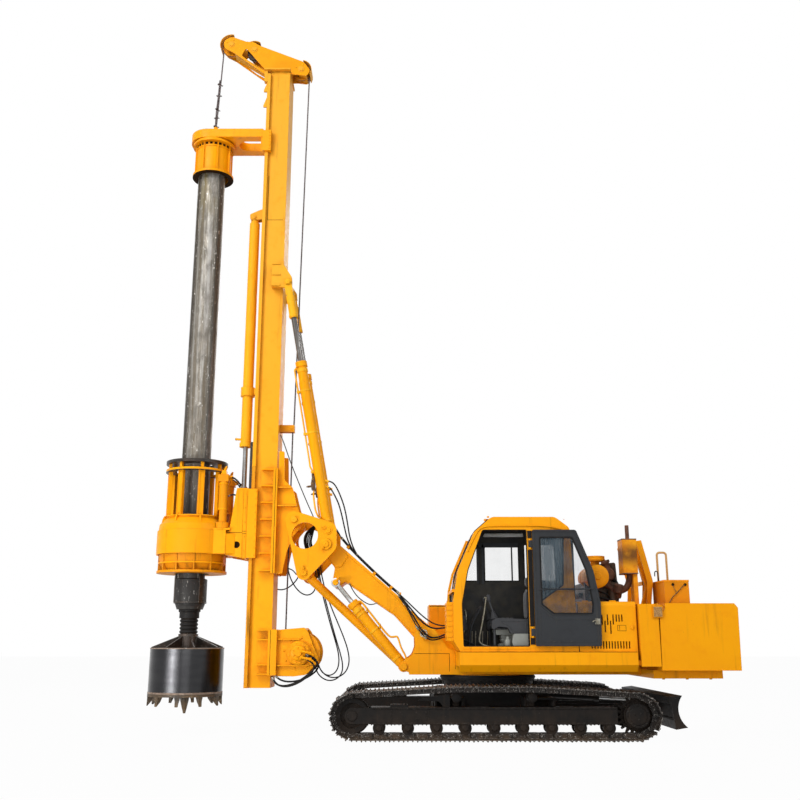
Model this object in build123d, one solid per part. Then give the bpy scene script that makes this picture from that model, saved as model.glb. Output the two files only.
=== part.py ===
"""Rotary piling rig: a drilling mast with telescoping kelly bar on a tracked excavator base.

Millimetres. While it is built, X runs forward from the slewing axis, Y to the operator's left and
Z up from the ground; every node is then moved so that the origin is the middle of the footprint.
Each sub-part is written to parts/NODE.step.
"""

from build123d import *
from math import atan2, cos, degrees, hypot, pi, radians, sin, tan
import os

# ---- Driving dimensions -------------------------------------------------------------------
RUNNING_GAP = 0.3          # between a piece and the seat it touches on the same body
PIN_GAP = 0.5              # round a pin that turns in its bore, and between a pin's shoulders
SHOE_GAP = 0.8             # between a slide's shoes and their rails
MOVING_GAP = 6.0           # between pieces that slide or swing past each other

# Undercarriage
TRACK_OUTER = 1400.0       # half of the overall width, to the outer edge of the shoes
SHOE_WIDTH = 500.0
SHOE_PLATE = 10.0
GROUSER = 22.0             # height of the bars on the shoes
CHAIN_DEPTH = 63.0         # link rails under the shoes
SHOE_PITCH = 171.0
IDLER_X = 1790.0
SPROCKET_X = -1730.0
WHEEL_RADIUS = 205.0       # rolling radius of idler and sprocket on the link rails
CARRIER_XS = (498.0, -444.0)
CARRIER_Z = 515.0
CARRIER_RADIUS = 60.0
ROLLER_FIRST_X = 1458.0
ROLLER_STEP = 354.5
ROLLER_COUNT = 9
ROLLER_RADIUS = 62.0
RAIL_INNER = 35.0          # link rails: from and to this distance each side of the track's middle
RAIL_OUTER = 75.0
FRAME_HALF = 130.0         # half width of a track frame's channel
FRAME_LOW = 198.0
FRAME_HIGH = 401.0
FRAME_WALL = 14.0
SLEW_LOW = 690.0           # lower face of the slewing ring
SLEW_HIGH = 757.0
SLEW_RADIUS = 640.0
SLEW_BORE = 572.0

# Blade behind the tracks
BLADE_HALF = 1300.0
BLADE_PIVOT = (-1000.0, 330.0)

# Upper structure
BODY_HALF = 1350.0         # half width over the side skirts
DECK_LOW = 760.0           # underside of the main frame
DECK_TOP = 1062.0
SKIRT_LOW = 822.0
DECK_FRONT = 460.0
DECK_REAR = -1760.0
NOSE_FRONT = 1078.0        # front end of the main frame's floor
BEAM_HALF = 430.0          # outer faces of the two main beams that carry the boom foot
BEAM_WALL = 30.0
CAB_Y = (350.0, 1300.0)
CAB_WALL = 45.0
GLASS = 6.0
DOOR_HINGE = (-460.0, 1316.0)
HOOD_TOP = 1680.0
COVER_HALF = 1298.0        # half width over the engine covers
WEIGHT_REAR = -3050.0      # rear face of the counterweight
WEIGHT_FRONT = -2050.0
WEIGHT_LOW = 838.0
WEIGHT_TOP = 1655.0

# Boom, links and their pins, in the plane of symmetry (X, Z)
BOOM_FOOT = (855.0, 1250.0)
TIE_FOOT = (1151.0, 861.0)
BOOM_TIP = (2220.0, 2482.0)
TIE_TIP = (BOOM_TIP[0] + TIE_FOOT[0] - BOOM_FOOT[0], BOOM_TIP[1] + TIE_FOOT[1] - BOOM_FOOT[1])
LUFF_EYE = (2085.0, 1970.0)
MAST_PIVOT = (2665.0, 2819.0)
MAST_CYLINDER_FOOT = (2195.0, 2670.0)
MAST_CYLINDER_EYE = (2863.0, 6351.0)
BOOM_HALF = 215.0          # half width of the boom's box
PIN = 45.0                 # radius of the large pins
HOSE = 18.0                # diameter of the free hydraulic hoses

# Mast and what slides on it
MAST_BACK = 2950.0
MAST_FRONT = 3250.0
MAST_HALF = 240.0
MAST_WALL = 12.0
MAST_LOW = 580.0
MAST_HIGH = 9985.0
RAIL_FRONT = 3300.0        # front faces of the two guide rails
RAIL_HALF = 290.0
RAIL_WIDTH = 100.0
KELLY_X = 4140.0           # axis of kelly bar, drive and bucket
KELLY_BORE = 240.0         # free radius through the drive
KELLY_KEY_RADIUS = 223.0   # over the key bars
KELLY_RADIUS = 186.0
FEED_X = 3453.0            # axis of the feed cylinder
DRIVE_RADIUS = 505.0
BUCKET_RADIUS = 500.0
BUCKET_TOP = 1100.0
BUCKET_LOW = 500.0

SHIFT_X = -(KELLY_X + DRIVE_RADIUS + WEIGHT_REAR) / 2   # brings the footprint's middle to X = 0


# ---- Shared operations --------------------------------------------------------------------
def block(x0, x1, y0, y1, z0, z1):
    """A box between two corners."""
    return Pos((x0 + x1) / 2, (y0 + y1) / 2, (z0 + z1) / 2) * Box(abs(x1 - x0), abs(y1 - y0), abs(z1 - z0))


def across(profile, y0, y1):
    """A face drawn as (X, Z) made into a plate that runs across the machine from y0 to y1."""
    return Pos(0, y1, 0) * Rot(90, 0, 0) * extrude(profile, y1 - y0)


def outline(points, radii=0):
    """A face from corner points, each corner rounded."""
    if not isinstance(radii, (int, float)):
        return make_face(FilletPolyline(*points, radius=radii, close=True))
    if radii:
        return make_face(FilletPolyline(*points, radius=radii, close=True))
    return make_face(Polyline(*points, close=True))


def disc(x, z, radius):
    return Pos(x, z) * Circle(radius)


def hull(*circles):
    """The convex outline round circles given as (x, z, radius)."""
    return make_hull([Pos(x, z) * Edge.make_circle(r) for x, z, r in circles])


def pin_y(x, z, radius, y0, y1):
    """A round bar across the machine."""
    return across(disc(x, z, radius), y0, y1)


def bar(a, b, radius):
    """A round bar between two points in space."""
    a, b = Vector(*a), Vector(*b)
    return extrude(Plane(origin=a, z_dir=b - a) * Circle(radius), (b - a).length)


def turned(profile_points, x=KELLY_X, y=0.0):
    """A body turned about a vertical axis, from (radius, Z) points."""
    face = Plane.XZ * make_face(Polyline(*profile_points, close=True))
    return Pos(x, y, 0) * revolve(face, Axis.Z)


def both_sides(shape):
    return shape + mirror(shape, Plane.XZ)


def pair(shape):
    """The same piece on the left and the right, as two solids that don't touch."""
    return Compound(children=[*shape.solids(), *mirror(shape, Plane.XZ).solids()])


def away(a, b, distance):
    """The point at a distance from a towards b, in the plane (X, Z)."""
    length = hypot(b[0] - a[0], b[1] - a[1])
    return (a[0] + (b[0] - a[0]) * distance / length, a[1] + (b[1] - a[1]) * distance / length)


def hose(points, diameter):
    """A free hose along (X, Y, Z) points, with an arc at each as large as its two runs allow."""
    points = [Vector(*point) for point in points]
    radii = []
    for before, here, after in zip(points, points[1:], points[2:]):
        run_in, run_out = here - before, after - here
        half_turn = radians(run_in.get_angle(run_out)) / 2
        radii.append(0.45 * min(run_in.length, run_out.length) / tan(half_turn))
    path = FilletPolyline(*points, radius=radii)
    tube = sweep(Plane(origin=points[0], z_dir=points[1] - points[0]) * Circle(diameter / 2), path)
    section = pi * diameter ** 2 / 4
    print(f"hose {path.length:.0f} mm, volume {tube.volume / section / path.length:.4f} of section x length,",
          "radii", [round(radius) for radius in radii])
    return tube


def save(name, shape):
    os.makedirs("parts", exist_ok=True)
    solids = (Pos(SHIFT_X, 0, 0) * shape).solids()
    shape = solids[0] if len(solids) == 1 else Compound(children=list(solids))
    export_step(shape, f"parts/{name}.step")


# ---- Tracks -------------------------------------------------------------------------------
TRACK_MIDDLE = TRACK_OUTER - SHOE_WIDTH / 2
TRACK_THICKNESS = CHAIN_DEPTH + SHOE_PLATE + GROUSER
WHEEL_Z = WHEEL_RADIUS + TRACK_THICKNESS
ROLLER_Z = TRACK_THICKNESS + ROLLER_RADIUS
ROLLER_XS = [ROLLER_FIRST_X - ROLLER_STEP * n for n in range(ROLLER_COUNT)]


def track_outline(outside):
    """The closed path of the track, this far outside the wheels' treads."""
    return hull(
        (IDLER_X, WHEEL_Z, WHEEL_RADIUS + outside),
        (SPROCKET_X, WHEEL_Z, WHEEL_RADIUS + outside),
        *[(x, CARRIER_Z, CARRIER_RADIUS + outside) for x in CARRIER_XS],
    )


def track():
    """Shoes with a grouser each, round two link rails."""
    path = track_outline(CHAIN_DEPTH + SHOE_PLATE).face().outer_wire()
    shoes = round(path.length / SHOE_PITCH)
    points = []
    for n in range(shoes):
        for share, lift in ((0.03, 0), (0.06, GROUSER), (0.16, GROUSER), (0.20, 0)):
            place = (n + share) / shoes
            spot, along = path.position_at(place), path.tangent_at(place)
            out = Vector(along.Y, -along.X)
            if (spot - Vector(0, WHEEL_Z)).dot(out) < 0:
                out = out * -1
            points.append(spot + out * lift)
    shoe_ring = make_face(Polyline(*points, close=True)) - track_outline(CHAIN_DEPTH)
    rails = track_outline(CHAIN_DEPTH) - track_outline(0)
    half = SHOE_WIDTH / 2
    body = across(shoe_ring, TRACK_MIDDLE - half, TRACK_MIDDLE + half)
    for low, high in ((RAIL_INNER, RAIL_OUTER), (-RAIL_OUTER, -RAIL_INNER)):
        body += across(rails, TRACK_MIDDLE + low, TRACK_MIDDLE + high)
    return body


left_track = track()
save("track_left", left_track)
save("track_right", mirror(left_track, Plane.XZ))

SPROCKET_TEETH = 21
sprocket_points = []
for tooth in range(SPROCKET_TEETH):
    for share, radius in ((0.0, WHEEL_RADIUS - 12), (0.35, WHEEL_RADIUS - 12), (0.55, WHEEL_RADIUS + 38),
                          (0.80, WHEEL_RADIUS + 38)):
        angle = 2 * pi * (tooth + share) / SPROCKET_TEETH
        sprocket_points.append((SPROCKET_X + radius * cos(angle), WHEEL_Z + radius * sin(angle)))
sprocket = across(outline(sprocket_points), TRACK_MIDDLE - 20, TRACK_MIDDLE + 20)
sprocket += pin_y(SPROCKET_X, WHEEL_Z, 165, TRACK_MIDDLE + 20, TRACK_MIDDLE + 78)
sprocket += pin_y(SPROCKET_X, WHEEL_Z, 148, TRACK_MIDDLE + 78, TRACK_MIDDLE + FRAME_HALF)
sprocket += pin_y(SPROCKET_X, WHEEL_Z, 150, TRACK_MIDDLE - FRAME_HALF + FRAME_WALL, TRACK_MIDDLE - 20)
save("sprockets", pair(sprocket))

idler = pin_y(IDLER_X, WHEEL_Z, WHEEL_RADIUS - RUNNING_GAP, TRACK_MIDDLE - 80, TRACK_MIDDLE + 80)
idler += pin_y(IDLER_X, WHEEL_Z, WHEEL_RADIUS + 18, TRACK_MIDDLE - 30, TRACK_MIDDLE + 30)
idler -= pin_y(IDLER_X, WHEEL_Z, 150, TRACK_MIDDLE + 45, TRACK_MIDDLE + 80)
idler -= pin_y(IDLER_X, WHEEL_Z, 150, TRACK_MIDDLE - 80, TRACK_MIDDLE - 45)
idler += pin_y(IDLER_X, WHEEL_Z, 60, TRACK_MIDDLE - FRAME_HALF + FRAME_WALL, TRACK_MIDDLE + FRAME_HALF - FRAME_WALL)
save("idlers", pair(idler))

rollers = []
for x in ROLLER_XS:
    roller = pin_y(x, ROLLER_Z, ROLLER_RADIUS - RUNNING_GAP, TRACK_MIDDLE - 105, TRACK_MIDDLE + 105)
    for low, high in ((RAIL_OUTER + 4, 105), (-105, -RAIL_OUTER - 4)):
        roller += pin_y(x, ROLLER_Z, ROLLER_RADIUS + 16, TRACK_MIDDLE + low, TRACK_MIDDLE + high)
    for low, high in ((105, FRAME_HALF), (-FRAME_HALF, -105)):
        roller += pin_y(x, ROLLER_Z, 30, TRACK_MIDDLE + low, TRACK_MIDDLE + high)
        roller += block(x - 45, x + 45, TRACK_MIDDLE + low + 8, TRACK_MIDDLE + high,
                        ROLLER_Z - 20, FRAME_LOW) if low > 0 else block(
            x - 45, x + 45, TRACK_MIDDLE + low, TRACK_MIDDLE + high - 8, ROLLER_Z - 20, FRAME_LOW)
    rollers.append(roller)
for x in CARRIER_XS:
    roller = pin_y(x, CARRIER_Z, CARRIER_RADIUS - RUNNING_GAP, TRACK_MIDDLE - 85, TRACK_MIDDLE + 85)
    roller += pin_y(x, CARRIER_Z, 30, TRACK_MIDDLE - 112, TRACK_MIDDLE - 85)
    roller += block(x - 40, x + 40, TRACK_MIDDLE - 112, TRACK_MIDDLE - 92, FRAME_HIGH, CARRIER_Z + 20)
    rollers.append(roller)
save("track_rollers", pair(Compound(children=[s for r in rollers for s in r.solids()])))

channel = outline([
    (-FRAME_HALF, FRAME_LOW), (-FRAME_HALF, FRAME_HIGH), (FRAME_HALF, FRAME_HIGH), (FRAME_HALF, FRAME_LOW),
    (FRAME_HALF - FRAME_WALL, FRAME_LOW), (FRAME_HALF - FRAME_WALL, FRAME_HIGH - FRAME_WALL),
    (-FRAME_HALF + FRAME_WALL, FRAME_HIGH - FRAME_WALL), (-FRAME_HALF + FRAME_WALL, FRAME_LOW)])
CHANNEL_REAR = -1480.0
CHANNEL_FRONT = 1560.0
frame_side = Pos(CHANNEL_REAR, TRACK_MIDDLE, 0) * extrude(
    Plane(origin=(0, 0, 0), x_dir=(0, 1, 0), z_dir=(1, 0, 0)) * channel, CHANNEL_FRONT - CHANNEL_REAR)
for low, high in ((FRAME_HALF - FRAME_WALL, FRAME_HALF), (-FRAME_HALF, -FRAME_HALF + FRAME_WALL)):
    frame_side += across(hull((IDLER_X, WHEEL_Z, 95), (CHANNEL_FRONT - 60, WHEEL_Z, 95)),
                         TRACK_MIDDLE + low, TRACK_MIDDLE + high)
frame_side += across(hull((SPROCKET_X, WHEEL_Z, 170), (CHANNEL_REAR + 60, WHEEL_Z, 98)),
                     TRACK_MIDDLE - FRAME_HALF, TRACK_MIDDLE - FRAME_HALF + FRAME_WALL)
save("track_frames", pair(frame_side))

# ---- Chassis ------------------------------------------------------------------------------
CHASSIS_LOW = 290.0
TURRET_LOW = 560.0
FRAME_INNER = TRACK_MIDDLE - FRAME_HALF
chassis = block(-760, 760, -560, 560, CHASSIS_LOW, TURRET_LOW) - block(-735, 735, -535, 535, CHASSIS_LOW - 1, TURRET_LOW - 25)
for low, high in ((380, 760), (-760, -380)):
    leg = block(low, high, -FRAME_INNER, FRAME_INNER, CHASSIS_LOW, 500)
    chassis += leg - block(low + 25, high - 25, -FRAME_INNER, FRAME_INNER, CHASSIS_LOW - 1, 475)
chassis += Pos(0, 0, TURRET_LOW) * (Cylinder(600, SLEW_LOW - TURRET_LOW, align=(Align.CENTER, Align.CENTER, Align.MIN))
                                    - Cylinder(520, SLEW_LOW - TURRET_LOW, align=(Align.CENTER, Align.CENTER, Align.MIN)))
# Tow holes through the front cross member, each with a boss round it
TOW_BORE = 35.0
TOW_Y = 700.0
TOW_Z = 395.0
TOW_BOSS = 15.0
for y in (TOW_Y, -TOW_Y):
    chassis += bar((760, y, TOW_Z), (760 + TOW_BOSS, y, TOW_Z), TOW_BORE + 25)
    chassis -= bar((730, y, TOW_Z), (761 + TOW_BOSS, y, TOW_Z), TOW_BORE)
BLADE_ARM_Y = 350.0
for side in (1, -1):
    for shift in (-60, 60):
        ear = hull((BLADE_PIVOT[0], BLADE_PIVOT[1], 62), (-740, 330, 40)) - disc(*BLADE_PIVOT, 28 + PIN_GAP)
        chassis += across(ear, side * BLADE_ARM_Y + shift - 12, side * BLADE_ARM_Y + shift + 12)
BLADE_CYLINDER_Y = 180.0
BLADE_CYLINDER_FOOT = (-835.0, 500.0)
for side in (1, -1):
    for shift in (-63, 63):
        ear = hull((*BLADE_CYLINDER_FOOT, 45), (-730, 500, 45)) - disc(*BLADE_CYLINDER_FOOT, 25 + PIN_GAP)
        chassis += across(ear, side * BLADE_CYLINDER_Y + shift - 10, side * BLADE_CYLINDER_Y + shift + 10)
save("chassis", chassis)

slew_ring = Pos(0, 0, SLEW_LOW) * (
    Cylinder(SLEW_RADIUS, SLEW_HIGH - SLEW_LOW - 4, align=(Align.CENTER, Align.CENTER, Align.MIN))
    - Cylinder(SLEW_BORE, SLEW_HIGH, align=(Align.CENTER, Align.CENTER, Align.MIN)))
save("slew_ring", slew_ring)

# ---- Blade --------------------------------------------------------------------------------
BLADE_EYE = (-1960.0, 440.0)
mouldboard = make_face(Polyline((-2128, 523), (-2283, 540))
                       + ThreePointArc((-2283, 540), (-2227, 360), (-2332, 165))
                       + Polyline((-2332, 165), (-2185, 141), (-2128, 523)))
blade = across(mouldboard, -BLADE_HALF, BLADE_HALF)
blade -= across(outline([(-2150, 250), (-2172, 250), (-2172, 440), (-2150, 440)]), -BLADE_HALF + 25, BLADE_HALF - 25)
blade -= across(outline([(-2100, 265), (-2185, 265), (-2185, 440), (-2100, 440)]), -BLADE_HALF + 25, BLADE_HALF - 25)
for side in (1, -1):
    arm = hull((*BLADE_PIVOT, 55), (-1500, 330, 60)) + hull((-1500, 330, 60), (-2160, 330, 60))
    blade += across(arm.face() if len(arm.faces()) == 1 else arm, side * BLADE_ARM_Y - 40, side * BLADE_ARM_Y + 40)
    blade += pin_y(*BLADE_PIVOT, 28, side * BLADE_ARM_Y - 80, side * BLADE_ARM_Y + 80)
    for shift in (-50, 50):
        ear = hull((*BLADE_EYE, 48), (-2150, 400, 70))
        blade += across(ear, side * BLADE_CYLINDER_Y + shift - 10, side * BLADE_CYLINDER_Y + shift + 10)
save("blade", blade)


# ---- Hydraulic cylinders --------------------------------------------------------------------
def cylinder_barrel(foot, head, length, radius, bore, eye_half, collar):
    """A barrel with a foot eye across the machine, bored for its rod, in the plane Y = 0."""
    end = away(foot, head, length)
    start = away(foot, head, radius * 0.9)
    body = bar((start[0], 0, start[1]), (end[0], 0, end[1]), radius)
    neck = away(foot, head, length - collar)
    body += bar((neck[0], 0, neck[1]), (end[0], 0, end[1]), radius + 12)
    body += pin_y(*foot, radius * 1.05, -eye_half, eye_half)
    deep = away(foot, head, radius * 1.05 + 60)
    past = away(foot, head, length + 5)
    body -= bar((deep[0], 0, deep[1]), (past[0], 0, past[1]), bore)
    return body


def cylinder_rod(foot, eye, start, radius, eye_radius, eye_half):
    """A rod from its piston, this far from the barrel's foot, to its eye, in the plane Y = 0."""
    low = away(foot, eye, start)
    body = bar((low[0], 0, low[1]), (eye[0], 0, eye[1]), radius)
    body += pin_y(*eye, eye_radius, -eye_half, eye_half)
    return body


BLADE_BARREL_LENGTH = 640.0
blade_barrel = cylinder_barrel(BLADE_CYLINDER_FOOT, BLADE_EYE, BLADE_BARREL_LENGTH, 48, 29, 40, 60)
blade_barrel += pin_y(*BLADE_CYLINDER_FOOT, 25, -78, 78)
save("blade_cylinder_barrels", pair(Pos(0, BLADE_CYLINDER_Y, 0) * blade_barrel))
blade_rod = cylinder_rod(BLADE_CYLINDER_FOOT, BLADE_EYE, 180, 28.5 - RUNNING_GAP, 40, 36)
save("blade_cylinder_rods", pair(Pos(0, BLADE_CYLINDER_Y, 0) * blade_rod))

# ---- Main frame of the upper structure --------------------------------------------------------
BRACKET_NOSE = 62.0
beam_face = outline(
    [(-2000, DECK_LOW + 28), (NOSE_FRONT, DECK_LOW + 28), (TIE_FOOT[0] + 40, TIE_FOOT[1] - 40),
     (TIE_FOOT[0] + 58, TIE_FOOT[1] + 42), (1040, 1010), (1000, 1120), (1005, 1300), (905, 1400), (760, 1385),
     (560, DECK_TOP + 40), (DECK_FRONT, DECK_TOP), (-2000, DECK_TOP)],
    [0, 20, 45, 45, 120, 120, 90, 90, 90, 60, 0, 0]) - disc(*BOOM_FOOT, PIN + PIN_GAP)
upper_frame = both_sides(across(beam_face, BEAM_HALF - BEAM_WALL, BEAM_HALF))
inner_nose = hull((*TIE_FOOT, BRACKET_NOSE), (950, 850, 62))
upper_frame += both_sides(across(inner_nose, 165, 190))
upper_frame += pin_y(*TIE_FOOT, PIN, -BEAM_HALF - 22, BEAM_HALF + 22)
upper_frame += block(-2000, NOSE_FRONT, -BEAM_HALF, BEAM_HALF, DECK_LOW, DECK_LOW + 28)
upper_frame += block(880, 905, -BEAM_HALF, BEAM_HALF, DECK_LOW, 905)
upper_frame += block(DECK_REAR, 520, -BEAM_HALF, BEAM_HALF, DECK_TOP - 20, DECK_TOP)
SKIRT = 30.0
skirt_profile = outline([
    (BEAM_HALF, DECK_TOP), (BODY_HALF, DECK_TOP), (BODY_HALF, 905), (BODY_HALF - 70, SKIRT_LOW),
    (BODY_HALF - 70 - SKIRT, SKIRT_LOW), (BODY_HALF - SKIRT, 915), (BODY_HALF - SKIRT, DECK_TOP - 20),
    (BEAM_HALF, DECK_TOP - 20)])
skirt_plane = Plane(origin=(0, 0, 0), x_dir=(0, 1, 0), z_dir=(1, 0, 0))
left_deck = Pos(DECK_REAR, 0, 0) * extrude(skirt_plane * skirt_profile, DECK_FRONT - DECK_REAR)
left_deck += block(DECK_FRONT - SKIRT, DECK_FRONT, BEAM_HALF, BODY_HALF - SKIRT, SKIRT_LOW + 60, DECK_TOP)
RIGHT_DECK_FRONT = 900.0
right_deck = Pos(DECK_REAR, 0, 0) * extrude(skirt_plane * mirror(skirt_profile, Plane.YZ), RIGHT_DECK_FRONT - DECK_REAR)
right_deck += block(RIGHT_DECK_FRONT - SKIRT, RIGHT_DECK_FRONT, -BODY_HALF + SKIRT, -BEAM_HALF, SKIRT_LOW + 60, DECK_TOP)
upper_frame += left_deck + right_deck
upper_frame += Pos(0, 0, SLEW_LOW + 15) * (
    Cylinder(SLEW_BORE - PIN_GAP, DECK_LOW - SLEW_LOW - 15, align=(Align.CENTER, Align.CENTER, Align.MIN))
    - Cylinder(480, DECK_LOW, align=(Align.CENTER, Align.CENTER, Align.MIN)))
save("upper_frame", upper_frame)

# ---- Cab ------------------------------------------------------------------------------------
CAB_FLOOR = DECK_TOP
cab_points = [(440, CAB_FLOOR), (527, 1190), (527, 1700), (463, 2071), (248, 2554), (20, 2750), (-800, 2750),
              (-985, 2610), (-1037, CAB_FLOOR)]
cab_radii = [0, 90, 200, 400, 120, 120, 110, 80, 0]
cab_inside = [(440 - CAB_WALL, CAB_FLOOR + 35), (527 - CAB_WALL, 1215), (527 - CAB_WALL, 1690), (463 - CAB_WALL, 2060),
              (215, 2520), (10, 2750 - CAB_WALL), (-785, 2750 - CAB_WALL), (-985 + CAB_WALL, 2590),
              (-1037 + CAB_WALL, CAB_FLOOR + 35)]
cab_shell = across(outline(cab_points, cab_radii), *CAB_Y)
cab_shell -= across(outline(cab_inside, [0, 60, 160, 360, 90, 80, 70, 50, 0]), CAB_Y[0] + CAB_WALL, CAB_Y[1] - CAB_WALL)
DOOR_LOW, DOOR_HIGH = 1125.0, 2585.0
door_opening = outline([(-430, DOOR_LOW), (405, DOOR_LOW), (418, 1650), (340, 2071), (140, DOOR_HIGH), (-430, DOOR_HIGH)],
                       [20, 20, 200, 300, 40, 20])
cab_shell -= across(door_opening, CAB_Y[1] - CAB_WALL - 5, CAB_Y[1] + 5)
# Side windows: outline, the wall's outer face, and where the pane stands
SIDE_WINDOWS = [
    (outline([(-540, 1640), (-880, 1880), (-905, 2500), (-540, 2500)], 40), CAB_Y[1], CAB_Y[1] - 28),
    (outline([(45, 1980), (-440, 1980), (-440, 2490), (45, 2490)], 20), CAB_Y[0] + CAB_WALL, CAB_Y[0] + 20),
    (outline([(-500, 1980), (-950, 1980), (-935, 2490), (-500, 2490)], 20), CAB_Y[0] + CAB_WALL, CAB_Y[0] + 20),
    (outline([(130, 1980), (370, 1980), (340, 2100), (175, 2490), (130, 2490)], 15), CAB_Y[0] + CAB_WALL, CAB_Y[0] + 20),
]
glass = []
for face, wall, pane in SIDE_WINDOWS:
    cab_shell -= across(face, wall - CAB_WALL - 5, wall + 5)
    glass.append(across(offset(face, -RUNNING_GAP), pane, pane + GLASS))
# Front, rear and roof windows: the box that is cut, and the pane's place along the cut's thin way
FRONT_WINDOW = (CAB_Y[0] + 60, CAB_Y[1] - 60)
cab_shell -= block(300, 600, *FRONT_WINDOW, 1235, 1795)
glass.append(block(505, 505 + GLASS, FRONT_WINDOW[0] + RUNNING_GAP, FRONT_WINDOW[1] - RUNNING_GAP, 1235 + RUNNING_GAP, 1795 - RUNNING_GAP))
UPPER_PANE = [(511, 1835), (452, 2071), (246, 2526)]
cab_shell -= across(outline([(300, 1835), (600, 1835), (600, 2200), (262, 2545), (60, 2450)]), *FRONT_WINDOW)
upper_pane = make_face(Polyline(UPPER_PANE[0], UPPER_PANE[1], UPPER_PANE[2], (UPPER_PANE[2][0] - GLASS, UPPER_PANE[2][1]),
                                (UPPER_PANE[1][0] - GLASS, UPPER_PANE[1][1]), (UPPER_PANE[0][0] - GLASS, UPPER_PANE[0][1]), close=True))
glass.append(across(upper_pane, FRONT_WINDOW[0] + RUNNING_GAP, FRONT_WINDOW[1] - RUNNING_GAP) - block(0, 600, 0, 1500, 1800, 1835 + RUNNING_GAP))
cab_shell -= block(-1100, -900, CAB_Y[0] + 90, CAB_Y[1] - 90, 1750, 2500)
glass.append(block(-1000, -1000 + GLASS, CAB_Y[0] + 90 + RUNNING_GAP, CAB_Y[1] - 90 - RUNNING_GAP, 1750 + RUNNING_GAP, 2500 - RUNNING_GAP))
cab_shell -= block(-650, -150, CAB_Y[0] + 200, CAB_Y[1] - 200, 2690, 2760)
glass.append(block(-650 + RUNNING_GAP, -150 - RUNNING_GAP, CAB_Y[0] + 200 + RUNNING_GAP, CAB_Y[1] - 200 - RUNNING_GAP, 2725, 2725 + GLASS))
save("cab_glass", Compound(children=[s for pane in glass for s in pane.solids()]))
HINGE_ZS = (1300, 2400)
KNUCKLE = 45.0             # half height of a hinge's knuckle
for z in HINGE_ZS:
    for low in (z - KNUCKLE - 20, z + KNUCKLE + PIN_GAP):
        cab_shell += block(DOOR_HINGE[0] - 14, DOOR_HINGE[0] + 14, CAB_Y[1] - 1, DOOR_HINGE[1] + 14, low, low + 20 - PIN_GAP)
STEP_BOX = (527.0, 608.0)
front_box = block(*STEP_BOX, CAB_Y[0] + 500, CAB_Y[1] - 20, 1195, 1670)
front_box -= block(STEP_BOX[0] - 1, STEP_BOX[1] - 12, CAB_Y[0] + 512, CAB_Y[1] - 32, 1207, 1658)
cab_shell += front_box
save("cab_shell", cab_shell)

# ---- Door, swung back along the cab's side ---------------------------------------------------
DOOR = (1314.0, 1346.0)
door_face = outline([(-496, 1131), (-1319, 1131), (-1331, 1650), (-1254, 2071), (-1056, 2579), (-496, 2579)],
                    [20, 20, 200, 300, 40, 20])
window_face = outline([(-580, 1640), (-730, 1520), (-1233, 1520), (-1242, 1650), (-1176, 2060), (-1008, 2490), (-580, 2490)],
                      [30, 60, 40, 200, 300, 30, 30])
door = across(door_face - window_face, *DOOR)
door += block(-1240, -575, DOOR[0] + 5, DOOR[0] + 19, 1822, 1842)
for z in HINGE_ZS:
    door += Pos(DOOR_HINGE[0], DOOR_HINGE[1], z) * Cylinder(14, 2 * KNUCKLE)
    door += block(-500, DOOR_HINGE[0], DOOR_HINGE[1] - 1, DOOR[1] - 14, z - KNUCKLE, z + KNUCKLE)
door += block(-1310, -1250, DOOR[1], DOOR[1] + 22, 1405, 1460)
save("cab_door", door)
door_pane = across(offset(window_face, -RUNNING_GAP), DOOR[0] + 22, DOOR[0] + 22 + GLASS)
save("door_glass", door_pane)

# Seat and controls
seat = block(-500, 20, 640, 1080, 1320, 1430) + block(-560, -430, 640, 1080, 1400, 2020)
seat += block(-420, -60, 720, 1000, CAB_FLOOR + 35.3, 1320)
save("operator_seat", seat)
controls = block(-420, 40, 1100, 1230, CAB_FLOOR + 35.3, 1480) + block(-420, 40, 440, 580, CAB_FLOOR + 35.3, 1480)
for y in (505, 1165):
    controls += bar((0, y, 1470), (60, y, 1700), 14) + Pos(63, y, 1712) * Cylinder(24, 70)
controls += block(220, 370, 620, 1020, CAB_FLOOR + 35.3, CAB_FLOOR + 80)
for y in (700, 780, 860, 940):
    controls += bar((300, y, CAB_FLOOR + 60), (230, y, 1560), 11)
save("cab_controls", controls)

# ---- Covers, tanks and engine -----------------------------------------------------------------
PANEL = 12.0
COVER_REAR = -1775.0
COVER_FRONT = -1045.0
hood_outer = outline([(1050, DECK_TOP), (1050, HOOD_TOP), (COVER_HALF, HOOD_TOP), (COVER_HALF, DECK_TOP)], [0, 0, 60, 0])
hood_inner = outline([(1040, DECK_TOP - 1), (1040, HOOD_TOP - PANEL), (COVER_HALF - PANEL, HOOD_TOP - PANEL),
                      (COVER_HALF - PANEL, DECK_TOP - 1)], [0, 0, 50, 0])
cover = Pos(COVER_REAR, 0, 0) * extrude(skirt_plane * (hood_outer - hood_inner), COVER_FRONT - COVER_REAR)
# Louvres: X of the slot, its lower and its upper end
LOUVRES = [(-1345, 1390, 1517), (-1380, 1300, 1440), (-1415, 1390, 1517), (-1450, 1280, 1440), (-1485, 1395, 1517),
           (-1525, 1430, 1517), (-1560, 1430, 1517), (-1595, 1430, 1517)]
LOUVRES += [(-1205 - 36 * n, 1102, 1191) for n in range(14)]
for x, low, high in LOUVRES:
    cover -= block(x - 8, x + 8, COVER_HALF - 60, COVER_HALF + 10, low, high)
save("side_cover_left", cover)

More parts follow.
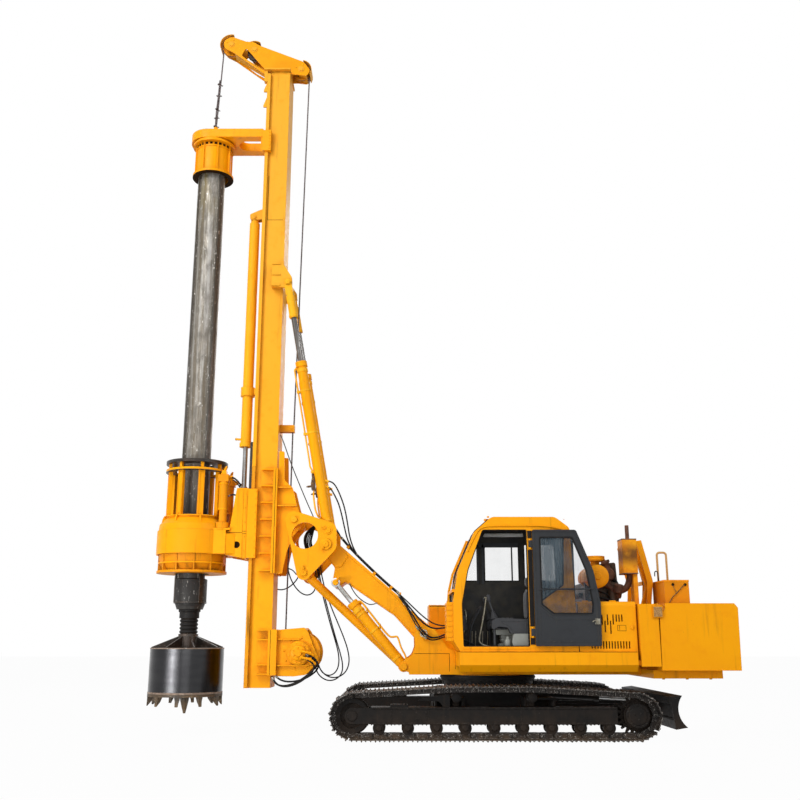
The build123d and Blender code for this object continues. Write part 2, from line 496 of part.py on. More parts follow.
right_front = block(-560, 780, -COVER_HALF, -BEAM_HALF, DECK_TOP, 1700)
right_front = fillet(right_front.edges().filter_by(Axis.X).group_by(Axis.Z)[-1], 60)
right_front -= block(-548, 768, -COVER_HALF + PANEL, -BEAM_HALF - PANEL, DECK_TOP - 1, 1688)
right_rear = mirror(Pos(COVER_REAR, 0, 0) * extrude(skirt_plane * (hood_outer - hood_inner), -562 - COVER_REAR), Plane.XZ)
for n in range(10):
    right_rear -= block(-1600 + 60 * n, -1580 + 60 * n, -COVER_HALF - 10, -COVER_HALF + 60, 1250, 1500)
save("side_covers_right", Compound(children=[*right_front.solids(), *right_rear.solids()]))

BOX_REAR = -2045.0
rear_box = block(BOX_REAR, -1800, BEAM_HALF + 60, BODY_HALF, 886, 1648)
rear_box -= block(BOX_REAR + PANEL, -1800 - PANEL, BEAM_HALF + 50, BODY_HALF - PANEL, 880, 1648 - PANEL)
rear_box += block(-1800, DECK_REAR + 1 - 1, BEAM_HALF + 60, BODY_HALF - SKIRT - 10, 900, 960)
save("rear_side_boxes", pair(rear_box))

engine = block(-1740, -1290, -480, 560, DECK_TOP, 1960) - block(-1700, -1330, -440, 520, DECK_TOP + 40, 1920)
save("engine_block", engine)
CLEANER = (-1397.0, 2110.0)
cleaner = pin_y(-1397, 2018, 148, 300, 900) + Pos(-1455, 500, 2190) * Cylinder(60, 120)
cleaner += Pos(-1455, 500, 2275) * Cylinder(132, 70)
cleaner -= block(-1800, -1000, 200, 1000, 1700, 1960)
save("air_cleaner", cleaner)

exhaust = block(-1936, -1744, 640, 900, 2050, 2512)
exhaust -= block(-1926, -1754, 650, 890, 2040, 2502)
exhaust += Pos(-1850, 770, 2606) * (Cylinder(26, 190) - Cylinder(21, 200))
exhaust += block(-1936, -1878, 700, 860, 1648, 2050)
save("exhaust", exhaust)

hood_face = outline([(-2003, 2516), (-2089, 2522), (-2215, 1960), (-2045, 1648), (-1990, 1648), (-2110, 1880)], [0, 0, 60, 0, 0, 60])
save("hood_plate", across(hood_face, 300, 560) + across(hood_face, -560, -300) + block(-2150, -2120, -300, 300, 1930, 1990))

# ---- Counterweight and what stands on it -----------------------------------------------------
weight = across(outline([
    (WEIGHT_FRONT, WEIGHT_LOW), (WEIGHT_FRONT - 12, 1468), (-2133, 1600), (-2137, WEIGHT_TOP), (-3006, WEIGHT_TOP),
    (WEIGHT_REAR, 1600), (WEIGHT_REAR + 18, WEIGHT_LOW)]), -BODY_HALF, BODY_HALF)
weight -= block(WEIGHT_REAR + 80, WEIGHT_FRONT - 140, -BODY_HALF + 60, BODY_HALF - 60, WEIGHT_LOW + 60, WEIGHT_TOP - 110)
weight += block(-2875, -2000, -1100, 1100, 735, WEIGHT_LOW)
save("counterweight", weight)

tool_box = block(-2560, -2240, 420, 1000, WEIGHT_TOP, 1963)
tool_box -= block(-2552, -2248, 428, 992, WEIGHT_TOP - 1, 1955)
save("tool_box", tool_box)

rail_path = FilletPolyline((-2440, 0, WEIGHT_TOP), (-2440, 0, 2407), (-2570, 0, 2407), (-2570, 0, WEIGHT_TOP), radius=40)
grab_rail = sweep(Plane(origin=(-2440, 0, WEIGHT_TOP), z_dir=(0, 0, 1)) * Circle(15), rail_path)
save("grab_rail", grab_rail)

# ---- Boom and its links --------------------------------------------------------------------------
boom_face = outline(
    [(BOOM_FOOT[0] - 120, BOOM_FOOT[1] - 60), (BOOM_FOOT[0] + 20, BOOM_FOOT[1] - 125), (1000, 1235), (1280, 1538), (1955, 1985),
     (LUFF_EYE[0] - 30, LUFF_EYE[1] - 62), (LUFF_EYE[0] + 58, LUFF_EYE[1] - 30), (2105, 2180), (2290, 2400),
     (2310, 2530), (2200, 2580), (2050, 2500), (1218, 1792), (1147, 1676), (800, 1400), (BOOM_FOOT[0] - 130, BOOM_FOOT[1] + 30)],
    [60, 60, 80, 60, 30, 40, 45, 60, 60, 60, 60, 60, 200, 60, 60, 60]) - disc(*BOOM_FOOT, PIN) - disc(*BOOM_TIP, PIN)
BOOM_PLATE = 16.0
boom_core = outline(
    [(900, 1250), (1000, 1290), (1270, 1570), (2000, 2080), (2160, 2340), (2120, 2480), (2060, 2470), (1230, 1765), (1160, 1655),
     (840, 1390)], 20)
boom = across(boom_face, -BOOM_HALF, BOOM_HALF) - across(boom_core, -BOOM_HALF + BOOM_PLATE, BOOM_HALF - BOOM_PLATE)
boom += pin_y(*BOOM_FOOT, PIN + 40, -BEAM_HALF + BEAM_WALL + 2, BEAM_HALF - BEAM_WALL - 2)
boom += pin_y(*BOOM_FOOT, PIN, -BEAM_HALF - 22, BEAM_HALF + 22)
LINK_Y = (430.0, 460.0)
boom += pin_y(*BOOM_TIP, PIN + 35, -LINK_Y[0] + 2, LINK_Y[0] - 2) + pin_y(*BOOM_TIP, PIN, -LINK_Y[1] - 20, LINK_Y[1] + 20)
LUFF_Y = 300.0
boom += pin_y(*LUFF_EYE, 58, -BOOM_HALF - 22, BOOM_HALF + 22)
CLAMP_FRONT = 1210.0       # face of the clamp block on the boom's back, where the hoses end
boom += block(CLAMP_FRONT - 26, CLAMP_FRONT, 70, 180, 1740, 1845)
save("boom", boom)

# Hoses along the boom's back, from behind the link head down to their clamp
BOOM_HOSE_ROUTE = [(2030, 2596), (1930, 2480), (1815, 2360), (1690, 2238), (1560, 2115), (1420, 1990), (1300, 1888),
                   (CLAMP_FRONT + 6, 1822)]
save("boom_hoses", Compound(children=[hose([(x, y, z) for x, z in BOOM_HOSE_ROUTE], HOSE) for y in (100, 146)]))
# Hoses from the cab's front round the boom foot, outside the main frame's plate, up to the clamp
CAB_HOSES = [
    [(527.3, 450, 1252), (600, 455, 1252), (690, 470, 1215), (790, 485, 1200), (890, 490, 1262), (965, 482, 1365),
     (1030, 455, 1480), (1085, 400, 1590), (1140, 320, 1690), (1216, 255, 1780)],
    [(527.3, 440, 1392), (600, 440, 1392), (690, 446, 1400), (790, 452, 1440), (900, 446, 1522), (1010, 410, 1625),
     (1120, 340, 1735), (1225, 270, 1830)],
]
save("cab_hoses", Compound(children=[hose(points, HOSE) for points in CAB_HOSES]))

tie_rod = bar((*TIE_FOOT[:1], 0, TIE_FOOT[1]), (TIE_TIP[0], 0, TIE_TIP[1]), 62)
tie_rod += pin_y(*TIE_FOOT, 75, -155, 155) + pin_y(*TIE_TIP, 75, -100, 100)
tie_rod -= pin_y(*TIE_FOOT, PIN + PIN_GAP, -200, 200) + pin_y(*TIE_TIP, PIN + PIN_GAP, -200, 200)
save("tie_rod", tie_rod)

LUFF_BARREL_LENGTH = 1100.0
luff_barrel = cylinder_barrel(TIE_FOOT, LUFF_EYE, LUFF_BARREL_LENGTH, 68, 31, 62, 70)
luff_barrel -= pin_y(*TIE_FOOT, PIN + PIN_GAP, -80, 80)
save("boom_cylinder_barrels", pair(Pos(0, LUFF_Y, 0) * luff_barrel))
luff_rod = cylinder_rod(TIE_FOOT, LUFF_EYE, 420, 30, 62, 40) + pin_y(*LUFF_EYE, 40, -LUFF_Y + BOOM_HALF + 22 + PIN_GAP, -40)
save("boom_cylinder_rods", pair(Pos(0, LUFF_Y, 0) * luff_rod))

# ---- Link head: two triangular plates between boom and mast ------------------------------------
LINK_HOLE = (2510.0, 2600.0)
LINK_HOLE_RADIUS = 180.0
link_face = hull((*MAST_PIVOT, 118), (*TIE_TIP, 95), (*MAST_CYLINDER_FOOT, 120), (*BOOM_TIP, 150))
link_face -= disc(*LINK_HOLE, LINK_HOLE_RADIUS)
link_holed = link_face - disc(*MAST_PIVOT, PIN + PIN_GAP) - disc(*BOOM_TIP, PIN + PIN_GAP)
link_head = both_sides(across(link_holed, *LINK_Y))
link_head += pin_y(*TIE_TIP, PIN, -LINK_Y[0], LINK_Y[0])
link_head += pin_y(*MAST_CYLINDER_FOOT, PIN - 8, -LINK_Y[0], LINK_Y[0])
# Two clamps inside the right plate, from which the hoses hang
CLAMP_Z = 2301.0
CLAMP_DEPTH = 46.0
link_head += block(2346, 2462, -LINK_Y[0], -LINK_Y[0] + CLAMP_DEPTH, CLAMP_Z, CLAMP_Z + 40)
link_head += block(2605, 2655, -LINK_Y[0], -LINK_Y[0] + CLAMP_DEPTH, CLAMP_Z, CLAMP_Z + 40)
save("link_head", link_head)

# Hoses to the winch hang in two lanes between the luff cylinder and the right link plate, and
# clear of both, so that boom and mast can swing past them
INNER_LANE = -LINK_Y[0] + 36
OUTER_LANE = -LINK_Y[0] + 14
WINCH_HOSES = [
    [(2412, INNER_LANE, 2300), (2400, INNER_LANE, 2170), (2360, INNER_LANE, 1990), (2306, INNER_LANE, 1800),
     (2250, INNER_LANE, 1600), (2190, INNER_LANE, 1400), (2130, INNER_LANE, 1215), (2080, INNER_LANE, 1050),
     (2062, INNER_LANE, 900), (2095, INNER_LANE, 775), (2190, INNER_LANE, 712), (2290, INNER_LANE, 745),
     (2352, INNER_LANE, 840), (2372, INNER_LANE, 930)],
    [(2392, OUTER_LANE, 2300), (2382, OUTER_LANE, 2165), (2340, OUTER_LANE, 1985), (2284, OUTER_LANE, 1790),
     (2224, OUTER_LANE, 1580), (2164, OUTER_LANE, 1375), (2104, OUTER_LANE, 1185), (2050, OUTER_LANE, 1020),
     (2012, OUTER_LANE, 870), (2022, OUTER_LANE, 745), (2105, OUTER_LANE, 662), (2225, OUTER_LANE, 645),
     (2335, OUTER_LANE, 705), (2396, OUTER_LANE, 800), (2412, OUTER_LANE, 890)],
    [(2364, -405, 2300), (2350, -405, 2170), (2306, -408, 1985), (2246, -418, 1800), (2170, -432, 1610),
     (2088, -442, 1430), (2010, -447, 1250), (1945, -449, 1075), (1918, -449, 905), (1965, -448, 765),
     (2075, -447, 690), (2200, -446, 690), (2310, -443, 760), (2366, -438, 860)],
]
save("winch_hoses", Compound(children=[hose(points, HOSE) for points in WINCH_HOSES]))
LINK_HOSES = [
    [(2630, INNER_LANE, 2300), (2640, INNER_LANE, 2175), (2690, INNER_LANE, 2060), (2765, INNER_LANE, 1975),
     (2850, INNER_LANE, 1920), (2940, INNER_LANE, 1905), (3020, INNER_LANE, 1925)],
    [(2448, OUTER_LANE, 2300), (2438, OUTER_LANE, 2200), (2414, OUTER_LANE, 2085), (2412, OUTER_LANE, 1965),
     (2455, OUTER_LANE, 1866), (2545, OUTER_LANE, 1826), (2650, OUTER_LANE, 1872), (2740, OUTER_LANE, 1975),
     (2806, OUTER_LANE, 2105), (2840, OUTER_LANE, 2250), (2846, OUTER_LANE, 2400)],
]
save("link_hoses", Compound(children=[hose(points, HOSE) for points in LINK_HOSES]))

MAST_CYLINDER_Y = 350.0
MAST_BARREL_LENGTH = 2490.0
mast_barrel = cylinder_barrel(MAST_CYLINDER_FOOT, MAST_CYLINDER_EYE, MAST_BARREL_LENGTH, 72, 41, 66, 80)
mast_barrel -= pin_y(*MAST_CYLINDER_FOOT, PIN - 8 + PIN_GAP, -80, 80)
save("mast_cylinder_barrels", pair(Pos(0, MAST_CYLINDER_Y, 0) * mast_barrel))
SLEEVE_LENGTH = 560.0
FORK_DEPTH = 150.0         # from the eye's axis to the fork's root
EAR_HALF = 14.0            # half thickness of the mast's ears
ROD_START = 1500.0         # from the barrel's foot to the piston, at rest
sleeve_low = away(MAST_CYLINDER_EYE, MAST_CYLINDER_FOOT, SLEEVE_LENGTH)
sleeve_high = away(MAST_CYLINDER_EYE, MAST_CYLINDER_FOOT, FORK_DEPTH)
piston = away(MAST_CYLINDER_FOOT, MAST_CYLINDER_EYE, ROD_START)
mast_rod = bar((piston[0], 0, piston[1]), (sleeve_high[0], 0, sleeve_high[1]), 40)
mast_rod += bar((sleeve_low[0], 0, sleeve_low[1]), (sleeve_high[0], 0, sleeve_high[1]), 60)
for low, high in ((EAR_HALF + MOVING_GAP, 38), (-38, -EAR_HALF - MOVING_GAP)):
    mast_rod += across(hull((*MAST_CYLINDER_EYE, 56), (*away(MAST_CYLINDER_EYE, MAST_CYLINDER_FOOT, FORK_DEPTH + 40), 56)), low, high)
for low, high in ((38, 52), (-52, -38)):
    mast_rod += pin_y(*MAST_CYLINDER_EYE, 38, low, high)
save("mast_cylinder_rods", pair(Pos(0, MAST_CYLINDER_Y, 0) * mast_rod))

# ---- Mast ------------------------------------------------------------------------------------------
mast = block(MAST_BACK, MAST_FRONT, -MAST_HALF, MAST_HALF, MAST_LOW, MAST_HIGH)
mast -= block(MAST_BACK + MAST_WALL, MAST_FRONT - MAST_WALL, -MAST_HALF + MAST_WALL, MAST_HALF - MAST_WALL, MAST_LOW - 1, MAST_HIGH + 1)
mast += both_sides(block(MAST_FRONT, RAIL_FRONT, RAIL_HALF - RAIL_WIDTH, RAIL_HALF, MAST_LOW, MAST_HIGH - 60))
mast += block(MAST_BACK - 13, RAIL_FRONT + 57, -RAIL_HALF - 20, RAIL_HALF + 20, MAST_HIGH, MAST_HIGH + 25)
# Ears for the mast cylinders, outside the box on both sides
ear_face = outline([(MAST_BACK + 160, 6660), (MAST_BACK, 6660), (2810, 6440), (2795, 6300), (2900, 6270), (MAST_BACK + 160, 6300)],
                   [0, 60, 60, 50, 40, 0])
mast += both_sides(across(ear_face, MAST_CYLINDER_Y - EAR_HALF, MAST_CYLINDER_Y + EAR_HALF))
for z in (6310, 6480, 6650):
    mast += both_sides(block(MAST_BACK + 30, MAST_BACK + 160, MAST_HALF, MAST_CYLINDER_Y + 30, z - 10, z + 10))
# Rope guide arm
mast += block(2745, MAST_BACK, -60, -20, 4150, 4250) + block(2745, MAST_BACK, 20, 60, 4150, 4250)
# Bracket on the front for the feed cylinder
feed_ear = outline([(MAST_FRONT, 7540), (MAST_FRONT, 7720), (3400, 7660), (3525, 7600), (3520, 7510), (3400, 7510)], [0, 0, 30, 30, 30, 30])
mast += across(feed_ear, -60, -34) + across(feed_ear, 34, 60)
save("mast", mast)

# Saddle with ribs round the mast, and side plates back to the mast's pivot
RIB_ZS = [2135 + 235 * n for n in range(7)]
SADDLE_LOW, SADDLE_HIGH = 2096.0, 3560.0
bracket = both_sides(block(2924, MAST_BACK - 0, 80, 355, SADDLE_LOW, SADDLE_HIGH))
for z in RIB_ZS:
    bracket += both_sides(block(MAST_BACK, 3155, MAST_HALF, 350, z - 8, z + 8))
bracket += both_sides(block(MAST_BACK, 2985, MAST_HALF, 355, SADDLE_LOW, SADDLE_HIGH))
side_face = outline([(2924, 3820), (2850, 3815), (2835, 3400), (2718, 3294), (2650, 3041), (2560, 2819), (2600, 2720),
                     (2700, 2600), (2773, 2410), (2833, 2096), (2924, 2096)],
                    [0, 20, 60, 40, 60, 90, 60, 60, 60, 0, 0]) - disc(*MAST_PIVOT, PIN)
bracket += both_sides(across(side_face, 240, 268))
bracket += pin_y(*MAST_PIVOT, PIN + 45, -268, -180) + pin_y(*MAST_PIVOT, PIN + 45, 180, 268)
bracket += pin_y(*MAST_PIVOT, PIN + 45, 268, LINK_Y[0] - 2) + pin_y(*MAST_PIVOT, PIN + 45, -LINK_Y[0] + 2, -268)
bracket += pin_y(*MAST_PIVOT, PIN, -LINK_Y[1] - 20, LINK_Y[1] + 20)
save("mast_bracket", bracket)

# ---- Mast head -----------------------------------------------------------------------------------
HEAD_Y = (110.0, 128.0)
HEAD_LOW = MAST_HIGH + 25
SHEAVES = {"sheave_front": (3934.0, HEAD_LOW + 556, 150.0), "sheave_middle": (3559.0, HEAD_LOW + 461, 125.0),
           "sheave_rear": (2792.0, HEAD_LOW + 100, 135.0)}
upper_chord = outline([(2854, HEAD_LOW), (2700, HEAD_LOW - 20), (2640, HEAD_LOW + 80), (2759, HEAD_LOW + 235), (3468, HEAD_LOW + 530),
                       (3574, HEAD_LOW + 596), (3699, HEAD_LOW + 608), (3930, HEAD_LOW + 698), (4058, HEAD_LOW + 630),
                       (4050, HEAD_LOW + 490), (3880, HEAD_LOW + 395), (3365, HEAD_LOW)],
                      [0, 60, 80, 80, 60, 40, 60, 90, 90, 80, 30, 0])
gap = outline([(3694, HEAD_LOW + 490), (3340, HEAD_LOW + 50), (3536, HEAD_LOW + 160), (3760, HEAD_LOW + 350)], [20, 15, 30, 40])
head = both_sides(across(upper_chord - gap, *HEAD_Y))
for x, z, radius in SHEAVES.values():
    head += pin_y(x, z, 32, -HEAD_Y[1] - 14, HEAD_Y[1] + 14)
head += block(3050, 3080, -HEAD_Y[0], HEAD_Y[0], HEAD_LOW, HEAD_LOW + 270) + block(3300, 3330, -HEAD_Y[0], HEAD_Y[0], HEAD_LOW, HEAD_LOW + 30)
head += block(2940, 3357, -200, 200, HEAD_LOW, HEAD_LOW + 20)
save("mast_head", head)
for name, (x, z, radius) in SHEAVES.items():
    groove = turned([(32 + PIN_GAP, -28), (32 + PIN_GAP, 28), (radius, 28), (radius, 18), (radius - 22, 8), (radius - 22, -8), (radius, -18), (radius, -28)],
                    x=0)
    save(name, Pos(x, 0, z) * Rot(90, 0, 0) * groove)

# ---- Winch at the mast's foot ----------------------------------------------------------------------
WINCH = (2568.0, 1036.0)
winch_face = outline([(2866, 746), (2866, 1340), (2500, 1371), (2455, 1320), (2290, 936), (2466, 752), (2640, 730)],
                     [0, 0, 30, 30, 60, 60, 30])
winch = both_sides(across(winch_face - disc(*WINCH, 52), 265, 285))
winch += both_sides(block(2866, MAST_BACK, 80, 350, 746, 1345))
for z in (1337, 1211, 883, 763):
    winch += both_sides(block(MAST_BACK, 3140, MAST_HALF, 340, z - 8, z + 8))
winch += both_sides(block(MAST_BACK, 2985, MAST_HALF, 350, 746, 1345))
winch += pin_y(2512, 1342, 16, -265, 265) + block(2650, 2866, -265, 265, 732, 744)
winch += both_sides(pin_y(*WINCH, 160, 285, 330) + pin_y(*WINCH, 100, 330, 375))
winch += both_sides(pin_y(*WINCH, 50, 230, 285))
save("winch_housing", winch)
drum = pin_y(*WINCH, 200, -225, 225)
for low, high in ((-250, -225), (225, 250)):
    drum += pin_y(*WINCH, 285, low, high)
drum -= pin_y(*WINCH, 150, -200, 200) + pin_y(*WINCH, 50 + PIN_GAP, -260, 260)
save("winch_drum", drum)

# ---- Feed cylinder ----------------------------------------------------------------------------------
FEED_LOW, FEED_HIGH = 3930.0, 7460.0
feed_barrel = Pos(FEED_X, 0, 0) * (
    bar((0, 0, FEED_LOW), (0, 0, FEED_HIGH), 77) + bar((0, 0, 4700), (0, 0, 4820), 102)
    + bar((0, 0, FEED_LOW), (0, 0, FEED_LOW + 60), 90) + bar((0, 0, FEED_HIGH), (0, 0, 7500), 60))
feed_barrel += pin_y(3458, 7548, 60, -34 + RUNNING_GAP, 34 - RUNNING_GAP)
feed_barrel -= Pos(FEED_X, 0, 0) * bar((0, 0, FEED_LOW - 1), (0, 0, 7350), 36)
save("feed_cylinder_barrel", feed_barrel)
CARRIAGE_TOP = 3285.0
feed_rod = Pos(FEED_X, 0, 0) * (bar((0, 0, CARRIAGE_TOP + 60), (0, 0, 6300), 35) + bar((0, 0, CARRIAGE_TOP), (0, 0, CARRIAGE_TOP + 60), 48))
save("feed_cylinder_rod", feed_rod)

# ---- Rotary drive ------------------------------------------------------------------------------------
SHOE_BACK = 3205.0
carriage_face = outline([(3335, CARRIAGE_TOP), (3500, CARRIAGE_TOP), (3584, 2700), (3620, 2650), (3620, 2349), (3335, 2297)],
                        [0, 30, 60, 20, 0, 0]) - disc(3475, 2489, 48)
carriage = both_sides(across(carriage_face, 270, 298))
carriage += block(3335, 3360, -300, 300, 2297, CARRIAGE_TOP) + block(3335, 3500, -300, 300, CARRIAGE_TOP - 25, CARRIAGE_TOP)
SHOE = 40.0
wrap = RAIL_HALF + SHOE_GAP
shoe_face = outline([(SHOE_BACK, wrap - 40), (SHOE_BACK, wrap + SHOE), (3335, wrap + SHOE), (3335, wrap - 90),
                     (RAIL_FRONT + SHOE_GAP, wrap - 90), (RAIL_FRONT + SHOE_GAP, wrap),
                     (MAST_FRONT - SHOE_GAP, wrap), (MAST_FRONT - SHOE_GAP, wrap - 40)])
carriage += both_sides(Pos(0, 0, 2305) * extrude(shoe_face, 965))
save("drive_carriage", carriage)

GEAR_TOP, GEAR_LOW = 2780.0, 2363.0
case_plan = Pos(KELLY_X, 0) * Circle(DRIVE_RADIUS) + Pos(3880, 0) * Rectangle(520, 720) + Pos(3660, 0) * Rectangle(240, 540)
case = Pos(0, 0, GEAR_LOW) * extrude(case_plan, 2690 - GEAR_LOW)
case += turned([(0, 2690), (DRIVE_RADIUS - 15, 2690), (DRIVE_RADIUS - 25, GEAR_TOP), (400, 2872), (0, 2872)])
case -= turned([(0, GEAR_LOW - 1), (KELLY_BORE, GEAR_LOW - 1), (KELLY_BORE, 2900), (0, 2900)])
case -= turned([(KELLY_BORE + 35, GEAR_LOW - 1), (DRIVE_RADIUS - 30, GEAR_LOW - 1), (DRIVE_RADIUS - 30, 2660),
                (KELLY_BORE + 35, 2660)])
save("drive_gearbox", case)
lower = turned([(KELLY_BORE, GEAR_LOW), (KELLY_BORE, 2108), (485, 2108), (485, 2140), (400, 2140), (450, 2240), (465, GEAR_LOW)])
lower -= turned([(KELLY_BORE + 30, GEAR_LOW + 1), (KELLY_BORE + 30, 2200), (390, 2200), (430, GEAR_LOW + 1)])
for n in range(12):
    lower += Pos(KELLY_X, 0, 0) * Rot(0, 0, 30 * n + 15) * block(395, 470, -8, 8, 2140, GEAR_LOW)
save("drive_lower_housing", lower)

CAGE_TOP = 3570.0
cage = turned([(KELLY_BORE + 15, 2872), (400, 2872), (400, 2900), (KELLY_BORE + 15, 2900)])
cage += turned([(330, CAGE_TOP - 30), (434, CAGE_TOP - 30), (434, CAGE_TOP), (330, CAGE_TOP)])
POSTS = 8
for n in range(POSTS):
    cage += Pos(KELLY_X, 0, 0) * Rot(0, 0, 360 / POSTS * (n + 0.5)) * block(345, 395, -42, 42, 2900, CAGE_TOP - 30)
    cage += Pos(KELLY_X, 0, 0) * Rot(0, 0, 360 / POSTS * (n + 0.5)) * block(360, 400, -20, 20, CAGE_TOP, 3650)
cage += turned([(KELLY_BORE + 5, 3650), (436, 3650), (436, 3690), (KELLY_BORE + 5, 3690)])
save("drive_cage", cage)

motors = []
for y in (240, -240):
    motor = Pos(3700, y, 0) * (bar((0, 0, 2690), (0, 0, 2800), 105) + bar((0, 0, 2800), (0, 0, 3380), 62) + block(-75, 75, -60, 60, 3380, 3480))
    motor -= turned([(0, 2600), (DRIVE_RADIUS - 10, 2600), (DRIVE_RADIUS - 10, 3000), (0, 3000)])
    motors.append(motor)
save("drive_motors", Compound(children=[s for m in motors for s in m.solids()]))

# ---- Kelly guide on top of the kelly bar -------------------------------------------------------------
GUIDE_LOW, GUIDE_HIGH = 8800.0, 8940.0
guide_plan = hull((KELLY_X + 60, 0, 300), (3350, 0, 300)) & (Pos(3920, 0) * Rectangle(1170, 620))
slot_plan = hull((3600, 0, 150), (3200, 0, 150))
guide = Pos(0, 0, GUIDE_LOW) * extrude(guide_plan - slot_plan, GUIDE_HIGH - GUIDE_LOW)
GUIDE_BORE = KELLY_KEY_RADIUS + 8
housing = turned([(GUIDE_BORE, 8225), (315, 8225), (315, 8262), (266, 8262), (266, 8740), (330, 8740), (330, 8770), (300, 8810),
                  (0, 8810), (0, 8730), (GUIDE_BORE, 8730)])
for n in range(8):
    housing += Pos(KELLY_X, 0, 0) * Rot(0, 0, 45 * n + 22.5) * block(255, 292, -7, 7, 8250, 8750)
guide += housing
guide += both_sides(Pos(0, 0, 8550) * extrude(shoe_face, 350))
guide += both_sides(block(3330, 3365, 175, 290, 8550, GUIDE_LOW + 5))
guide += Pos(KELLY_X, 0, 0) * (bar((0, 0, GUIDE_HIGH), (0, 0, 9010), 60) + bar((0, 0, 9010), (0, 0, 9130), 32))
save("kelly_guide", guide)

# ---- Kelly bar: three tubes that telescope -----------------------------------------------------------
KELLY_LOW, KELLY_HIGH = 1700.0, 8700.0
COLLAR = 100.0             # height of the bearing collar at the kelly bar's head
KEY_ANGLES = (20, 140, 260)
outer = turned([(KELLY_RADIUS - 18, KELLY_LOW), (KELLY_RADIUS, KELLY_LOW), (KELLY_RADIUS, KELLY_HIGH), (KELLY_RADIUS - 18, KELLY_HIGH)])
for angle in KEY_ANGLES:
    outer += Pos(KELLY_X, 0, 0) * Rot(0, 0, angle) * block(KELLY_RADIUS - 4, KELLY_KEY_RADIUS, -32, 32, KELLY_LOW + 330, KELLY_HIGH)
outer += turned([(KELLY_RADIUS - 5, KELLY_LOW), (KELLY_KEY_RADIUS, KELLY_LOW), (KELLY_KEY_RADIUS, KELLY_LOW + 330), (KELLY_RADIUS - 5, KELLY_LOW + 345)])
outer += turned([(KELLY_RADIUS - 5, KELLY_HIGH - COLLAR), (GUIDE_BORE - PIN_GAP, KELLY_HIGH - COLLAR), (GUIDE_BORE - PIN_GAP, KELLY_HIGH), (KELLY_RADIUS - 5, KELLY_HIGH)])
save("kelly_outer", outer)
MIDDLE_RADIUS = KELLY_RADIUS - 18 - MOVING_GAP
middle = turned([(MIDDLE_RADIUS - 20, 1620), (180, 1620), (205, 1690), (205, KELLY_LOW - RUNNING_GAP), (MIDDLE_RADIUS, KELLY_LOW - RUNNING_GAP),
                 (MIDDLE_RADIUS, 8500), (MIDDLE_RADIUS - 20, 8500)])
save("kelly_middle", middle)
INNER_RADIUS = MIDDLE_RADIUS - 20 - MOVING_GAP
COILS = 6
STUB_LOW = 1290.0
inner = turned([(INNER_RADIUS - 16, 1500), (INNER_RADIUS, 1500), (INNER_RADIUS, 8400), (INNER_RADIUS - 16, 8400)])
inner += turned([(0, 1100), (112, 1100), (112, 1560), (150, 1590), (150, 1620 - RUNNING_GAP), (0, 1620 - RUNNING_GAP)])
for n in range(COILS):
    z = STUB_LOW + 26 + 50 * n
    inner += Pos(KELLY_X, 0, z) * Torus(104, 22)
save("kelly_inner", inner)

# ---- Drilling bucket -----------------------------------------------------------------------------------
WALL = 16.0
shell = turned([(BUCKET_RADIUS - WALL, BUCKET_LOW), (BUCKET_RADIUS, BUCKET_LOW), (BUCKET_RADIUS, BUCKET_TOP), (113, BUCKET_TOP),
                (113, BUCKET_TOP - WALL), (BUCKET_RADIUS - WALL, BUCKET_TOP - WALL)])
shell += turned([(112.5, BUCKET_TOP), (135, BUCKET_TOP), (135, BUCKET_TOP + 155), (112.5, BUCKET_TOP + 155)])
for n in range(8):
    rib = Plane.XZ * make_face(Polyline((125, BUCKET_TOP), (BUCKET_RADIUS - 10, BUCKET_TOP), (BUCKET_RADIUS - 10, BUCKET_TOP + 12), (125, BUCKET_TOP + 155), close=True))
    shell += Pos(KELLY_X, 0, 0) * Rot(0, 0, 45 * n + 22.5) * extrude(rib, 7, both=True)
HINGE_Y = -(BUCKET_RADIUS + 22)
HINGE_Z = BUCKET_LOW + 25
for x in (-90, 90):
    lug = Pos(KELLY_X + x, 0, 0) * block(-15, 15, HINGE_Y - 14, -BUCKET_RADIUS + 12, BUCKET_LOW + 5, HINGE_Z + 90)
    shell += lug - bar((KELLY_X - 200, HINGE_Y, HINGE_Z), (KELLY_X + 200, HINGE_Y, HINGE_Z), 13)
save("bucket_shell", shell)

bottom = turned([(0, 470), (BUCKET_RADIUS + 3, 470), (BUCKET_RADIUS + 3, BUCKET_LOW - 3), (0, BUCKET_LOW - 3)])
TEETH = 10
for n in range(TEETH):
    tooth = Plane.XZ * make_face(Polyline((BUCKET_RADIUS - 90, 470), (BUCKET_RADIUS, 470), (BUCKET_RADIUS + 3, 350), (BUCKET_RADIUS - 30, 400), close=True))
    bottom += Pos(KELLY_X, 0, 0) * Rot(0, 0, 36 * n + 18) * extrude(tooth, 22, both=True)
bottom += turned([(0, 470), (62, 470), (52, 400), (16, 240), (0, 236)])
bottom += bar((KELLY_X - 110, HINGE_Y, HINGE_Z), (KELLY_X + 110, HINGE_Y, HINGE_Z), 12)
bottom += block(KELLY_X - 70, KELLY_X + 70, HINGE_Y - 12, -BUCKET_RADIUS + 60, 470, BUCKET_LOW - 3)
bottom += block(KELLY_X - 70, KELLY_X + 70, HINGE_Y - 12, HINGE_Y + 12, 470, HINGE_Z)
save("bucket_bottom", bottom)
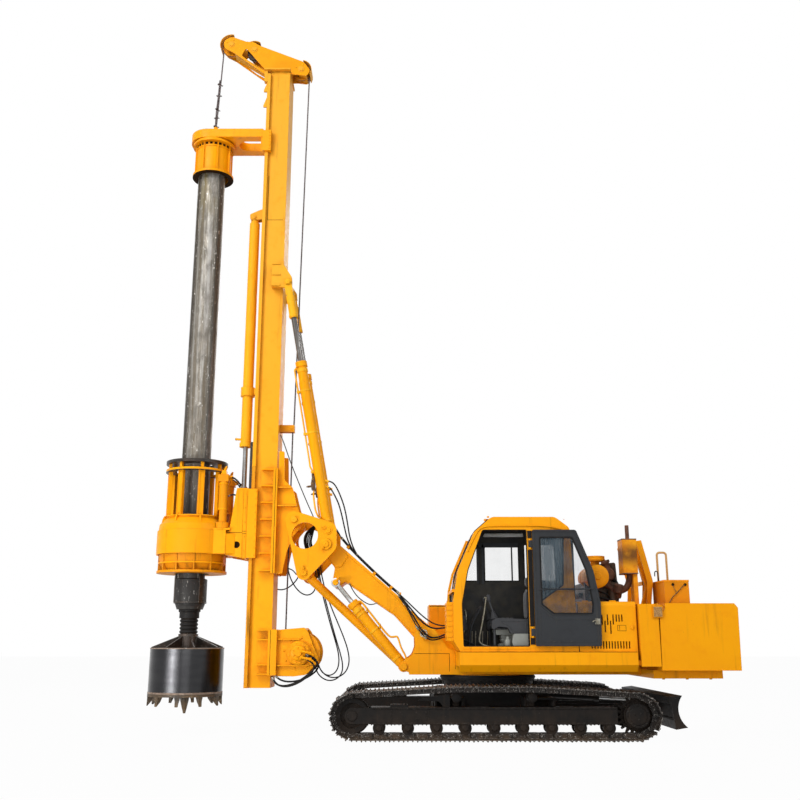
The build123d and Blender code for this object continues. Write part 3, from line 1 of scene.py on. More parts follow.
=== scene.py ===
import math
from math import cos, pi, radians, sin
import bmesh
import bpy
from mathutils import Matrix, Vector


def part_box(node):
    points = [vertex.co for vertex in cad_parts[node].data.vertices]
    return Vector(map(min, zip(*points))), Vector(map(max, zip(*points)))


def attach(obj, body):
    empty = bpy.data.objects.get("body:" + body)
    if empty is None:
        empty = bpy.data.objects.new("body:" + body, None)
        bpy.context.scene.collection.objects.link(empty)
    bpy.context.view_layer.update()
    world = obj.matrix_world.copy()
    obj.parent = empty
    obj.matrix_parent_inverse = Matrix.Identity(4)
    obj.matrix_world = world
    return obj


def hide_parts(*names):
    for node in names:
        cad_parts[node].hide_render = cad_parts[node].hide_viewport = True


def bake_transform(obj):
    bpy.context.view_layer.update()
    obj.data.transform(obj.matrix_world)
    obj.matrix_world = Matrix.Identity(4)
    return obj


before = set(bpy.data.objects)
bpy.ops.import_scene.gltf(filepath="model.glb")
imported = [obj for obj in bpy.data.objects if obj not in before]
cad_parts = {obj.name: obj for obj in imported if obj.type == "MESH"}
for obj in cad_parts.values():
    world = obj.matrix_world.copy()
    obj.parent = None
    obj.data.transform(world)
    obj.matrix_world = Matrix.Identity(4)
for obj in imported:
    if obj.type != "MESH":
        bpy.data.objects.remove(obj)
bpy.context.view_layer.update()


# ---- Camera --------------------------------------------------------------------------------------
# The rig is seen square from its left side, from a standing person's height, with a normal
# lens that looks a little upwards to take in the mast head.
SLEW_X = (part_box("slew_ring")[0].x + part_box("slew_ring")[1].x) / 2
eye = bpy.data.cameras.new("eye")
eye.lens, eye.sensor_width = 42.112, 36.0   # millimetres
eye.clip_end = 200.0
eye_object = bpy.data.objects.new("eye", eye)
away, eye_height, tilt = 13.4, 1.207, 14.38   # metres from the middle, metres up, degrees above level
eye_object.location = (SLEW_X + 1.2, away, eye_height)
eye_object.rotation_euler = (radians(90 + tilt), 0, radians(180))
bpy.context.scene.collection.objects.link(eye_object)
bpy.context.scene.camera = eye_object
bpy.context.scene.view_settings.view_transform = "Standard"


# ---- Studio: pale floor, white surroundings, soft lamps ------------------------------------------
# A seamless white studio: a big soft lamp high on the mast's side, a weaker one over the tail and
# a low fill keep the undersides deep. Three low strips draw the bright lines down the bucket.


class Wire:
    """A socket in a material; arithmetic on it adds Math nodes to the same material."""

    def __init__(self, tree, socket=None):
        self.tree, self.socket = tree, socket

    def node(self, kind, inputs=None, out=0, **settings):
        """Adds a shader node of this kind; out is the output that is passed on."""
        made = self.tree.nodes.new("ShaderNode" + kind)
        for key, value in settings.items():
            setattr(made, key, value)
        for key, value in (inputs or {}).items():
            socket = made.inputs[key]
            if isinstance(value, Wire):
                self.tree.links.new(value.socket, socket)
            elif socket.type == "RGBA":
                socket.default_value = (*value, 1)[:4]
            else:
                socket.default_value = value
        return Wire(self.tree, made.outputs[out] if made.outputs else None)

    def math(self, operation, other=0.0):
        return self.node("Math", {0: self, 1: other}, operation=operation)

    def __add__(self, other): return self.math("ADD", other)
    def __radd__(self, other): return self.math("ADD", other)
    def __sub__(self, other): return self.math("SUBTRACT", other)
    def __rsub__(self, other): return self.node("Math", {0: other, 1: self}, operation="SUBTRACT")
    def __mul__(self, other): return self.math("MULTIPLY", other)
    def __rmul__(self, other): return self.math("MULTIPLY", other)

    def between(self, low, high, start=0.0, end=1.0):
        """0 below low, 1 above high, smooth in between; or from start to end."""
        return self.node("MapRange", {0: self, 1: low, 2: high, 3: start, 4: end},
                         interpolation_type="SMOOTHSTEP")

    def mix(self, a, b, blend="MIX"):
        """Colour a where self is 0, colour b where it is 1."""
        made = self.node("Mix", {"Factor": self}, data_type="RGBA", blend_type=blend)
        mixer = made.socket.node
        for name, value in (("A", a), ("B", b)):
            socket = [s for s in mixer.inputs if s.name == name and s.type == "RGBA"][0]
            if isinstance(value, Wire):
                self.tree.links.new(value.socket, socket)
            else:
                socket.default_value = (*value, 1)
        return Wire(self.tree, [s for s in mixer.outputs if s.type == "RGBA"][0])


def seen_directly(w):
    """1 for a ray by which the eye sees the studio itself, also in a mirror or through glass."""
    path = w.tree.nodes.new("ShaderNodeLightPath")
    seen = Wire(w.tree, path.outputs["Is Camera Ray"])
    for name in ("Is Glossy Ray", "Is Transmission Ray"):
        seen = seen.math("MAXIMUM", Wire(w.tree, path.outputs[name]))
    return seen


world = bpy.data.worlds.new("studio")
bpy.context.scene.world = world
world.use_nodes = True
world.node_tree.nodes.clear()
studio = Wire(world.node_tree)
seen = seen_directly(studio)
ambient = studio.node("Background", {"Color": (0.93, 0.96, 1.0), "Strength": 0.42})
white = studio.node("Background", {"Color": (1, 1, 1), "Strength": 1.0})
both = studio.node("MixShader", {0: seen, 1: ambient, 2: white})
studio.node("OutputWorld", {"Surface": both})

for name, place, target, size, power, colour in (
    ("key", (9.0, 11.0, 14.0), (0.5, 0, 3.0), (7.0, 7.0), 1400.0, (1.0, 0.97, 0.92)),
    ("tail", (-9.0, 8.0, 9.0), (-1.0, 0, 1.5), (6.0, 6.0), 420.0, (0.95, 0.97, 1.0)),
    ("fill", (1.0, 14.0, 2.5), (0.5, 0, 2.5), (6.0, 6.0), 230.0, (1.0, 1.0, 1.0)),
    ("far", (2.0, -12.0, 10.0), (0.5, 0, 3.0), (7.0, 7.0), 700.0, (1.0, 1.0, 1.0)),
    ("strip_narrow", (7.46, 6.86, 0.72), (3.34, 0, 0.72), (1.6, 1.3), 105.0, (1.0, 1.0, 1.0)),
    ("strip_middle", (7.49, 6.9, 0.72), (3.34, 0, 0.72), (3.6, 1.3), 130.0, (1.0, 1.0, 1.0)),
    ("strip_wide", (7.52, 6.94, 0.72), (3.34, 0, 0.72), (5.8, 1.3), 110.0, (1.0, 1.0, 1.0)),
):
    lamp = bpy.data.lights.new(name, "AREA")
    lamp.shape, lamp.energy, lamp.color = "RECTANGLE", power, colour
    lamp.size, lamp.size_y = size
    lamp_object = bpy.data.objects.new(name, lamp)
    lamp_object.location = place
    lamp_object.rotation_euler = (Vector(target) - Vector(place)).to_track_quat("-Z", "Y").to_euler()
    bpy.context.scene.collection.objects.link(lamp_object)


def material(name, **fixed):
    """A new material: its wrapper for building nodes, and its Principled shader."""
    made = bpy.data.materials.new(name)
    made.use_nodes = True
    nodes = made.node_tree.nodes
    shader = nodes["Principled BSDF"]
    for key, value in fixed.items():
        socket = shader.inputs[key.replace("_", " ")]
        socket.default_value = (*value, 1) if socket.type == "RGBA" and len(value) == 3 else value
    return made, Wire(made.node_tree), shader


def feed(wire, shader, name):
    """Joins a value to one of the shader's varying sockets."""
    wire.tree.links.new(wire.socket, shader.inputs[name])


floor_mesh = bpy.data.meshes.new("floor")
floor_mesh.from_pydata([(-60, -60, -0.002), (60, -60, -0.002), (60, 60, -0.002), (-60, 60, -0.002)], [],
                       [(0, 1, 2, 3)])
floor = bpy.data.objects.new("floor", floor_mesh)
bpy.context.scene.collection.objects.link(floor)
floor_paint, w, shader = material("floor_paint", Roughness=0.9, Specular_IOR_Level=0.1)
shader.inputs["Base Color"].default_value = (0.42, 0.42, 0.42, 1)
seen = seen_directly(w)
glow = w.node("Emission", {"Color": (1, 1, 1), "Strength": 1.0})
lit = w.node("MixShader", {0: seen * 0.97, 1: Wire(w.tree, shader.outputs[0]), 2: glow})
w.tree.links.new(lit.socket, w.tree.nodes["Material Output"].inputs["Surface"])
floor_mesh.materials.append(floor_paint)


# ---- Paints and metals ---------------------------------------------------------------------------
# The steelwork is sprayed in one yellow over welded plate, with the running gear in black.
# Years of site work leave chips on the edges, rain streaks, oil near the pins and dust low down.


def srgb(red, green, blue):
    """A colour written as 0 to 255, as the linear values that a shader takes."""
    return tuple((c / 255 / 12.92) if c <= 10 else ((c / 255 + 0.055) / 1.055) ** 2.4 for c in (red, green, blue))


def place_on(w, stretch=(1, 1, 1)):
    """The place on the piece, in metres, stretched."""
    point = w.node("TexCoord", out="Object")
    if stretch == (1, 1, 1):
        return point
    return w.node("VectorMath", {0: point, 1: stretch}, operation="MULTIPLY")


def coordinate(w, axis):
    """How far along X, Y or Z the place is, in metres."""
    return w.node("SeparateXYZ", {0: place_on(w)}, out=axis)


def relief(w, shader, height, strength, depth, normal=None):
    """Raises and sinks the surface by a varying height, on top of a normal that is there already."""
    inputs = {"Strength": strength, "Distance": depth, "Height": height}
    feed(w.node("Bump", {**inputs, "Normal": normal} if normal else inputs), shader, "Normal")


def clouds(w, scale, low=0.35, high=0.65, stretch=(1, 1, 1), detail=4.0, rough=0.55):
    """Soft random patches, from 0 to 1."""
    noise = w.node("TexNoise", {"Vector": place_on(w, stretch), "Scale": scale, "Detail": detail,
                                          "Roughness": rough}, out="Fac")
    return noise.between(low, high)


def soft_edges(w, radius):
    """The normal with every edge rounded, and how near the place is to an edge."""
    rounded = w.node("Bevel", {"Radius": radius}, samples=4)
    flat = w.node("NewGeometry", out="Normal")
    same = w.node("VectorMath", {0: rounded, 1: flat}, out="Value", operation="DOT_PRODUCT")
    return rounded, (1 - same).between(0.02, 0.3)


def occlusion_shade(w, reach):
    """1 deep in a corner, 0 in the open, as ambient occlusion finds it: the mask for painted shade in corners."""
    shade = w.node("AmbientOcclusion", {"Distance": reach}, out="AO", samples=4)
    return (1 - shade).between(0.25, 0.85)


def painted(name, colour, deep, edge, dirt, gloss=0.42, edges=0.006, streaks=0.35, chips=0.5, grime_and_shade=0.6,
            dust=(0.0, 0.0), peel=0.12, shine=0.15, tone_by_height=None):
    """Sprayed steel: colour in the open, deep in old patches, edge where worn, dirt low down, and in corners a dirt
    colour that is both grime and painted shade.
    """
    made, w, shader = material(name, Metallic=0.0, Specular_IOR_Level=shine)
    rounded, rim = soft_edges(w, edges)
    corner = occlusion_shade(w, 0.16)
    faded = clouds(w, 1.1, 0.3, 0.7).mix(colour, tuple(0.6 * c + 0.4 * d for c, d in zip(colour, deep)))
    # the colour shifts towards another one between two heights; on the mast it grows paler higher up
    if tone_by_height:
        height = coordinate(w, "Z")
        faded = height.node("MapRange", {0: height, 1: tone_by_height[0], 2: tone_by_height[1]}).mix(faded, tone_by_height[2])
    blotched = (clouds(w, 7.0, 0.52, 0.74, detail=6.0) * 0.35).mix(faded, deep)
    rain = clouds(w, 3.0, 0.55, 0.8, stretch=(5, 5, 0.35), detail=5.0) * streaks
    streaked = rain.mix(blotched, dirt)
    # corners that ambient occlusion finds take the dirt colour: grime, and also painted shade where shade falls
    grimed_and_shaded = (corner * clouds(w, 9.0, 0.2, 0.7) * grime_and_shade).mix(streaked, dirt)
    specks = clouds(w, 46.0, 0.66, 0.72, detail=3.0) * clouds(w, 3.3, 0.5, 0.7) * chips
    worn = (rim * clouds(w, 24.0, 0.45, 0.62, detail=5.0) * chips).math("MAXIMUM", specks)
    chipped = worn.mix(grimed_and_shaded, edge)
    if dust[1] > dust[0]:
        height = coordinate(w, "Z")
        low = (1 - height.between(*dust)) * clouds(w, 5.0, 0.25, 0.7) * 0.6
        chipped = low.mix(chipped, dirt)
    feed(chipped, shader, "Base Color")
    feed((worn * 0.25 + corner * 0.25 + clouds(w, 14.0) * 0.1 + gloss).math("MINIMUM", 0.95), shader, "Roughness")
    peeled = clouds(w, 260.0, 0.3, 0.7, detail=2.0) * peel + clouds(w, 3.5, 0.3, 0.7) * 0.8 - worn * 0.4
    relief(w, shader, peeled, 0.35, 0.002, rounded)
    return made


def bare(name, colour, stain, bright, rough=0.4, metal=0.9, grain=(1, 1, 1), fleck=0.5, scale=14.0, edges=0.004,
         pits=0.5, low=None):
    """Bare steel: colour overall, stained in patches, bright where rubbed."""
    made, w, shader = material(name)
    rounded, rim = soft_edges(w, edges)
    blot = clouds(w, scale * 0.25, 0.35, 0.65, stretch=grain, detail=6.0)
    marks = clouds(w, scale, 0.5, 0.68, stretch=grain, detail=6.0, rough=0.7)
    rubbed = (rim * clouds(w, 30.0, 0.35, 0.6) + clouds(w, scale * 2.2, 0.6, 0.68, stretch=grain, detail=3.0)
              * fleck).math("MINIMUM", 1.0)
    base = (marks * 0.7).mix((blot * 0.8).mix(colour, stain), tuple(c * 0.45 for c in colour))
    if low:
        height = coordinate(w, "Z")
        base = ((1 - height.between(low[0], low[1])) * clouds(w, 9.0, 0.3, 0.7) * 0.8).mix(base, low[2])
    feed(rubbed.mix(base, bright), shader, "Base Color")
    feed((rubbed * 0.5 + (1 - blot) * 0.5) * (metal * 0.5) + metal * 0.5, shader, "Metallic")
    feed(marks * 0.18 + blot * 0.12 + (rough - 0.1) - rubbed * 0.12, shader, "Roughness")
    pitted = clouds(w, scale * 6, 0.4, 0.7, stretch=grain) * pits - marks * 0.6
    relief(w, shader, pitted, 0.4, 0.002, rounded)
    return made


def wear(piece, *finishes):
    """Puts finishes on a piece, or on a CAD node by its name."""
    if isinstance(piece, str):
        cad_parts[piece].material_slots[0].material = finishes[0]
        return
    for finish in finishes:
        piece.data.materials.append(finish)


YELLOW, AMBER, MUD, PRIMER = srgb(255, 171, 0), srgb(243, 149, 0), srgb(104, 60, 16), srgb(104, 62, 30)
yellow = painted("yellow_enamel", YELLOW, AMBER, PRIMER, MUD, gloss=0.38)
yellow_low = painted("yellow_enamel_soiled", srgb(248, 160, 6), srgb(206, 118, 8), PRIMER, srgb(70, 44, 20),
                     gloss=0.45, streaks=0.6, chips=0.85, grime_and_shade=0.9)
yellow_pale = painted("yellow_enamel_faded", srgb(255, 186, 34), srgb(246, 162, 10), srgb(120, 74, 34),
                      srgb(104, 66, 26), gloss=0.48, streaks=0.4, chips=0.7, grime_and_shade=0.75)
yellow_tall = painted("yellow_enamel_toned_by_height", YELLOW, AMBER, PRIMER, MUD, gloss=0.42, streaks=0.3, grime_and_shade=0.7,
                      tone_by_height=(1.5, 6.5, srgb(244, 174, 42)))
black_paint = painted("running_gear_black", srgb(19, 17, 16), srgb(11, 10, 9), srgb(104, 98, 92), srgb(60, 48, 38),
                      shine=0.14, gloss=0.5, streaks=0.3, chips=0.8, grime_and_shade=0.8, dust=(0.05, 0.5))


# ---- Free hydraulic hoses ------------------------------------------------------------------------
# Steel-braided rubber hose with crimped ends, hung slack between two clamps or fittings so that
# the boom, the link head and the mast can fold. Each follows the line that its own weight gives.


def circle(count, spin=0.0):
    """The angles of so many places at equal steps round a circle."""
    return [spin + 2 * pi * n / count for n in range(count)]


def untwisted(line):
    """Each point of a line with two directions square to it that don't turn round it on the way."""
    line, across = [Vector(point) for point in line], None
    for n, here in enumerate(line):
        along = (line[min(n + 1, len(line) - 1)] - line[max(n - 1, 0)]).normalized()
        across = along.orthogonal() if across is None else across - along * across.dot(along)
        across = across.normalized()
        yield here, across, along.cross(across)


class Work:
    """A piece in the making: simple forms gathered into one mesh."""

    def __init__(self, name):
        self.name, self.mesh, self.finish = name, bmesh.new(), 0

    def skin(self, rings, wrapped=False):
        """A skin over rings of points, each ring closed on itself."""
        rows = [[self.mesh.verts.new(point) for point in ring] for ring in rings]
        made = []
        count = len(rows[0])
        for here, there in zip(rows, rows[1:] + rows[:1] if wrapped else rows[1:]):
            for n in range(count):
                made.append(self.mesh.faces.new((here[n], here[(n + 1) % count], there[(n + 1) % count], there[n])))
        if not wrapped:
            made += [self.mesh.faces.new(rows[0][::-1]), self.mesh.faces.new(rows[-1])]
        for face in made:
            face.material_index, face.smooth = self.finish, True
        return self

    def block(self, low, high):
        """A block between two opposite corners, given in either order."""
        low, high = zip(*(sorted(pair) for pair in zip(low, high)))
        return self.plate([(low[0], low[2]), (high[0], low[2]), (high[0], high[2]), (low[0], high[2])], low[1],
                          high[1])

    def plate(self, corners, low, high, across="Y"):
        """A plate with this outline, from low to high across the machine or along another axis."""
        seat = {"X": lambda a, b, depth: (depth, a, b), "Y": lambda a, b, depth: (a, depth, b),
                "Z": lambda a, b, depth: (a, b, depth)}[across]
        return self.skin([[seat(a, b, depth) for a, b in corners] for depth in sorted((low, high))])

    def turned(self, profile, start, axis, sides=24, closed=False, spin=0.0):
        """A turned form: (distance along the axis, radius) pairs from start."""
        start, axis = Vector(start), Vector(axis).normalized()
        side = axis.orthogonal().normalized()
        other = axis.cross(side)
        rings = []
        for along, radius in profile:
            rings.append([start + axis * along + (side * cos(a) + other * sin(a)) * radius
                          for a in circle(sides, spin)])
        return self.skin(rings, wrapped=closed)

    def ring(self, inner, outer, depth, start, axis, sides):
        """A flat turned ring, open in the middle."""
        return self.turned([(0, inner), (0, outer), (depth, outer), (depth, inner)], start, axis, sides, closed=True)

    def rod(self, start, end, radius, sides=16):
        start, end = Vector(start), Vector(end)
        return self.turned([(0, radius), ((end - start).length, radius)], start, end - start, sides)

    def tube(self, line, radius, sides=10, swell=(1.0,)):
        """A round tube along a line of points; more than one swell makes it thick and thin by turns."""
        return self.skin([[here + (across * cos(a) + other * sin(a)) * (radius * swell[n % len(swell)])
                           for a in circle(sides)] for n, (here, across, other) in enumerate(untwisted(line))])

    def pipe(self, points, radius, sides=10):
        """A round pipe bent through its control points."""
        return self.tube(hung_line(points), radius, sides)

    def bolt(self, place, axis, size=0.016):
        """A hexagon head on a washer."""
        self.turned([(0, size * 1.15), (size * 0.18, size * 1.15)], place, axis, 14)
        return self.turned([(size * 0.18, size * 0.9), (size * 0.62, size * 0.9), (size * 0.75, size * 0.72)], place,
                           axis, 6, spin=size * 900)

    def done(self, body, *finishes, replaces=(), slot="yellow_paint", blend=None):
        bmesh.ops.recalc_face_normals(self.mesh, faces=self.mesh.faces)
        data = bpy.data.meshes.new(self.name)
        self.mesh.to_mesh(data)
        self.mesh.free()
        data.set_sharp_from_angle(angle=radians(35))
        piece = bpy.data.objects.new(self.name, data)
        bpy.context.scene.collection.objects.link(piece)
        wear(piece, *finishes)
        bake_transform(piece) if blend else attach(piece, body)
        if replaces:
            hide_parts(*replaces)
        return piece


def X(x):
    """A distance forward of the slewing axis, as it lies in the model."""
    return x + SLEW_X


def P(x, y, z):
    """A place measured from the foot of the slewing axis, as it lies in the model."""
    return (x + SLEW_X, y, z)


def hung_line(points):
    """The smooth line that a hose takes between its clamps, from its control points."""
    curve = bpy.data.curves.new("line", "CURVE")
    curve.dimensions, curve.resolution_u = "3D", 10
    spline = curve.splines.new("NURBS")
    spline.points.add(len(points) - 1)
    for point, place in zip(spline.points, points):
        point.co = (*place, 1.0)
    spline.order_u, spline.use_endpoint_u = 3, True
    holder = bpy.data.objects.new("line", curve)
    bpy.context.scene.collection.objects.link(holder)
    flat = bpy.data.meshes.new_from_object(holder)
    line = [vertex.co.copy() for vertex in flat.vertices]
    bpy.data.objects.remove(holder)
    bpy.data.curves.remove(curve)
    bpy.data.meshes.remove(flat)
    return line


def hose(name, points, thick, body, replaces=(), blend=None):
    """One hose with a crimped steel ferrule at each end."""
    line = hung_line([P(*point) for point in points])
    work = Work(name).tube(line, thick / 2, 12)
    work.finish = 1
    for end, inward in ((line[0], line[2] - line[0]), (line[-1], line[-3] - line[-1])):
        work.turned([(0, thick * 0.42), (thick * 0.2, thick * 0.58), (thick * 1.6, thick * 0.58),
                     (thick * 1.8, thick * 0.5)],
                    end, inward, 14)
    piece = work.done(body, rubber, zinc, replaces=replaces, slot="rubber", blend=blend)
    length = sum((b - a).length for a, b in zip(line, line[1:]))
    tuple(line[0])
    [tuple(point) for point in line]
    return piece


rubber = painted("hose_rubber", srgb(24, 23, 23), srgb(15, 14, 14), srgb(46, 43, 40), srgb(66, 56, 46), gloss=0.5,
                 edges=0.002, streaks=0.2, chips=0.35, grime_and_shade=0.5, peel=0.3)
zinc = bare("zinc_plate", srgb(150, 146, 132), srgb(110, 100, 76), srgb(210, 208, 200), rough=0.35, scale=40.0,
            edges=0.002)

MAST_PIN = P(2.665, 0.0, 2.819)
inner, outer = -0.394, -0.416
for number, points in enumerate((
    [(x, inner, z) for x, z in ((2.412, 2.3), (2.4, 2.17), (2.36, 1.99), (2.306, 1.8), (2.25, 1.6), (2.19, 1.4),
                                (2.13, 1.215), (2.08, 1.05), (2.062, 0.9), (2.095, 0.775), (2.19, 0.712),
                                (2.29, 0.745), (2.352, 0.84), (2.372, 0.93))],
    [(x, outer, z) for x, z in ((2.392, 2.3), (2.382, 2.165), (2.34, 1.985), (2.284, 1.79), (2.224, 1.58),
                                (2.164, 1.375), (2.104, 1.185), (2.05, 1.02), (2.012, 0.87), (2.022, 0.745),
                                (2.105, 0.662), (2.225, 0.645), (2.335, 0.705), (2.396, 0.8), (2.412, 0.89))],
    [(2.364, -0.405, 2.3), (2.35, -0.405, 2.17), (2.306, -0.408, 1.985), (2.246, -0.418, 1.8), (2.17, -0.432, 1.61),
     (2.088, -0.442, 1.43), (2.01, -0.447, 1.25), (1.945, -0.449, 1.075), (1.918, -0.449, 0.905),
     (1.965, -0.448, 0.765), (2.075, -0.447, 0.69), (2.2, -0.446, 0.69), (2.31, -0.443, 0.76), (2.366, -0.438, 0.86)],
), 1):
    hose(f"winch_hose_{number}", points, 0.018, ("link_head", "mast"), ("winch_hoses",),
         blend=((*MAST_PIN[:2], 2.25), (*MAST_PIN[:2], 0.95)))
for number, points in enumerate((
    [(x, inner, z) for x, z in ((2.63, 2.3), (2.64, 2.175), (2.69, 2.06), (2.765, 1.975), (2.85, 1.92), (2.94, 1.905),
                                (3.02, 1.925))],
    [(x, outer, z) for x, z in ((2.448, 2.3), (2.438, 2.2), (2.414, 2.085), (2.412, 1.965), (2.455, 1.866),
                                (2.545, 1.826), (2.65, 1.872), (2.74, 1.975), (2.806, 2.105), (2.84, 2.25),
                                (2.846, 2.4))],
), 1):
    hose(f"link_hose_{number}", points, 0.018, ("link_head", "mast"), ("link_hoses",),
         blend=(P(2.45, 0, 2.1), P(2.95, 0, 2.1)))
for number, side in enumerate((0.1, 0.146), 1):
    hose(f"boom_hose_{number}",
         [(x, side, z) for x, z in ((2.03, 2.596), (1.93, 2.48), (1.815, 2.36), (1.69, 2.238), (1.56, 2.115),
                                    (1.42, 1.99), (1.3, 1.888), (1.216, 1.822))], 0.018, "boom", ("boom_hoses",))
for number, points in enumerate((
    [(0.5273, 0.45, 1.252), (0.6, 0.455, 1.252), (0.69, 0.47, 1.215), (0.79, 0.485, 1.2), (0.89, 0.49, 1.262),
     (0.965, 0.482, 1.365), (1.03, 0.455, 1.48), (1.085, 0.4, 1.59), (1.14, 0.32, 1.69), (1.216, 0.255, 1.78)],
    [(0.5273, 0.44, 1.392), (0.6, 0.44, 1.392), (0.69, 0.446, 1.4), (0.79, 0.452, 1.44), (0.9, 0.446, 1.522),
     (1.01, 0.41, 1.625), (1.12, 0.34, 1.735), (1.225, 0.27, 1.83)],
), 1):
    hose(f"cab_hose_{number}", points, 0.018, ("upper", "boom"), ("cab_hoses",),
         blend=(P(0.7, 0, 1.3), P(1.05, 0, 1.5)))


# ---- Tracks --------------------------------------------------------------------------------------
# Each track is a chain of forged links on pins and bushes, with a rolled triple-bar shoe bolted
# to every link. The bars are rubbed bright at their tips and packed with soil and rust elsewhere.
IDLER, SPROCKET, CARRIERS = (1.79, 0.3, 0.205), (-1.73, 0.3, 0.205), ((0.498, 0.515, 0.06), (-0.444, 0.515, 0.06))
TRACK_MIDDLE, PITCH = 1.15, 0.171


def chain_loop(outside):
    """The closed line of the chain, this far outside the wheels' treads, as points a step apart."""
    points = sorted((x + (r + outside) * cos(a), z + (r + outside) * sin(a))
                    for x, z, r in (IDLER, SPROCKET, *CARRIERS) for a in circle(720))
    halves = []
    for order in (points, points[::-1]):
        half = []
        for p in order:
            while len(half) > 1 and ((half[-1][0] - half[-2][0]) * (p[1] - half[-2][1])
                                     - (half[-1][1] - half[-2][1]) * (p[0] - half[-2][0])) <= 0:
                half.pop()
            half.append(p)
        halves += half[:-1]
    return [Vector(P(x, 0, z)) for x, z in halves]


def steps_along(line, count):
    """count places at equal steps round a closed line."""
    legs = [(b - a).length for a, b in zip(line, line[1:] + line[:1])]
    total, walked, leg, places = sum(legs), 0.0, 0, []
    for n in range(count):
        target = total * n / count
        while walked + legs[leg] < target:
            walked += legs[leg]
            leg += 1
        here, there = line[leg], line[(leg + 1) % len(line)]
        places.append(here.lerp(there, (target - walked) / legs[leg]))
    return places


track_steel = bare("track_steel", srgb(24, 20, 17), srgb(44, 33, 24), srgb(206, 200, 192), rough=0.6, metal=0.4,
                   fleck=0.5, scale=20.0, edges=0.005, pits=0.9, low=(0.02, 0.13, srgb(84, 64, 42)))
PIN_LINE = 0.032
chain = chain_loop(PIN_LINE)
SHOES = round(sum((b - a).length for a, b in zip(chain, chain[1:] + chain[:1])) / PITCH)
pins = steps_along(chain, SHOES)
for side, node in ((1, "track_left"), (-1, "track_right")):
    work = Work(f"{node}_chain")
    middle = side * TRACK_MIDDLE
    for here, there in zip(pins, pins[1:] + pins[:1]):
        along = (there - here).normalized()
        out = Vector((along.z, 0, -along.x))
        reach = (there - here).length

        def spot(a, up, y, here=here, along=along, out=out):
            return here + along * a + out * up + Vector((0, y, 0))

        def bar(profile, low, high):
            work.skin([[spot(a, up, middle + low) for a, up in profile],
                       [spot(a, up, middle + high) for a, up in profile]])

        # shoe: plate with turned-down front lip, three bars with clipped ends
        top = 0.063 - PIN_LINE
        bar([(-0.004, top - 0.006), (0.01, top), (reach - 0.012, top), (reach - 0.002, top + 0.004),
             (reach - 0.002, top + 0.012), (reach - 0.014, top + 0.01), (0.012, top + 0.01), (-0.004, top + 0.003)],
            -0.248, 0.248)
        for start, tall in ((0.006, 0.031), (0.066, 0.027), (0.126, 0.027)):
            foot = [(start - 0.004, top + 0.009), (start + 0.021, top + 0.009), (start + 0.014, top + tall),
                    (start + 0.004, top + tall)]
            cut = [(start - 0.004, top + 0.009), (start + 0.021, top + 0.009), (start + 0.014, top + 0.016),
                   (start + 0.004, top + 0.016)]
            work.skin([[spot(a, up, middle + y) for a, up in shape]
                       for y, shape in ((-0.246, cut), (-0.224, foot), (0.224, foot), (0.246, cut))])
        # two rows of shoe bolts
        for y in (-0.088, -0.022, 0.022, 0.088):
            for a in (0.048, 0.106):
                work.turned([(0, 0.011), (0.008, 0.011)], spot(a, top + 0.01, middle + y), out, 6)
        # links: bodies either side, with bosses at both pins
        for low, high in ((0.036, 0.056), (-0.056, -0.036)):
            bar([(-0.03, -0.018), (-0.018, -0.031), (reach * 0.55, -0.031), (reach * 0.55, top), (0.0, top),
                 (-0.03, 0.012)], low, high)
        for low, high in ((0.054, 0.074), (-0.074, -0.054)):
            bar([(reach * 0.35, -0.031), (reach + 0.016, -0.031), (reach + 0.03, -0.018), (reach + 0.03, 0.012),
                 (reach, top), (reach * 0.35, top)], low, high)
        work.rod(here + Vector((0, middle - 0.08, 0)), here + Vector((0, middle + 0.08, 0)), 0.017, 12)
        work.rod(here + Vector((0, middle - 0.036, 0)), here + Vector((0, middle + 0.036, 0)), 0.026, 14)
    work.done("undercarriage", track_steel, replaces=(node,), slot="track_steel")


# ---- Running gear and chassis --------------------------------------------------------------------
# Channel-section track frames with flanged rollers under them, a bolted sprocket on the travel
# motor's hub at the rear and a spring-loaded idler in front, all welded to a box chassis.


def outline(*corners):
    """The corners of an upright or flat shape, the first of each measured from the slewing axis."""
    return [(X(x), other) for x, other in corners]


def ring_of_bolts(work, middle, axis, radius, count, size, spin=0.0):
    """Bolts set round a circle, heads pointing along the axis."""
    middle, axis = Vector(middle), Vector(axis).normalized()
    side = axis.orthogonal().normalized()
    other = axis.cross(side)
    for a in circle(count, spin):
        work.bolt(middle + (side * cos(a) + other * sin(a)) * radius, axis, size)


def weld(work, points, size=0.006):
    """A weld bead laid along a line, with the ripples that a stick electrode leaves."""
    points = [Vector(p) for p in points]
    line = []
    for a, b in zip(points, points[1:]):
        count = max(2, int((b - a).length / 0.016))
        for n in range(count):
            line.append(a.lerp(b, n / count))
    line.append(points[-1])
    work.tube(line, size, 6, swell=(0.82, 1.12))


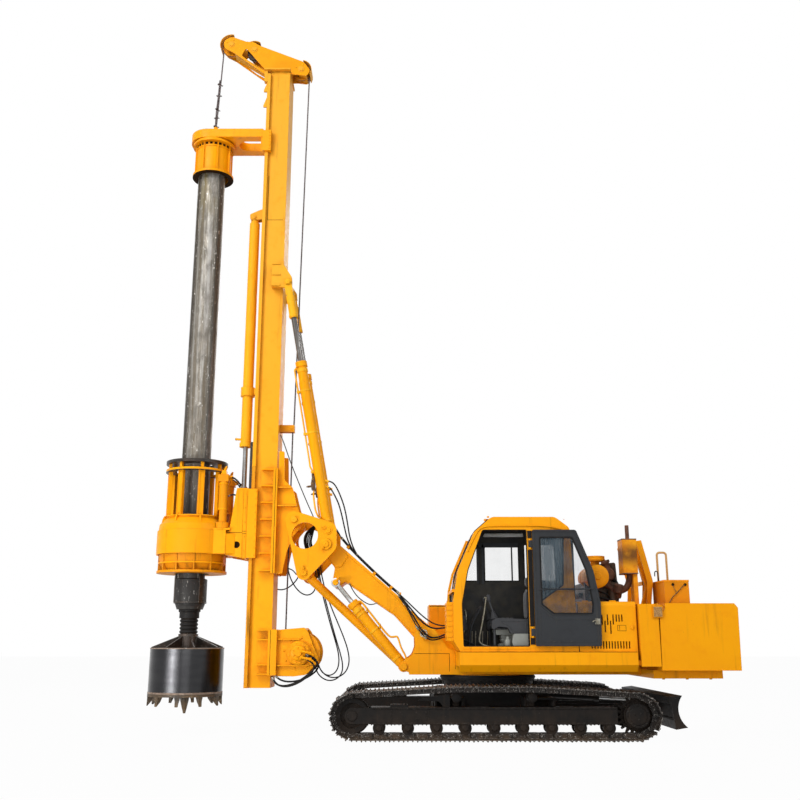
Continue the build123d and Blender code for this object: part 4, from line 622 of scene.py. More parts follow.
for node in ("track_frames", "chassis", "slew_ring", "sprockets", "idlers", "track_rollers"):
    wear(node, black_paint)
worn_steel = bare("worn_cast_steel", srgb(58, 54, 50), srgb(78, 56, 38), srgb(178, 172, 164), rough=0.5, metal=0.6,
                  scale=18.0)
for side in (1, -1):
    work = Work(f"running_gear_fittings_{'left' if side > 0 else 'right'}")
    face = side * (TRACK_MIDDLE + 0.13)
    out = (0, side, 0)

    def flat(corners, thick, work=work, face=face, side=side):
        work.plate(outline(*corners), face - side * 0.002, face + side * thick)

    # hub cover of the travel motor, with its bolts and plugs
    hub = P(SPROCKET[0], side * (TRACK_MIDDLE + 0.128), SPROCKET[1])
    work.turned([(0, 0.15), (0.012, 0.15), (0.018, 0.143), (0.018, 0.112), (0.026, 0.104), (0.03, 0.06),
                 (0.03, 0.001)],
                hub, out, 48)
    ring_of_bolts(work, (hub[0], hub[1] + side * 0.016, hub[2]), out, 0.129, 16, 0.0095)
    ring_of_bolts(work, (hub[0], hub[1] + side * 0.028, hub[2]), out, 0.046, 3, 0.01, spin=0.4)
    # bolts of the sprocket's toothed ring
    ring_of_bolts(work, P(SPROCKET[0], side * (TRACK_MIDDLE + 0.02), SPROCKET[1]), out, 0.176, 20, 0.01)
    # idler cap and the ends of its axle
    axle = P(IDLER[0], face, IDLER[1])
    work.turned([(-0.004, 0.062), (0.01, 0.062), (0.016, 0.054), (0.016, 0.001)], axle, out, 32)
    ring_of_bolts(work, (axle[0], axle[1] + side * 0.01, axle[2]), out, 0.04, 6, 0.007)
    # flanges along the channel, with upright stiffeners between them
    flat([(-1.47, 0.398), (1.548, 0.398), (1.548, 0.384), (-1.47, 0.384)], 0.01)
    flat([(-1.47, 0.216), (1.548, 0.216), (1.548, 0.201), (-1.47, 0.201)], 0.01)
    for x in (-1.1, -0.3, 0.845, 1.3):
        flat([(x, 0.232), (x + 0.012, 0.232), (x + 0.012, 0.372), (x, 0.372)], 0.004)
    # blanked cover of the grease fitting for the idler's spring
    flat([(0.868, 0.25), (1.01, 0.25), (1.01, 0.35), (0.868, 0.35)], 0.005)
    for x, z in ((0.882, 0.264), (0.996, 0.264), (0.882, 0.336), (0.996, 0.336)):
        work.bolt(P(x, face + side * 0.004, z), out, 0.008)
    # roller end caps with their two bolts each
    for n in range(9):
        x = 1.458 - 0.3545 * n
        work.turned([(0, 0.036), (0.008, 0.036), (0.014, 0.028), (0.014, 0.001)], P(x, face - side * 0.002, 0.157),
                    out, 20)
        for shift in (-0.034, 0.034):
            work.bolt(P(x + shift, face - side * 0.01, 0.184), out, 0.009)
    # carrier roller brackets, wedge plate and mud scrapers above the frame
    for x, _, _ in CARRIERS:
        work.turned([(0, 0.052), (0.01, 0.052), (0.016, 0.04), (0.016, 0.001)],
                    P(x, side * (TRACK_MIDDLE + 0.085), 0.515), out, 24)
        ring_of_bolts(work, P(x, side * (TRACK_MIDDLE + 0.093), 0.515), out, 0.03, 3, 0.007)
    work.plate(outline((0.98, 0.48), (0.93, 0.5), (0.6, 0.556), (0.58, 0.545), (0.58, 0.401), (0.66, 0.401),
                       (0.72, 0.47)),
               side * (TRACK_MIDDLE + 0.06), side * (TRACK_MIDDLE + 0.076))
    work.block(P(1.1, face - side * 0.004, 0.401), P(1.32, face - side * 0.2, 0.432))
    for x in (1.13, 1.29):
        work.bolt(P(x, face - side * 0.05, 0.432), (0, 0, 1), 0.012)
    weld(work, [P(-1.47, face + side * 0.004, 0.381), P(1.54, face + side * 0.004, 0.381)], 0.004)
    weld(work, [P(-1.47, face + side * 0.004, 0.219), P(1.54, face + side * 0.004, 0.219)], 0.004)
    # steps welded to the frame's inner top edge
    for x in (-0.95, 0.1):
        work.block(P(x, face, 0.401), P(x + 0.24, face - side * 0.05, 0.409))
    work.done("undercarriage", black_paint, slot="chassis_paint")

work = Work("swing_bearing_bolts")
ring_of_bolts(work, P(0, 0, 0.69), (0, 0, -1), 0.615, 36, 0.014)
ring_of_bolts(work, P(0, 0, 0.757), (0, 0, -1), 0.52, 1, 0.004)
work.turned([(0, 0.648), (0.018, 0.652), (0.03, 0.648)], P(0, 0, 0.706), (0, 0, 1), 96)
for y in (-0.3, 0.3):
    work.block(P(-0.7, y - 0.12, 0.532), P(-0.44, y + 0.12, 0.566))
    ring_of_bolts(work, P(-0.57, y, 0.566), (0, 0, 1), 0.075, 6, 0.01)
weld(work, [(X(0.6 * cos(a)), 0.6 * sin(a), 0.564) for a in (2 * pi * n / 48 for n in range(49))], 0.008)
work.done("undercarriage", black_paint, slot="chassis_paint")


# ---- Levelling blade behind the tracks -----------------------------------------------------------
# A rolled plate on two arms, moved by a pair of small cylinders; a reversible cutting edge is
# bolted along its foot, which rubbing on the ground keeps bright.
wear("blade", black_paint)
wear("blade_cylinder_barrels", black_paint)
chrome = bare("chromed_rod", srgb(176, 178, 180), srgb(140, 138, 130), srgb(226, 228, 230), rough=0.2, metal=1.0,
              scale=8.0, grain=(1, 1, 3), fleck=0.1, pits=0.1)
wear("blade_cylinder_rods", chrome)
low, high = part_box("blade")
work = Work("blade_cutting_edge")
for n in range(13):
    y = low.y + 0.1 + n * (high.y - low.y - 0.2) / 12
    work.bolt((low.x + 0.051, y, low.z + 0.075), (-0.9, 0, 0.42), 0.014)
work.done("blade", worn_steel, slot="chassis_paint")


# ---- Upper frame, covers, counterweight ----------------------------------------------------------
# Folded sheet covers hang on a welded frame; the counterweight is a fabricated box filled with
# scrap and concrete. Louvres are pressed through, lids are hinged, and lines of bolts hold them.
for node in ("upper_frame", "side_cover_left", "side_covers_right", "rear_side_boxes", "counterweight", "hood_plate",
             "cab_shell"):
    wear(node, yellow)
gap_black, w, shader = material("panel_gap", Roughness=0.9, Specular_IOR_Level=0.1)
feed(clouds(w, 30.0).mix(srgb(30, 20, 10), srgb(52, 32, 12)), shader, "Base Color")


def seam(work, y, width, *corners, proud=0.0008):
    """Shut lines on a side face: narrow dark strips that lie in the joints, from each corner to the next."""
    out = Vector((0, math.copysign(1, y), 0))
    for a, b in zip(corners, corners[1:]):
        start, end = Vector(P(a[0], y, a[1])), Vector(P(b[0], y, b[1]))
        side = (end - start).normalized().cross(out) * width / 2
        work.skin([[p + side, p + side + out * proud, p - side + out * proud, p - side] for p in (start, end)])


work = Work("cover_shut_lines")
deck = 1.298
seam(work, 1.35, 0.005, (0.455, 1.0605), (-1.755, 1.0605))
seam(work, deck, 0.007, (-1.0425, 1.064), (-1.0425, 1.64), proud=0.0012)
seam(work, 1.2985, 0.005, (-1.56, 1.33), (-1.56, 1.386))
seam(work, deck, 0.005, (-1.535, 1.386), (-1.64, 1.386), (-1.64, 1.318), (-1.535, 1.318), (-1.535, 1.386))
for a, b in (((0.54, 1.03), (1.01, 1.03)), ((0.54, 1.03), (0.54, 0.8)), ((0.46, 0.83), (0.46, 1.05))):
    seam(work, 0.43, 0.006, a, b)
# right side: tank lids and inspection doors
for x0, x1, z0, z1 in ((-0.5, 0.08, 1.12, 1.62), (0.14, 0.72, 1.12, 1.62), (-1.7, -0.62, 1.1, 1.6)):
    seam(work, -deck, 0.006, (x0, z0), (x1, z0), (x1, z1), (x0, z1), (x0, z0))
work.done("upper", gap_black)

work = Work("cover_fittings")
# latches and hinges of the covers on both sides
for x, y, side in ((-1.72, deck, 1), (-0.66, -deck, -1), (0.1, -deck, -1), (0.68, -deck, -1)):
    work.turned([(0, 0.022), (0.006, 0.022), (0.009, 0.016), (0.014, 0.012), (0.014, 0.001)], P(x, y, 1.36),
                (0, side, 0), 20)
    work.block((X(x) - 0.006, y, 1.335), (X(x) + 0.006, y + side * 0.016, 1.385))
for x in (-1.5, -1.15):
    work.rod((X(x) - 0.04, 1.24, 1.684), (X(x) + 0.04, 1.24, 1.684), 0.009, 12)
for x in (-1.5, -0.8, -0.4, 0.0, 0.3, 0.62):
    top = 1.704 if x > -0.56 else 1.684
    work.rod((X(x) - 0.04, -1.225, top), (X(x) + 0.04, -1.225, top), 0.009, 12)
# bolt rows along both edges of the deck
for x in [0.4 - 0.27 * n for n in range(9)]:
    work.bolt(P(x, 1.318, 1.062), (0, 0, 1), 0.01)
for x in [0.84 - 0.27 * n for n in range(10)]:
    work.bolt(P(x, -1.318, 1.062), (0, 0, 1), 0.01)
# filler necks and caps of the tanks at the right
for x, y, height, radius in ((0.45, -0.8, 0.045, 0.06), (-0.22, -0.95, 0.06, 0.075)):
    work.turned([(0, radius * 0.8), (height, radius * 0.8), (height, radius), (height + 0.022, radius),
                 (height + 0.03, radius * 0.85), (height + 0.03, 0.001)], P(x, y, 1.698), (0, 0, 1), 28)
# bolts and welds between the counterweight's shell and its slab
for x in (-2.75, -2.45, -2.15):
    for y in (-1.0, 1.0):
        work.bolt(P(x, y, 0.735), (0, 0, -1), 0.02)
for y in (1.3505, -1.3505):
    weld(work, [P(-3.03, y, 0.842), P(-2.06, y, 0.842)], 0.004)
# small triangular stays under the front of the deck
for y in (-0.33, 0.33):
    work.plate(outline((0.46, 0.756), (0.2, 0.756), (0.3, 0.715), (0.38, 0.708)), y - 0.008, y + 0.008)
work.done("upper", yellow)

# the square work lamp at the rear corner, with bars over its lens
lens_glass, w, shader = material("lamp_lens", Roughness=0.12, Specular_IOR_Level=0.5)
feed(clouds(w, 60.0).mix(srgb(196, 150, 84), srgb(150, 104, 50)), shader, "Base Color")
work = Work("rear_work_lamp")
lamp_x = X(-2.035)
work.block((lamp_x - 0.065, 1.345, 1.478), (lamp_x + 0.065, 1.372, 1.628))
work.finish = 1
work.block((lamp_x - 0.052, 1.371, 1.49), (lamp_x + 0.052, 1.378, 1.61))
for n in range(4):
    work.block((lamp_x - 0.052, 1.377, 1.512 + 0.024 * n), (lamp_x + 0.052, 1.38, 1.516 + 0.024 * n))
work.finish = 0
work.block((lamp_x - 0.012, 1.345, 1.62), (lamp_x + 0.012, 1.36, 1.652))
work.done("upper", yellow_low, lens_glass)


# ---- Cab shell -----------------------------------------------------------------------------------
# A pressed and welded steel cab: yellow outside, charcoal lining inside, rubber seals round each
# opening, and a ribbed box bolted low on its front.


def coated(name, gloss=0.4):
    """The cab's two finishes: enamel on faces that look outwards, lining on those that look in."""
    made = painted(name, YELLOW, AMBER, PRIMER, MUD, gloss=gloss)
    nodes = made.node_tree.nodes
    w = Wire(made.node_tree)
    shader = nodes["Principled BSDF"]
    enamel = Wire(w.tree, shader.inputs["Base Color"].links[0].from_socket)
    facing = w.node("TexCoord", out="Normal")
    inward = w.node("VectorMath", {0: P(-0.25, 0.825, 1.9), 1: place_on(w)}, operation="SUBTRACT")
    inward = w.node("VectorMath", {0: inward}, operation="NORMALIZE")
    inside = w.node("VectorMath", {0: facing, 1: inward}, out="Value", operation="DOT_PRODUCT").between(0.02, 0.06)
    lining = (clouds(w, 6.0, detail=5.0) * 0.7).mix(srgb(40, 40, 40), srgb(62, 58, 50))
    feed(inside.mix(enamel, lining), shader, "Base Color")
    return made


wear("cab_shell", coated("cab_enamel_and_lining"))
seal_rubber = painted("seal_rubber", srgb(26, 25, 25), srgb(18, 18, 18), srgb(60, 56, 50), srgb(80, 60, 40),
                      gloss=0.6, edges=0.002, chips=0.3, peel=0.3)
charcoal = painted("charcoal_paint", srgb(52, 54, 57), srgb(42, 42, 44), srgb(120, 112, 96), srgb(88, 80, 66),
                   gloss=0.42, edges=0.004, streaks=0.35, chips=0.8, grime_and_shade=0.5)


def rounded(corners, radius, steps=5):
    """The outline with each corner rounded."""
    out = []
    count = len(corners)
    radii = radius if isinstance(radius, (list, tuple)) else [radius] * count
    for n, (x, z) in enumerate(corners):
        here, r = Vector((x, z)), radii[n]
        before, after = Vector(corners[n - 1]) - here, Vector(corners[(n + 1) % count]) - here
        turn = before.angle(after)
        if r <= 0 or turn > pi - 0.02:
            out.append((x, z))
            continue
        reach = min(r / math.tan(turn / 2), before.length * 0.48, after.length * 0.48)
        a, b = here + before.normalized() * reach, here + after.normalized() * reach
        for k in range(steps + 1):
            t = k / steps
            p = a * (1 - t) ** 2 + here * 2 * t * (1 - t) + b * t ** 2
            out.append((p.x, p.y))
    return out


def band(work, corners, inset, low, high, across="Y"):
    """A closed flat band: this outline, and the same outline drawn in by inset, from low to high."""
    points = [Vector(c) for c in corners]
    count = len(points)
    area = sum(a.x * b.y - b.x * a.y for a, b in zip(points, points[1:] + points[:1]))
    sign = 1 if area > 0 else -1
    inner = []
    for n, here in enumerate(points):
        a, b = (here - points[n - 1]).normalized(), (points[(n + 1) % count] - here).normalized()
        normal = Vector((-a.y - b.y, a.x + b.x)) * sign
        normal = normal.normalized() / max(0.35, normal.length / 2)
        inner.append(here + normal * inset)
    seat = {"X": lambda p, d: (d, p.x, p.y), "Y": lambda p, d: (p.x, d, p.y), "Z": lambda p, d: (p.x, p.y, d)}[across]
    rings = [[seat(p, low) for p in points], [seat(p, high) for p in points], [seat(p, high) for p in inner],
             [seat(p, low) for p in inner]]
    work.skin(rings, wrapped=True)


work = Work("cab_seals")
side_out = 1.3
door_way = rounded(outline((-0.43, 1.125), (0.405, 1.125), (0.418, 1.65), (0.34, 2.071), (0.14, 2.585),
                           (-0.43, 2.585)),
                   [0.02, 0.02, 0.2, 0.3, 0.04, 0.02])
band(work, door_way, 0.012, side_out - 0.03, side_out - 0.021)
rear_way = rounded(outline((-0.54, 1.64), (-0.88, 1.88), (-0.905, 2.5), (-0.54, 2.5)), 0.04)
band(work, rear_way, 0.016, side_out - 0.024, side_out + 0.006)
for corners, radius in (([(0.045, 1.98), (-0.44, 1.98), (-0.44, 2.49), (0.045, 2.49)], 0.02),
                        ([(-0.5, 1.98), (-0.95, 1.98), (-0.935, 2.49), (-0.5, 2.49)], 0.02),
                        ([(0.13, 1.98), (0.37, 1.98), (0.34, 2.1), (0.175, 2.49), (0.13, 2.49)], 0.015)):
    band(work, rounded(outline(*corners), radius), 0.014, 0.345, 0.352)
    band(work, rounded(outline(*corners), radius), 0.014, 0.378, 0.394)
# front panes: the lower fixed one and the upper one that slides up under the roof
for y, inner_edge in ((0.404, 0.42), (1.246, 1.23)):
    work.block(P(0.512, y, 1.235), P(0.5275, inner_edge, 1.795))
work.block(P(0.512, 0.41, 1.228), P(0.528, 1.24, 1.244))
# rubber over the gap between the pillar and the door's hinged edge
for low, high in ((1.15, 1.23), (1.372, 2.325), (2.475, 2.57)):
    work.block(P(-0.493, 1.299, low), P(-0.437, 1.307, high))
band(work, [(0.44, 1.75), (1.21, 1.75), (1.21, 2.5), (0.44, 2.5)], 0.014, X(-1.04), X(-0.996), across="X")
band(work, outline((-0.65, 0.55), (-0.15, 0.55), (-0.15, 1.1), (-0.65, 1.1)), 0.016, 2.734, 2.756, across="Z")
# wiper on the upper pane, and the rain strip over it
work.rod(P(0.52, 0.86, 1.842), P(0.44, 0.98, 2.16), 0.005, 8)
work.plate(outline((0.229, 2.574), (0.066, 2.714), (0.072, 2.721), (0.235, 2.581)), 0.42, 1.21)
work.done("upper", seal_rubber, slot="rubber")

work = Work("cab_fittings")
# gutter over the door, and a bolt on the roof at either end
work.pipe([P(0.335, 1.302, 2.3), P(0.22, 1.306, 2.56), P(0.12, 1.308, 2.63), P(-0.2, 1.309, 2.634),
           P(-0.8, 1.309, 2.634), P(-0.95, 1.306, 2.56)], 0.009, 8)
for x in (0.3, -0.95):
    work.bolt((X(x) - 0.02, 1.0, 2.752 if x < 0 else 2.5), (0, 0, 1), 0.008)
# ribs, lid and bolts of the box on the cab's front
for n in range(7):
    z = 1.238 + 0.066 * n
    work.block(P(0.606, 0.865, z), P(0.615, 1.265, z + 0.02))
    work.block(P(0.545, 1.276, z), P(0.6, 1.289, z + 0.014))
band(work, [(0.856, 1.2), (1.276, 1.2), (1.276, 1.665), (0.856, 1.665)], 0.014, X(0.604), X(0.613), across="X")
# the edge of the sill and its weld
work.block(P(-0.43, 1.292, 1.098), P(0.405, 1.306, 1.116))
weld(work, [P(0.436, 1.301, 1.066), P(-1.03, 1.301, 1.066)], 0.004)
# hinge straps bolted to the pillar
for z in (1.3, 2.4):
    for shift in (-0.052, 0.052):
        work.block(P(-0.53, 1.298, z + shift - 0.018), P(-0.452, 1.306, z + shift + 0.018))
        work.bolt(P(-0.512, 1.306, z + shift), (0, 1, 0), 0.008)
# the pressing behind the rear side window, and two studs on the roof
work.plate(outline((-0.925, 1.62), (-0.945, 1.62), (-0.935, 2.52), (-0.92, 2.52)), 1.296, 1.308)
work.rod(P(0.055, 0.86, 2.748), P(0.055, 0.86, 2.775), 0.022, 14)
work.rod(P(0.055, 1.22, 2.748), P(0.055, 1.22, 2.768), 0.014, 14)
# far front pillar's outer channel, and the rail between the two panes
front = ((0.528, 1.215), (0.53, 1.7), (0.518, 1.85), (0.466, 2.071), (0.36, 2.31), (0.262, 2.53))
work.skin([[(X(x) - 0.002, 0.352, z), (X(x) - 0.002, 0.392, z), (X(x) + 0.03, 0.392, z + 0.006),
            (X(x) + 0.03, 0.352, z + 0.006)]
           for x, z in front])
work.block(P(0.505, 0.385, 1.796), P(0.54, 1.262, 1.834))
work.done("upper", yellow)

rust_brown = painted("browned_lens", srgb(150, 84, 50), srgb(110, 58, 36), PRIMER, MUD, gloss=0.4)
work = Work("cab_roof_lamp")
work.turned([(0, 0.02), (0.02, 0.026), (0.03, 0.024), (0.034, 0.01), (0.034, 0.001)], P(0.048, 1.1, 2.712),
            (0.2, 0, 1), 20)
work.done("upper", rust_brown, slot="cab_plastic")

work = Work("cab_lining")
# charcoal lining: roof bow, pillar covers and the far wall's frames
work.block(P(-0.43, 0.396, 2.44), P(0.17, 0.412, 2.5))
work.block(P(-0.345, 0.394, 1.97), P(-0.325, 0.404, 2.45))
for x in (0.05, 0.12):
    work.block(P(x, 0.394, 1.95), (X(x) + 0.03, 0.412, 2.48))
work.done("upper", charcoal, slot="cab_plastic")


# ---- Cab glass -----------------------------------------------------------------------------------
# Toughened panes in rubber, dusty at their edges; the door's pane is tinted and older.


def pane(name, tint, clear, haze, dusty):
    """Glass that lets light through, dusty in patches, and opaque in its pale tint at glancing angles as a painted
    reflection.
    """
    made, w, shader = material(name, Specular_IOR_Level=0.5, IOR=1.5)
    dirt = clouds(w, 2.6, 0.4, 0.8, detail=6.0) * dusty + clouds(w, 4.0, 0.45, 0.8, stretch=(7, 7, 0.5),
        detail=5.0) * dusty * 0.5
    glancing_reflection = w.node("Fresnel", {"IOR": 1.45})
    # the rear quarter pane beside the door is the oldest: milky, streaked and blue
    milky = coordinate(w, "Y").between(1.258, 1.264) * (1 - coordinate(w, "Y").between(1.3, 1.31))
    smears = clouds(w, 3.0, 0.3, 0.7, stretch=(6, 6, 0.5), detail=6.0)
    feed(milky.mix((dirt * 0.8).mix(tint, haze), smears.mix(srgb(62, 84, 100), srgb(150, 168, 178))), shader,
         "Base Color")
    # the Fresnel term makes the pane show its pale tint at glancing angles: a painted reflection
    feed((dirt * 0.35 + clear + milky * (smears * 0.3 + 0.35) + glancing_reflection * 0.8).math("MINIMUM", 1.0), shader, "Alpha")
    feed(dirt * 0.3 + 0.04, shader, "Roughness")
    return made


wear("cab_glass", pane("cab_pane", srgb(150, 168, 174), 0.05, srgb(200, 200, 192), 0.12))
wear("door_glass", pane("door_pane", srgb(84, 106, 120), 0.1, srgb(168, 182, 188), 0.35))


# ---- Door ----------------------------------------------------------------------------------------
# A flat steel door on two hinges, folded back against the cab; charcoal enamel worn at its edges,
# a rubber-set pane, a guard bar across it and a slam latch at its front edge.
wear("cab_door", charcoal)
work = Work("door_seal")
pane_way = rounded(outline((-0.58, 1.64), (-0.73, 1.52), (-1.233, 1.52), (-1.242, 1.65), (-1.176, 2.06),
                           (-1.008, 2.49), (-0.58, 2.49)), [0.03, 0.06, 0.04, 0.2, 0.3, 0.03, 0.03])
band(work, pane_way, 0.018, 1.33, 1.35)
work.done("door", seal_rubber, slot="rubber")

work = Work("door_frame_edge")
door_way = rounded(outline((-0.5, 1.135), (-1.316, 1.135), (-1.328, 1.65), (-1.251, 2.071), (-1.054, 2.575),
                           (-0.5, 2.575)),
                   [0.02, 0.02, 0.2, 0.3, 0.04, 0.02])
band(work, door_way, 0.022, 1.345, 1.352)
seam_line = rounded(outline((-0.566, 1.632), (-0.722, 1.506), (-1.246, 1.506)), [0, 0.05, 0])
for (a, b), (c, d) in zip(seam_line, seam_line[1:]):
    work.rod((a, 1.347, b), (c, 1.347, d), 0.005, 8)
# pressed stiffening frame of the lower panel
band(work, rounded(outline((-0.56, 1.18), (-1.27, 1.18), (-1.275, 1.46), (-0.75, 1.46), (-0.56, 1.59)), 0.03), 0.01,
     1.345, 1.3485)
work.done("door", charcoal, slot="door_paint")

work = Work("door_latch")
latch_x = X(-1.28)
work.block((latch_x - 0.034, 1.346, 1.396), (latch_x + 0.034, 1.354, 1.466))
work.plate(rounded([(latch_x - 0.026, 1.404), (latch_x + 0.026, 1.404), (latch_x + 0.026, 1.458),
                    (latch_x - 0.026, 1.458)], 0.012), 1.352, 1.374)
work.turned([(0, 0.014), (0.012, 0.014), (0.016, 0.009), (0.016, 0.001)], (latch_x + 0.012, 1.372, 1.43), (0, 1, 0),
            18)
work.pipe([(latch_x + 0.016, 1.376, 1.444), (latch_x + 0.04, 1.388, 1.444), (latch_x + 0.066, 1.388, 1.436),
           (latch_x + 0.07, 1.38, 1.424)], 0.006, 10)
for z in (1.404, 1.458):
    work.bolt((latch_x - 0.02, 1.354, z), (0, 1, 0), 0.006)
work.done("door", zinc, slot="chrome_rod")

work = Work("door_guard_bar")
work.pipe([P(-0.56, 1.352, 1.822), P(-0.575, 1.366, 1.826), P(-0.8, 1.368, 1.828), P(-1.1, 1.368, 1.832),
           P(-1.225, 1.366, 1.836), P(-1.24, 1.352, 1.836)], 0.008, 10)
work.done("door", charcoal, slot="door_paint")


# ---- Inside the cab ------------------------------------------------------------------------------
# A sprung seat between two lever consoles, four floor levers with pedals, a rubber mat and a
# small gauge box. Fabric and plastics are grey, faded by sun and rubbed pale on their edges.
plastic = painted("console_plastic", srgb(50, 51, 54), srgb(38, 38, 40), srgb(104, 102, 98), srgb(84, 78, 68),
                  gloss=0.55, edges=0.006, streaks=0.1, chips=0.4, grime_and_shade=0.5, peel=0.6, shine=0.35)
pale_plastic = painted("seat_base_plastic", srgb(150, 152, 146), srgb(126, 126, 118), srgb(90, 88, 84),
                       srgb(96, 86, 70), gloss=0.5, edges=0.006, streaks=0.3, chips=0.6, grime_and_shade=0.7, shine=0.35)


def seat_fabric(name, colour, deep):
    """Woven upholstery: a crossed weave, a little sheen, faded patches and soil."""
    made, w, shader = material(name, Roughness=0.85, Sheen_Weight=0.3, Specular_IOR_Level=0.2)
    point = w.node("SeparateXYZ", {0: place_on(w)})
    tree_of = point.socket.node
    across = Wire(w.tree, tree_of.outputs["Y"]) * 900
    along = (Wire(w.tree, tree_of.outputs["X"]) + Wire(w.tree, tree_of.outputs["Z"])) * 900
    weave = (across.math("SINE") * along.math("SINE")) * 0.5 + 0.5
    faded = clouds(w, 7.0, 0.3, 0.7).mix(colour, deep)
    feed((weave * 0.35).mix(faded, tuple(c * 0.4 for c in deep)), shader, "Base Color")
    relief(w, shader, weave + clouds(w, 30.0), 0.4, 0.001)
    return made


fabric = seat_fabric("seat_cloth", srgb(54, 56, 61), srgb(38, 40, 43))


def cushion(name, low, high, crown, pinch, panels=()):
    """A crowned pad: a closed form whose sides draw in between its corners, with sewn channels."""
    low, high = Vector(low), Vector(high)
    middle, half = (low + high) / 2, (high - low) / 2
    mesh = bmesh.new()
    bmesh.ops.create_cube(mesh, size=2.0)
    bmesh.ops.subdivide_edges(mesh, edges=mesh.edges, cuts=21, use_grid_fill=True)
    thin = min(range(3), key=lambda k: half[k])
    wide = [k for k in range(3) if k != thin]
    for vertex in mesh.verts:
        p = vertex.co.copy()
        # square with soft corners, drawn to the pad's outline
        u, v, t = p[wide[0]], p[wide[1]], p[thin]
        edge = max(abs(u), abs(v))
        shape = (1 - abs(u) ** 4) * (1 - abs(v) ** 4)
        rounding = 1 - 0.16 * (abs(t) ** 3) * (abs(u) ** 6 + abs(v) ** 6)
        q = Vector((0, 0, 0))
        q[wide[0]] = u * rounding * (1 - pinch * (1 - v * v) * abs(u) ** 3)
        q[wide[1]] = v * rounding * (1 - pinch * (1 - u * u) * abs(v) ** 3)
        thick = 0.62 + 0.38 * shape ** 0.5
        for axis, at, wide_by in panels:
            across = (u, v)[axis] - at
            thick -= 0.3 * math.exp(-(across / wide_by) ** 2) * (0.4 + 0.6 * shape)
        q[thin] = t * (thick + crown * shape * (1 - edge ** 2))
        vertex.co = middle + Vector((q.x * half.x, q.y * half.y, q.z * half.z))
    for face in mesh.faces:
        face.smooth = True
    data = bpy.data.meshes.new(name)
    mesh.to_mesh(data)
    mesh.free()
    piece = bpy.data.objects.new(name, data)
    bpy.context.scene.collection.objects.link(piece)
    wear(piece, fabric)
    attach(piece, "upper")
    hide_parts("operator_seat")
    return piece


cushion("seat_cushion", P(-0.455, 0.648, 1.345), P(0.005, 1.072, 1.452), 0.22, 0.05,
        panels=((1, -0.45, 0.05), (1, 0.45, 0.05), (0, 0.0, 0.05)))
cushion("seat_back", P(-0.535, 0.655, 1.44), P(-0.435, 1.065, 1.86), 0.25, 0.06,
        panels=((0, -0.45, 0.05), (0, 0.45, 0.05)))
cushion("head_rest", P(-0.545, 0.74, 1.88), P(-0.455, 0.98, 2.015), 0.25, 0.06)

work = Work("seat_base")
work.plate(rounded(outline((-0.42, 1.1), (-0.08, 1.1), (-0.08, 1.15), (-0.14, 1.185), (-0.36, 1.185), (-0.42, 1.15)),
                   0.02), 0.7, 1.02)
work.plate(rounded(outline((-0.4, 1.27), (-0.04, 1.27), (-0.01, 1.335), (-0.42, 1.335)), 0.02), 0.69, 1.03)
for low, high in ((1.106, 1.224), (0.446, 0.574)):   # console housings, and a bottle beside them
    work.plate(rounded(outline((-0.42, 1.098), (-0.235, 1.098), (-0.215, 1.18), (-0.235, 1.285), (-0.42, 1.285)),
                       [0, 0.02, 0.05, 0.03, 0]), low, high)
work.turned([(0, 0.034), (0.012, 0.04), (0.1, 0.04), (0.125, 0.018), (0.15, 0.018), (0.15, 0.002)],
            P(-0.165, 1.165, 1.098), (0, 0, 1), 24)
for n in range(5):   # bellows round the suspension
    z = 1.185 + 0.0175 * n
    wide = 0.012 if n % 2 else 0.0
    work.block((X(-0.37) - wide, 0.74 - wide, z), (X(-0.11) + wide, 0.98 + wide, z + 0.017))
for y in (0.79, 0.93):
    work.rod(P(-0.5, y, 1.84), P(-0.5, y, 1.9), 0.007, 10)
work.done("upper", pale_plastic, replaces=("operator_seat",), slot="cab_plastic")

work = Work("consoles_and_levers")
for low, high in ((1.102, 1.228), (0.442, 0.578)):
    work.plate(rounded(outline((-0.42, 1.286), (-0.2, 1.286), (-0.165, 1.36), (-0.05, 1.37), (0.035, 1.33),
                               (0.035, 1.44), (-0.02, 1.478), (-0.42, 1.462)),
                       [0, 0.02, 0.04, 0.03, 0.02, 0.03, 0.03, 0.03]), low, high)
    work.rod(P(0.0, (low + high) / 2, 1.1), P(0.0, (low + high) / 2, 1.37), 0.016, 12)
    band(work, rounded(outline((-0.4, 1.305), (-0.22, 1.305), (-0.18, 1.375), (-0.04, 1.44), (-0.4, 1.44)), 0.02),
         0.008, high - 0.002, high + 0.003)
    middle = (low + high) / 2
    for n in range(3):   # switches on the console
        work.block(P(-0.13 - 0.055 * n, middle - 0.018, 1.462), P(-0.095 - 0.055 * n, middle + 0.018, 1.484))
for y in (0.505, 1.165):
    for n in range(5):   # rubber gaiter
        work.turned([(0, 0.046 - 0.006 * n), (0.01, 0.05 - 0.006 * n), (0.02, 0.04 - 0.006 * n)],
                    P(-0.002 + 0.004 * n, y, 1.47 + 0.018 * n), (0.25, 0, 0.97), 20)
    work.pipe([P(0.005, y, 1.53), P(0.02, y, 1.58), P(0.045, y, 1.64), P(0.058, y, 1.69)], 0.011, 10)
    work.turned([(0, 0.014), (0.01, 0.022), (0.05, 0.026), (0.082, 0.022), (0.094, 0.01), (0.096, 0.001)],
                P(0.055, y, 1.68), (0.2, 0, 0.98), 18)
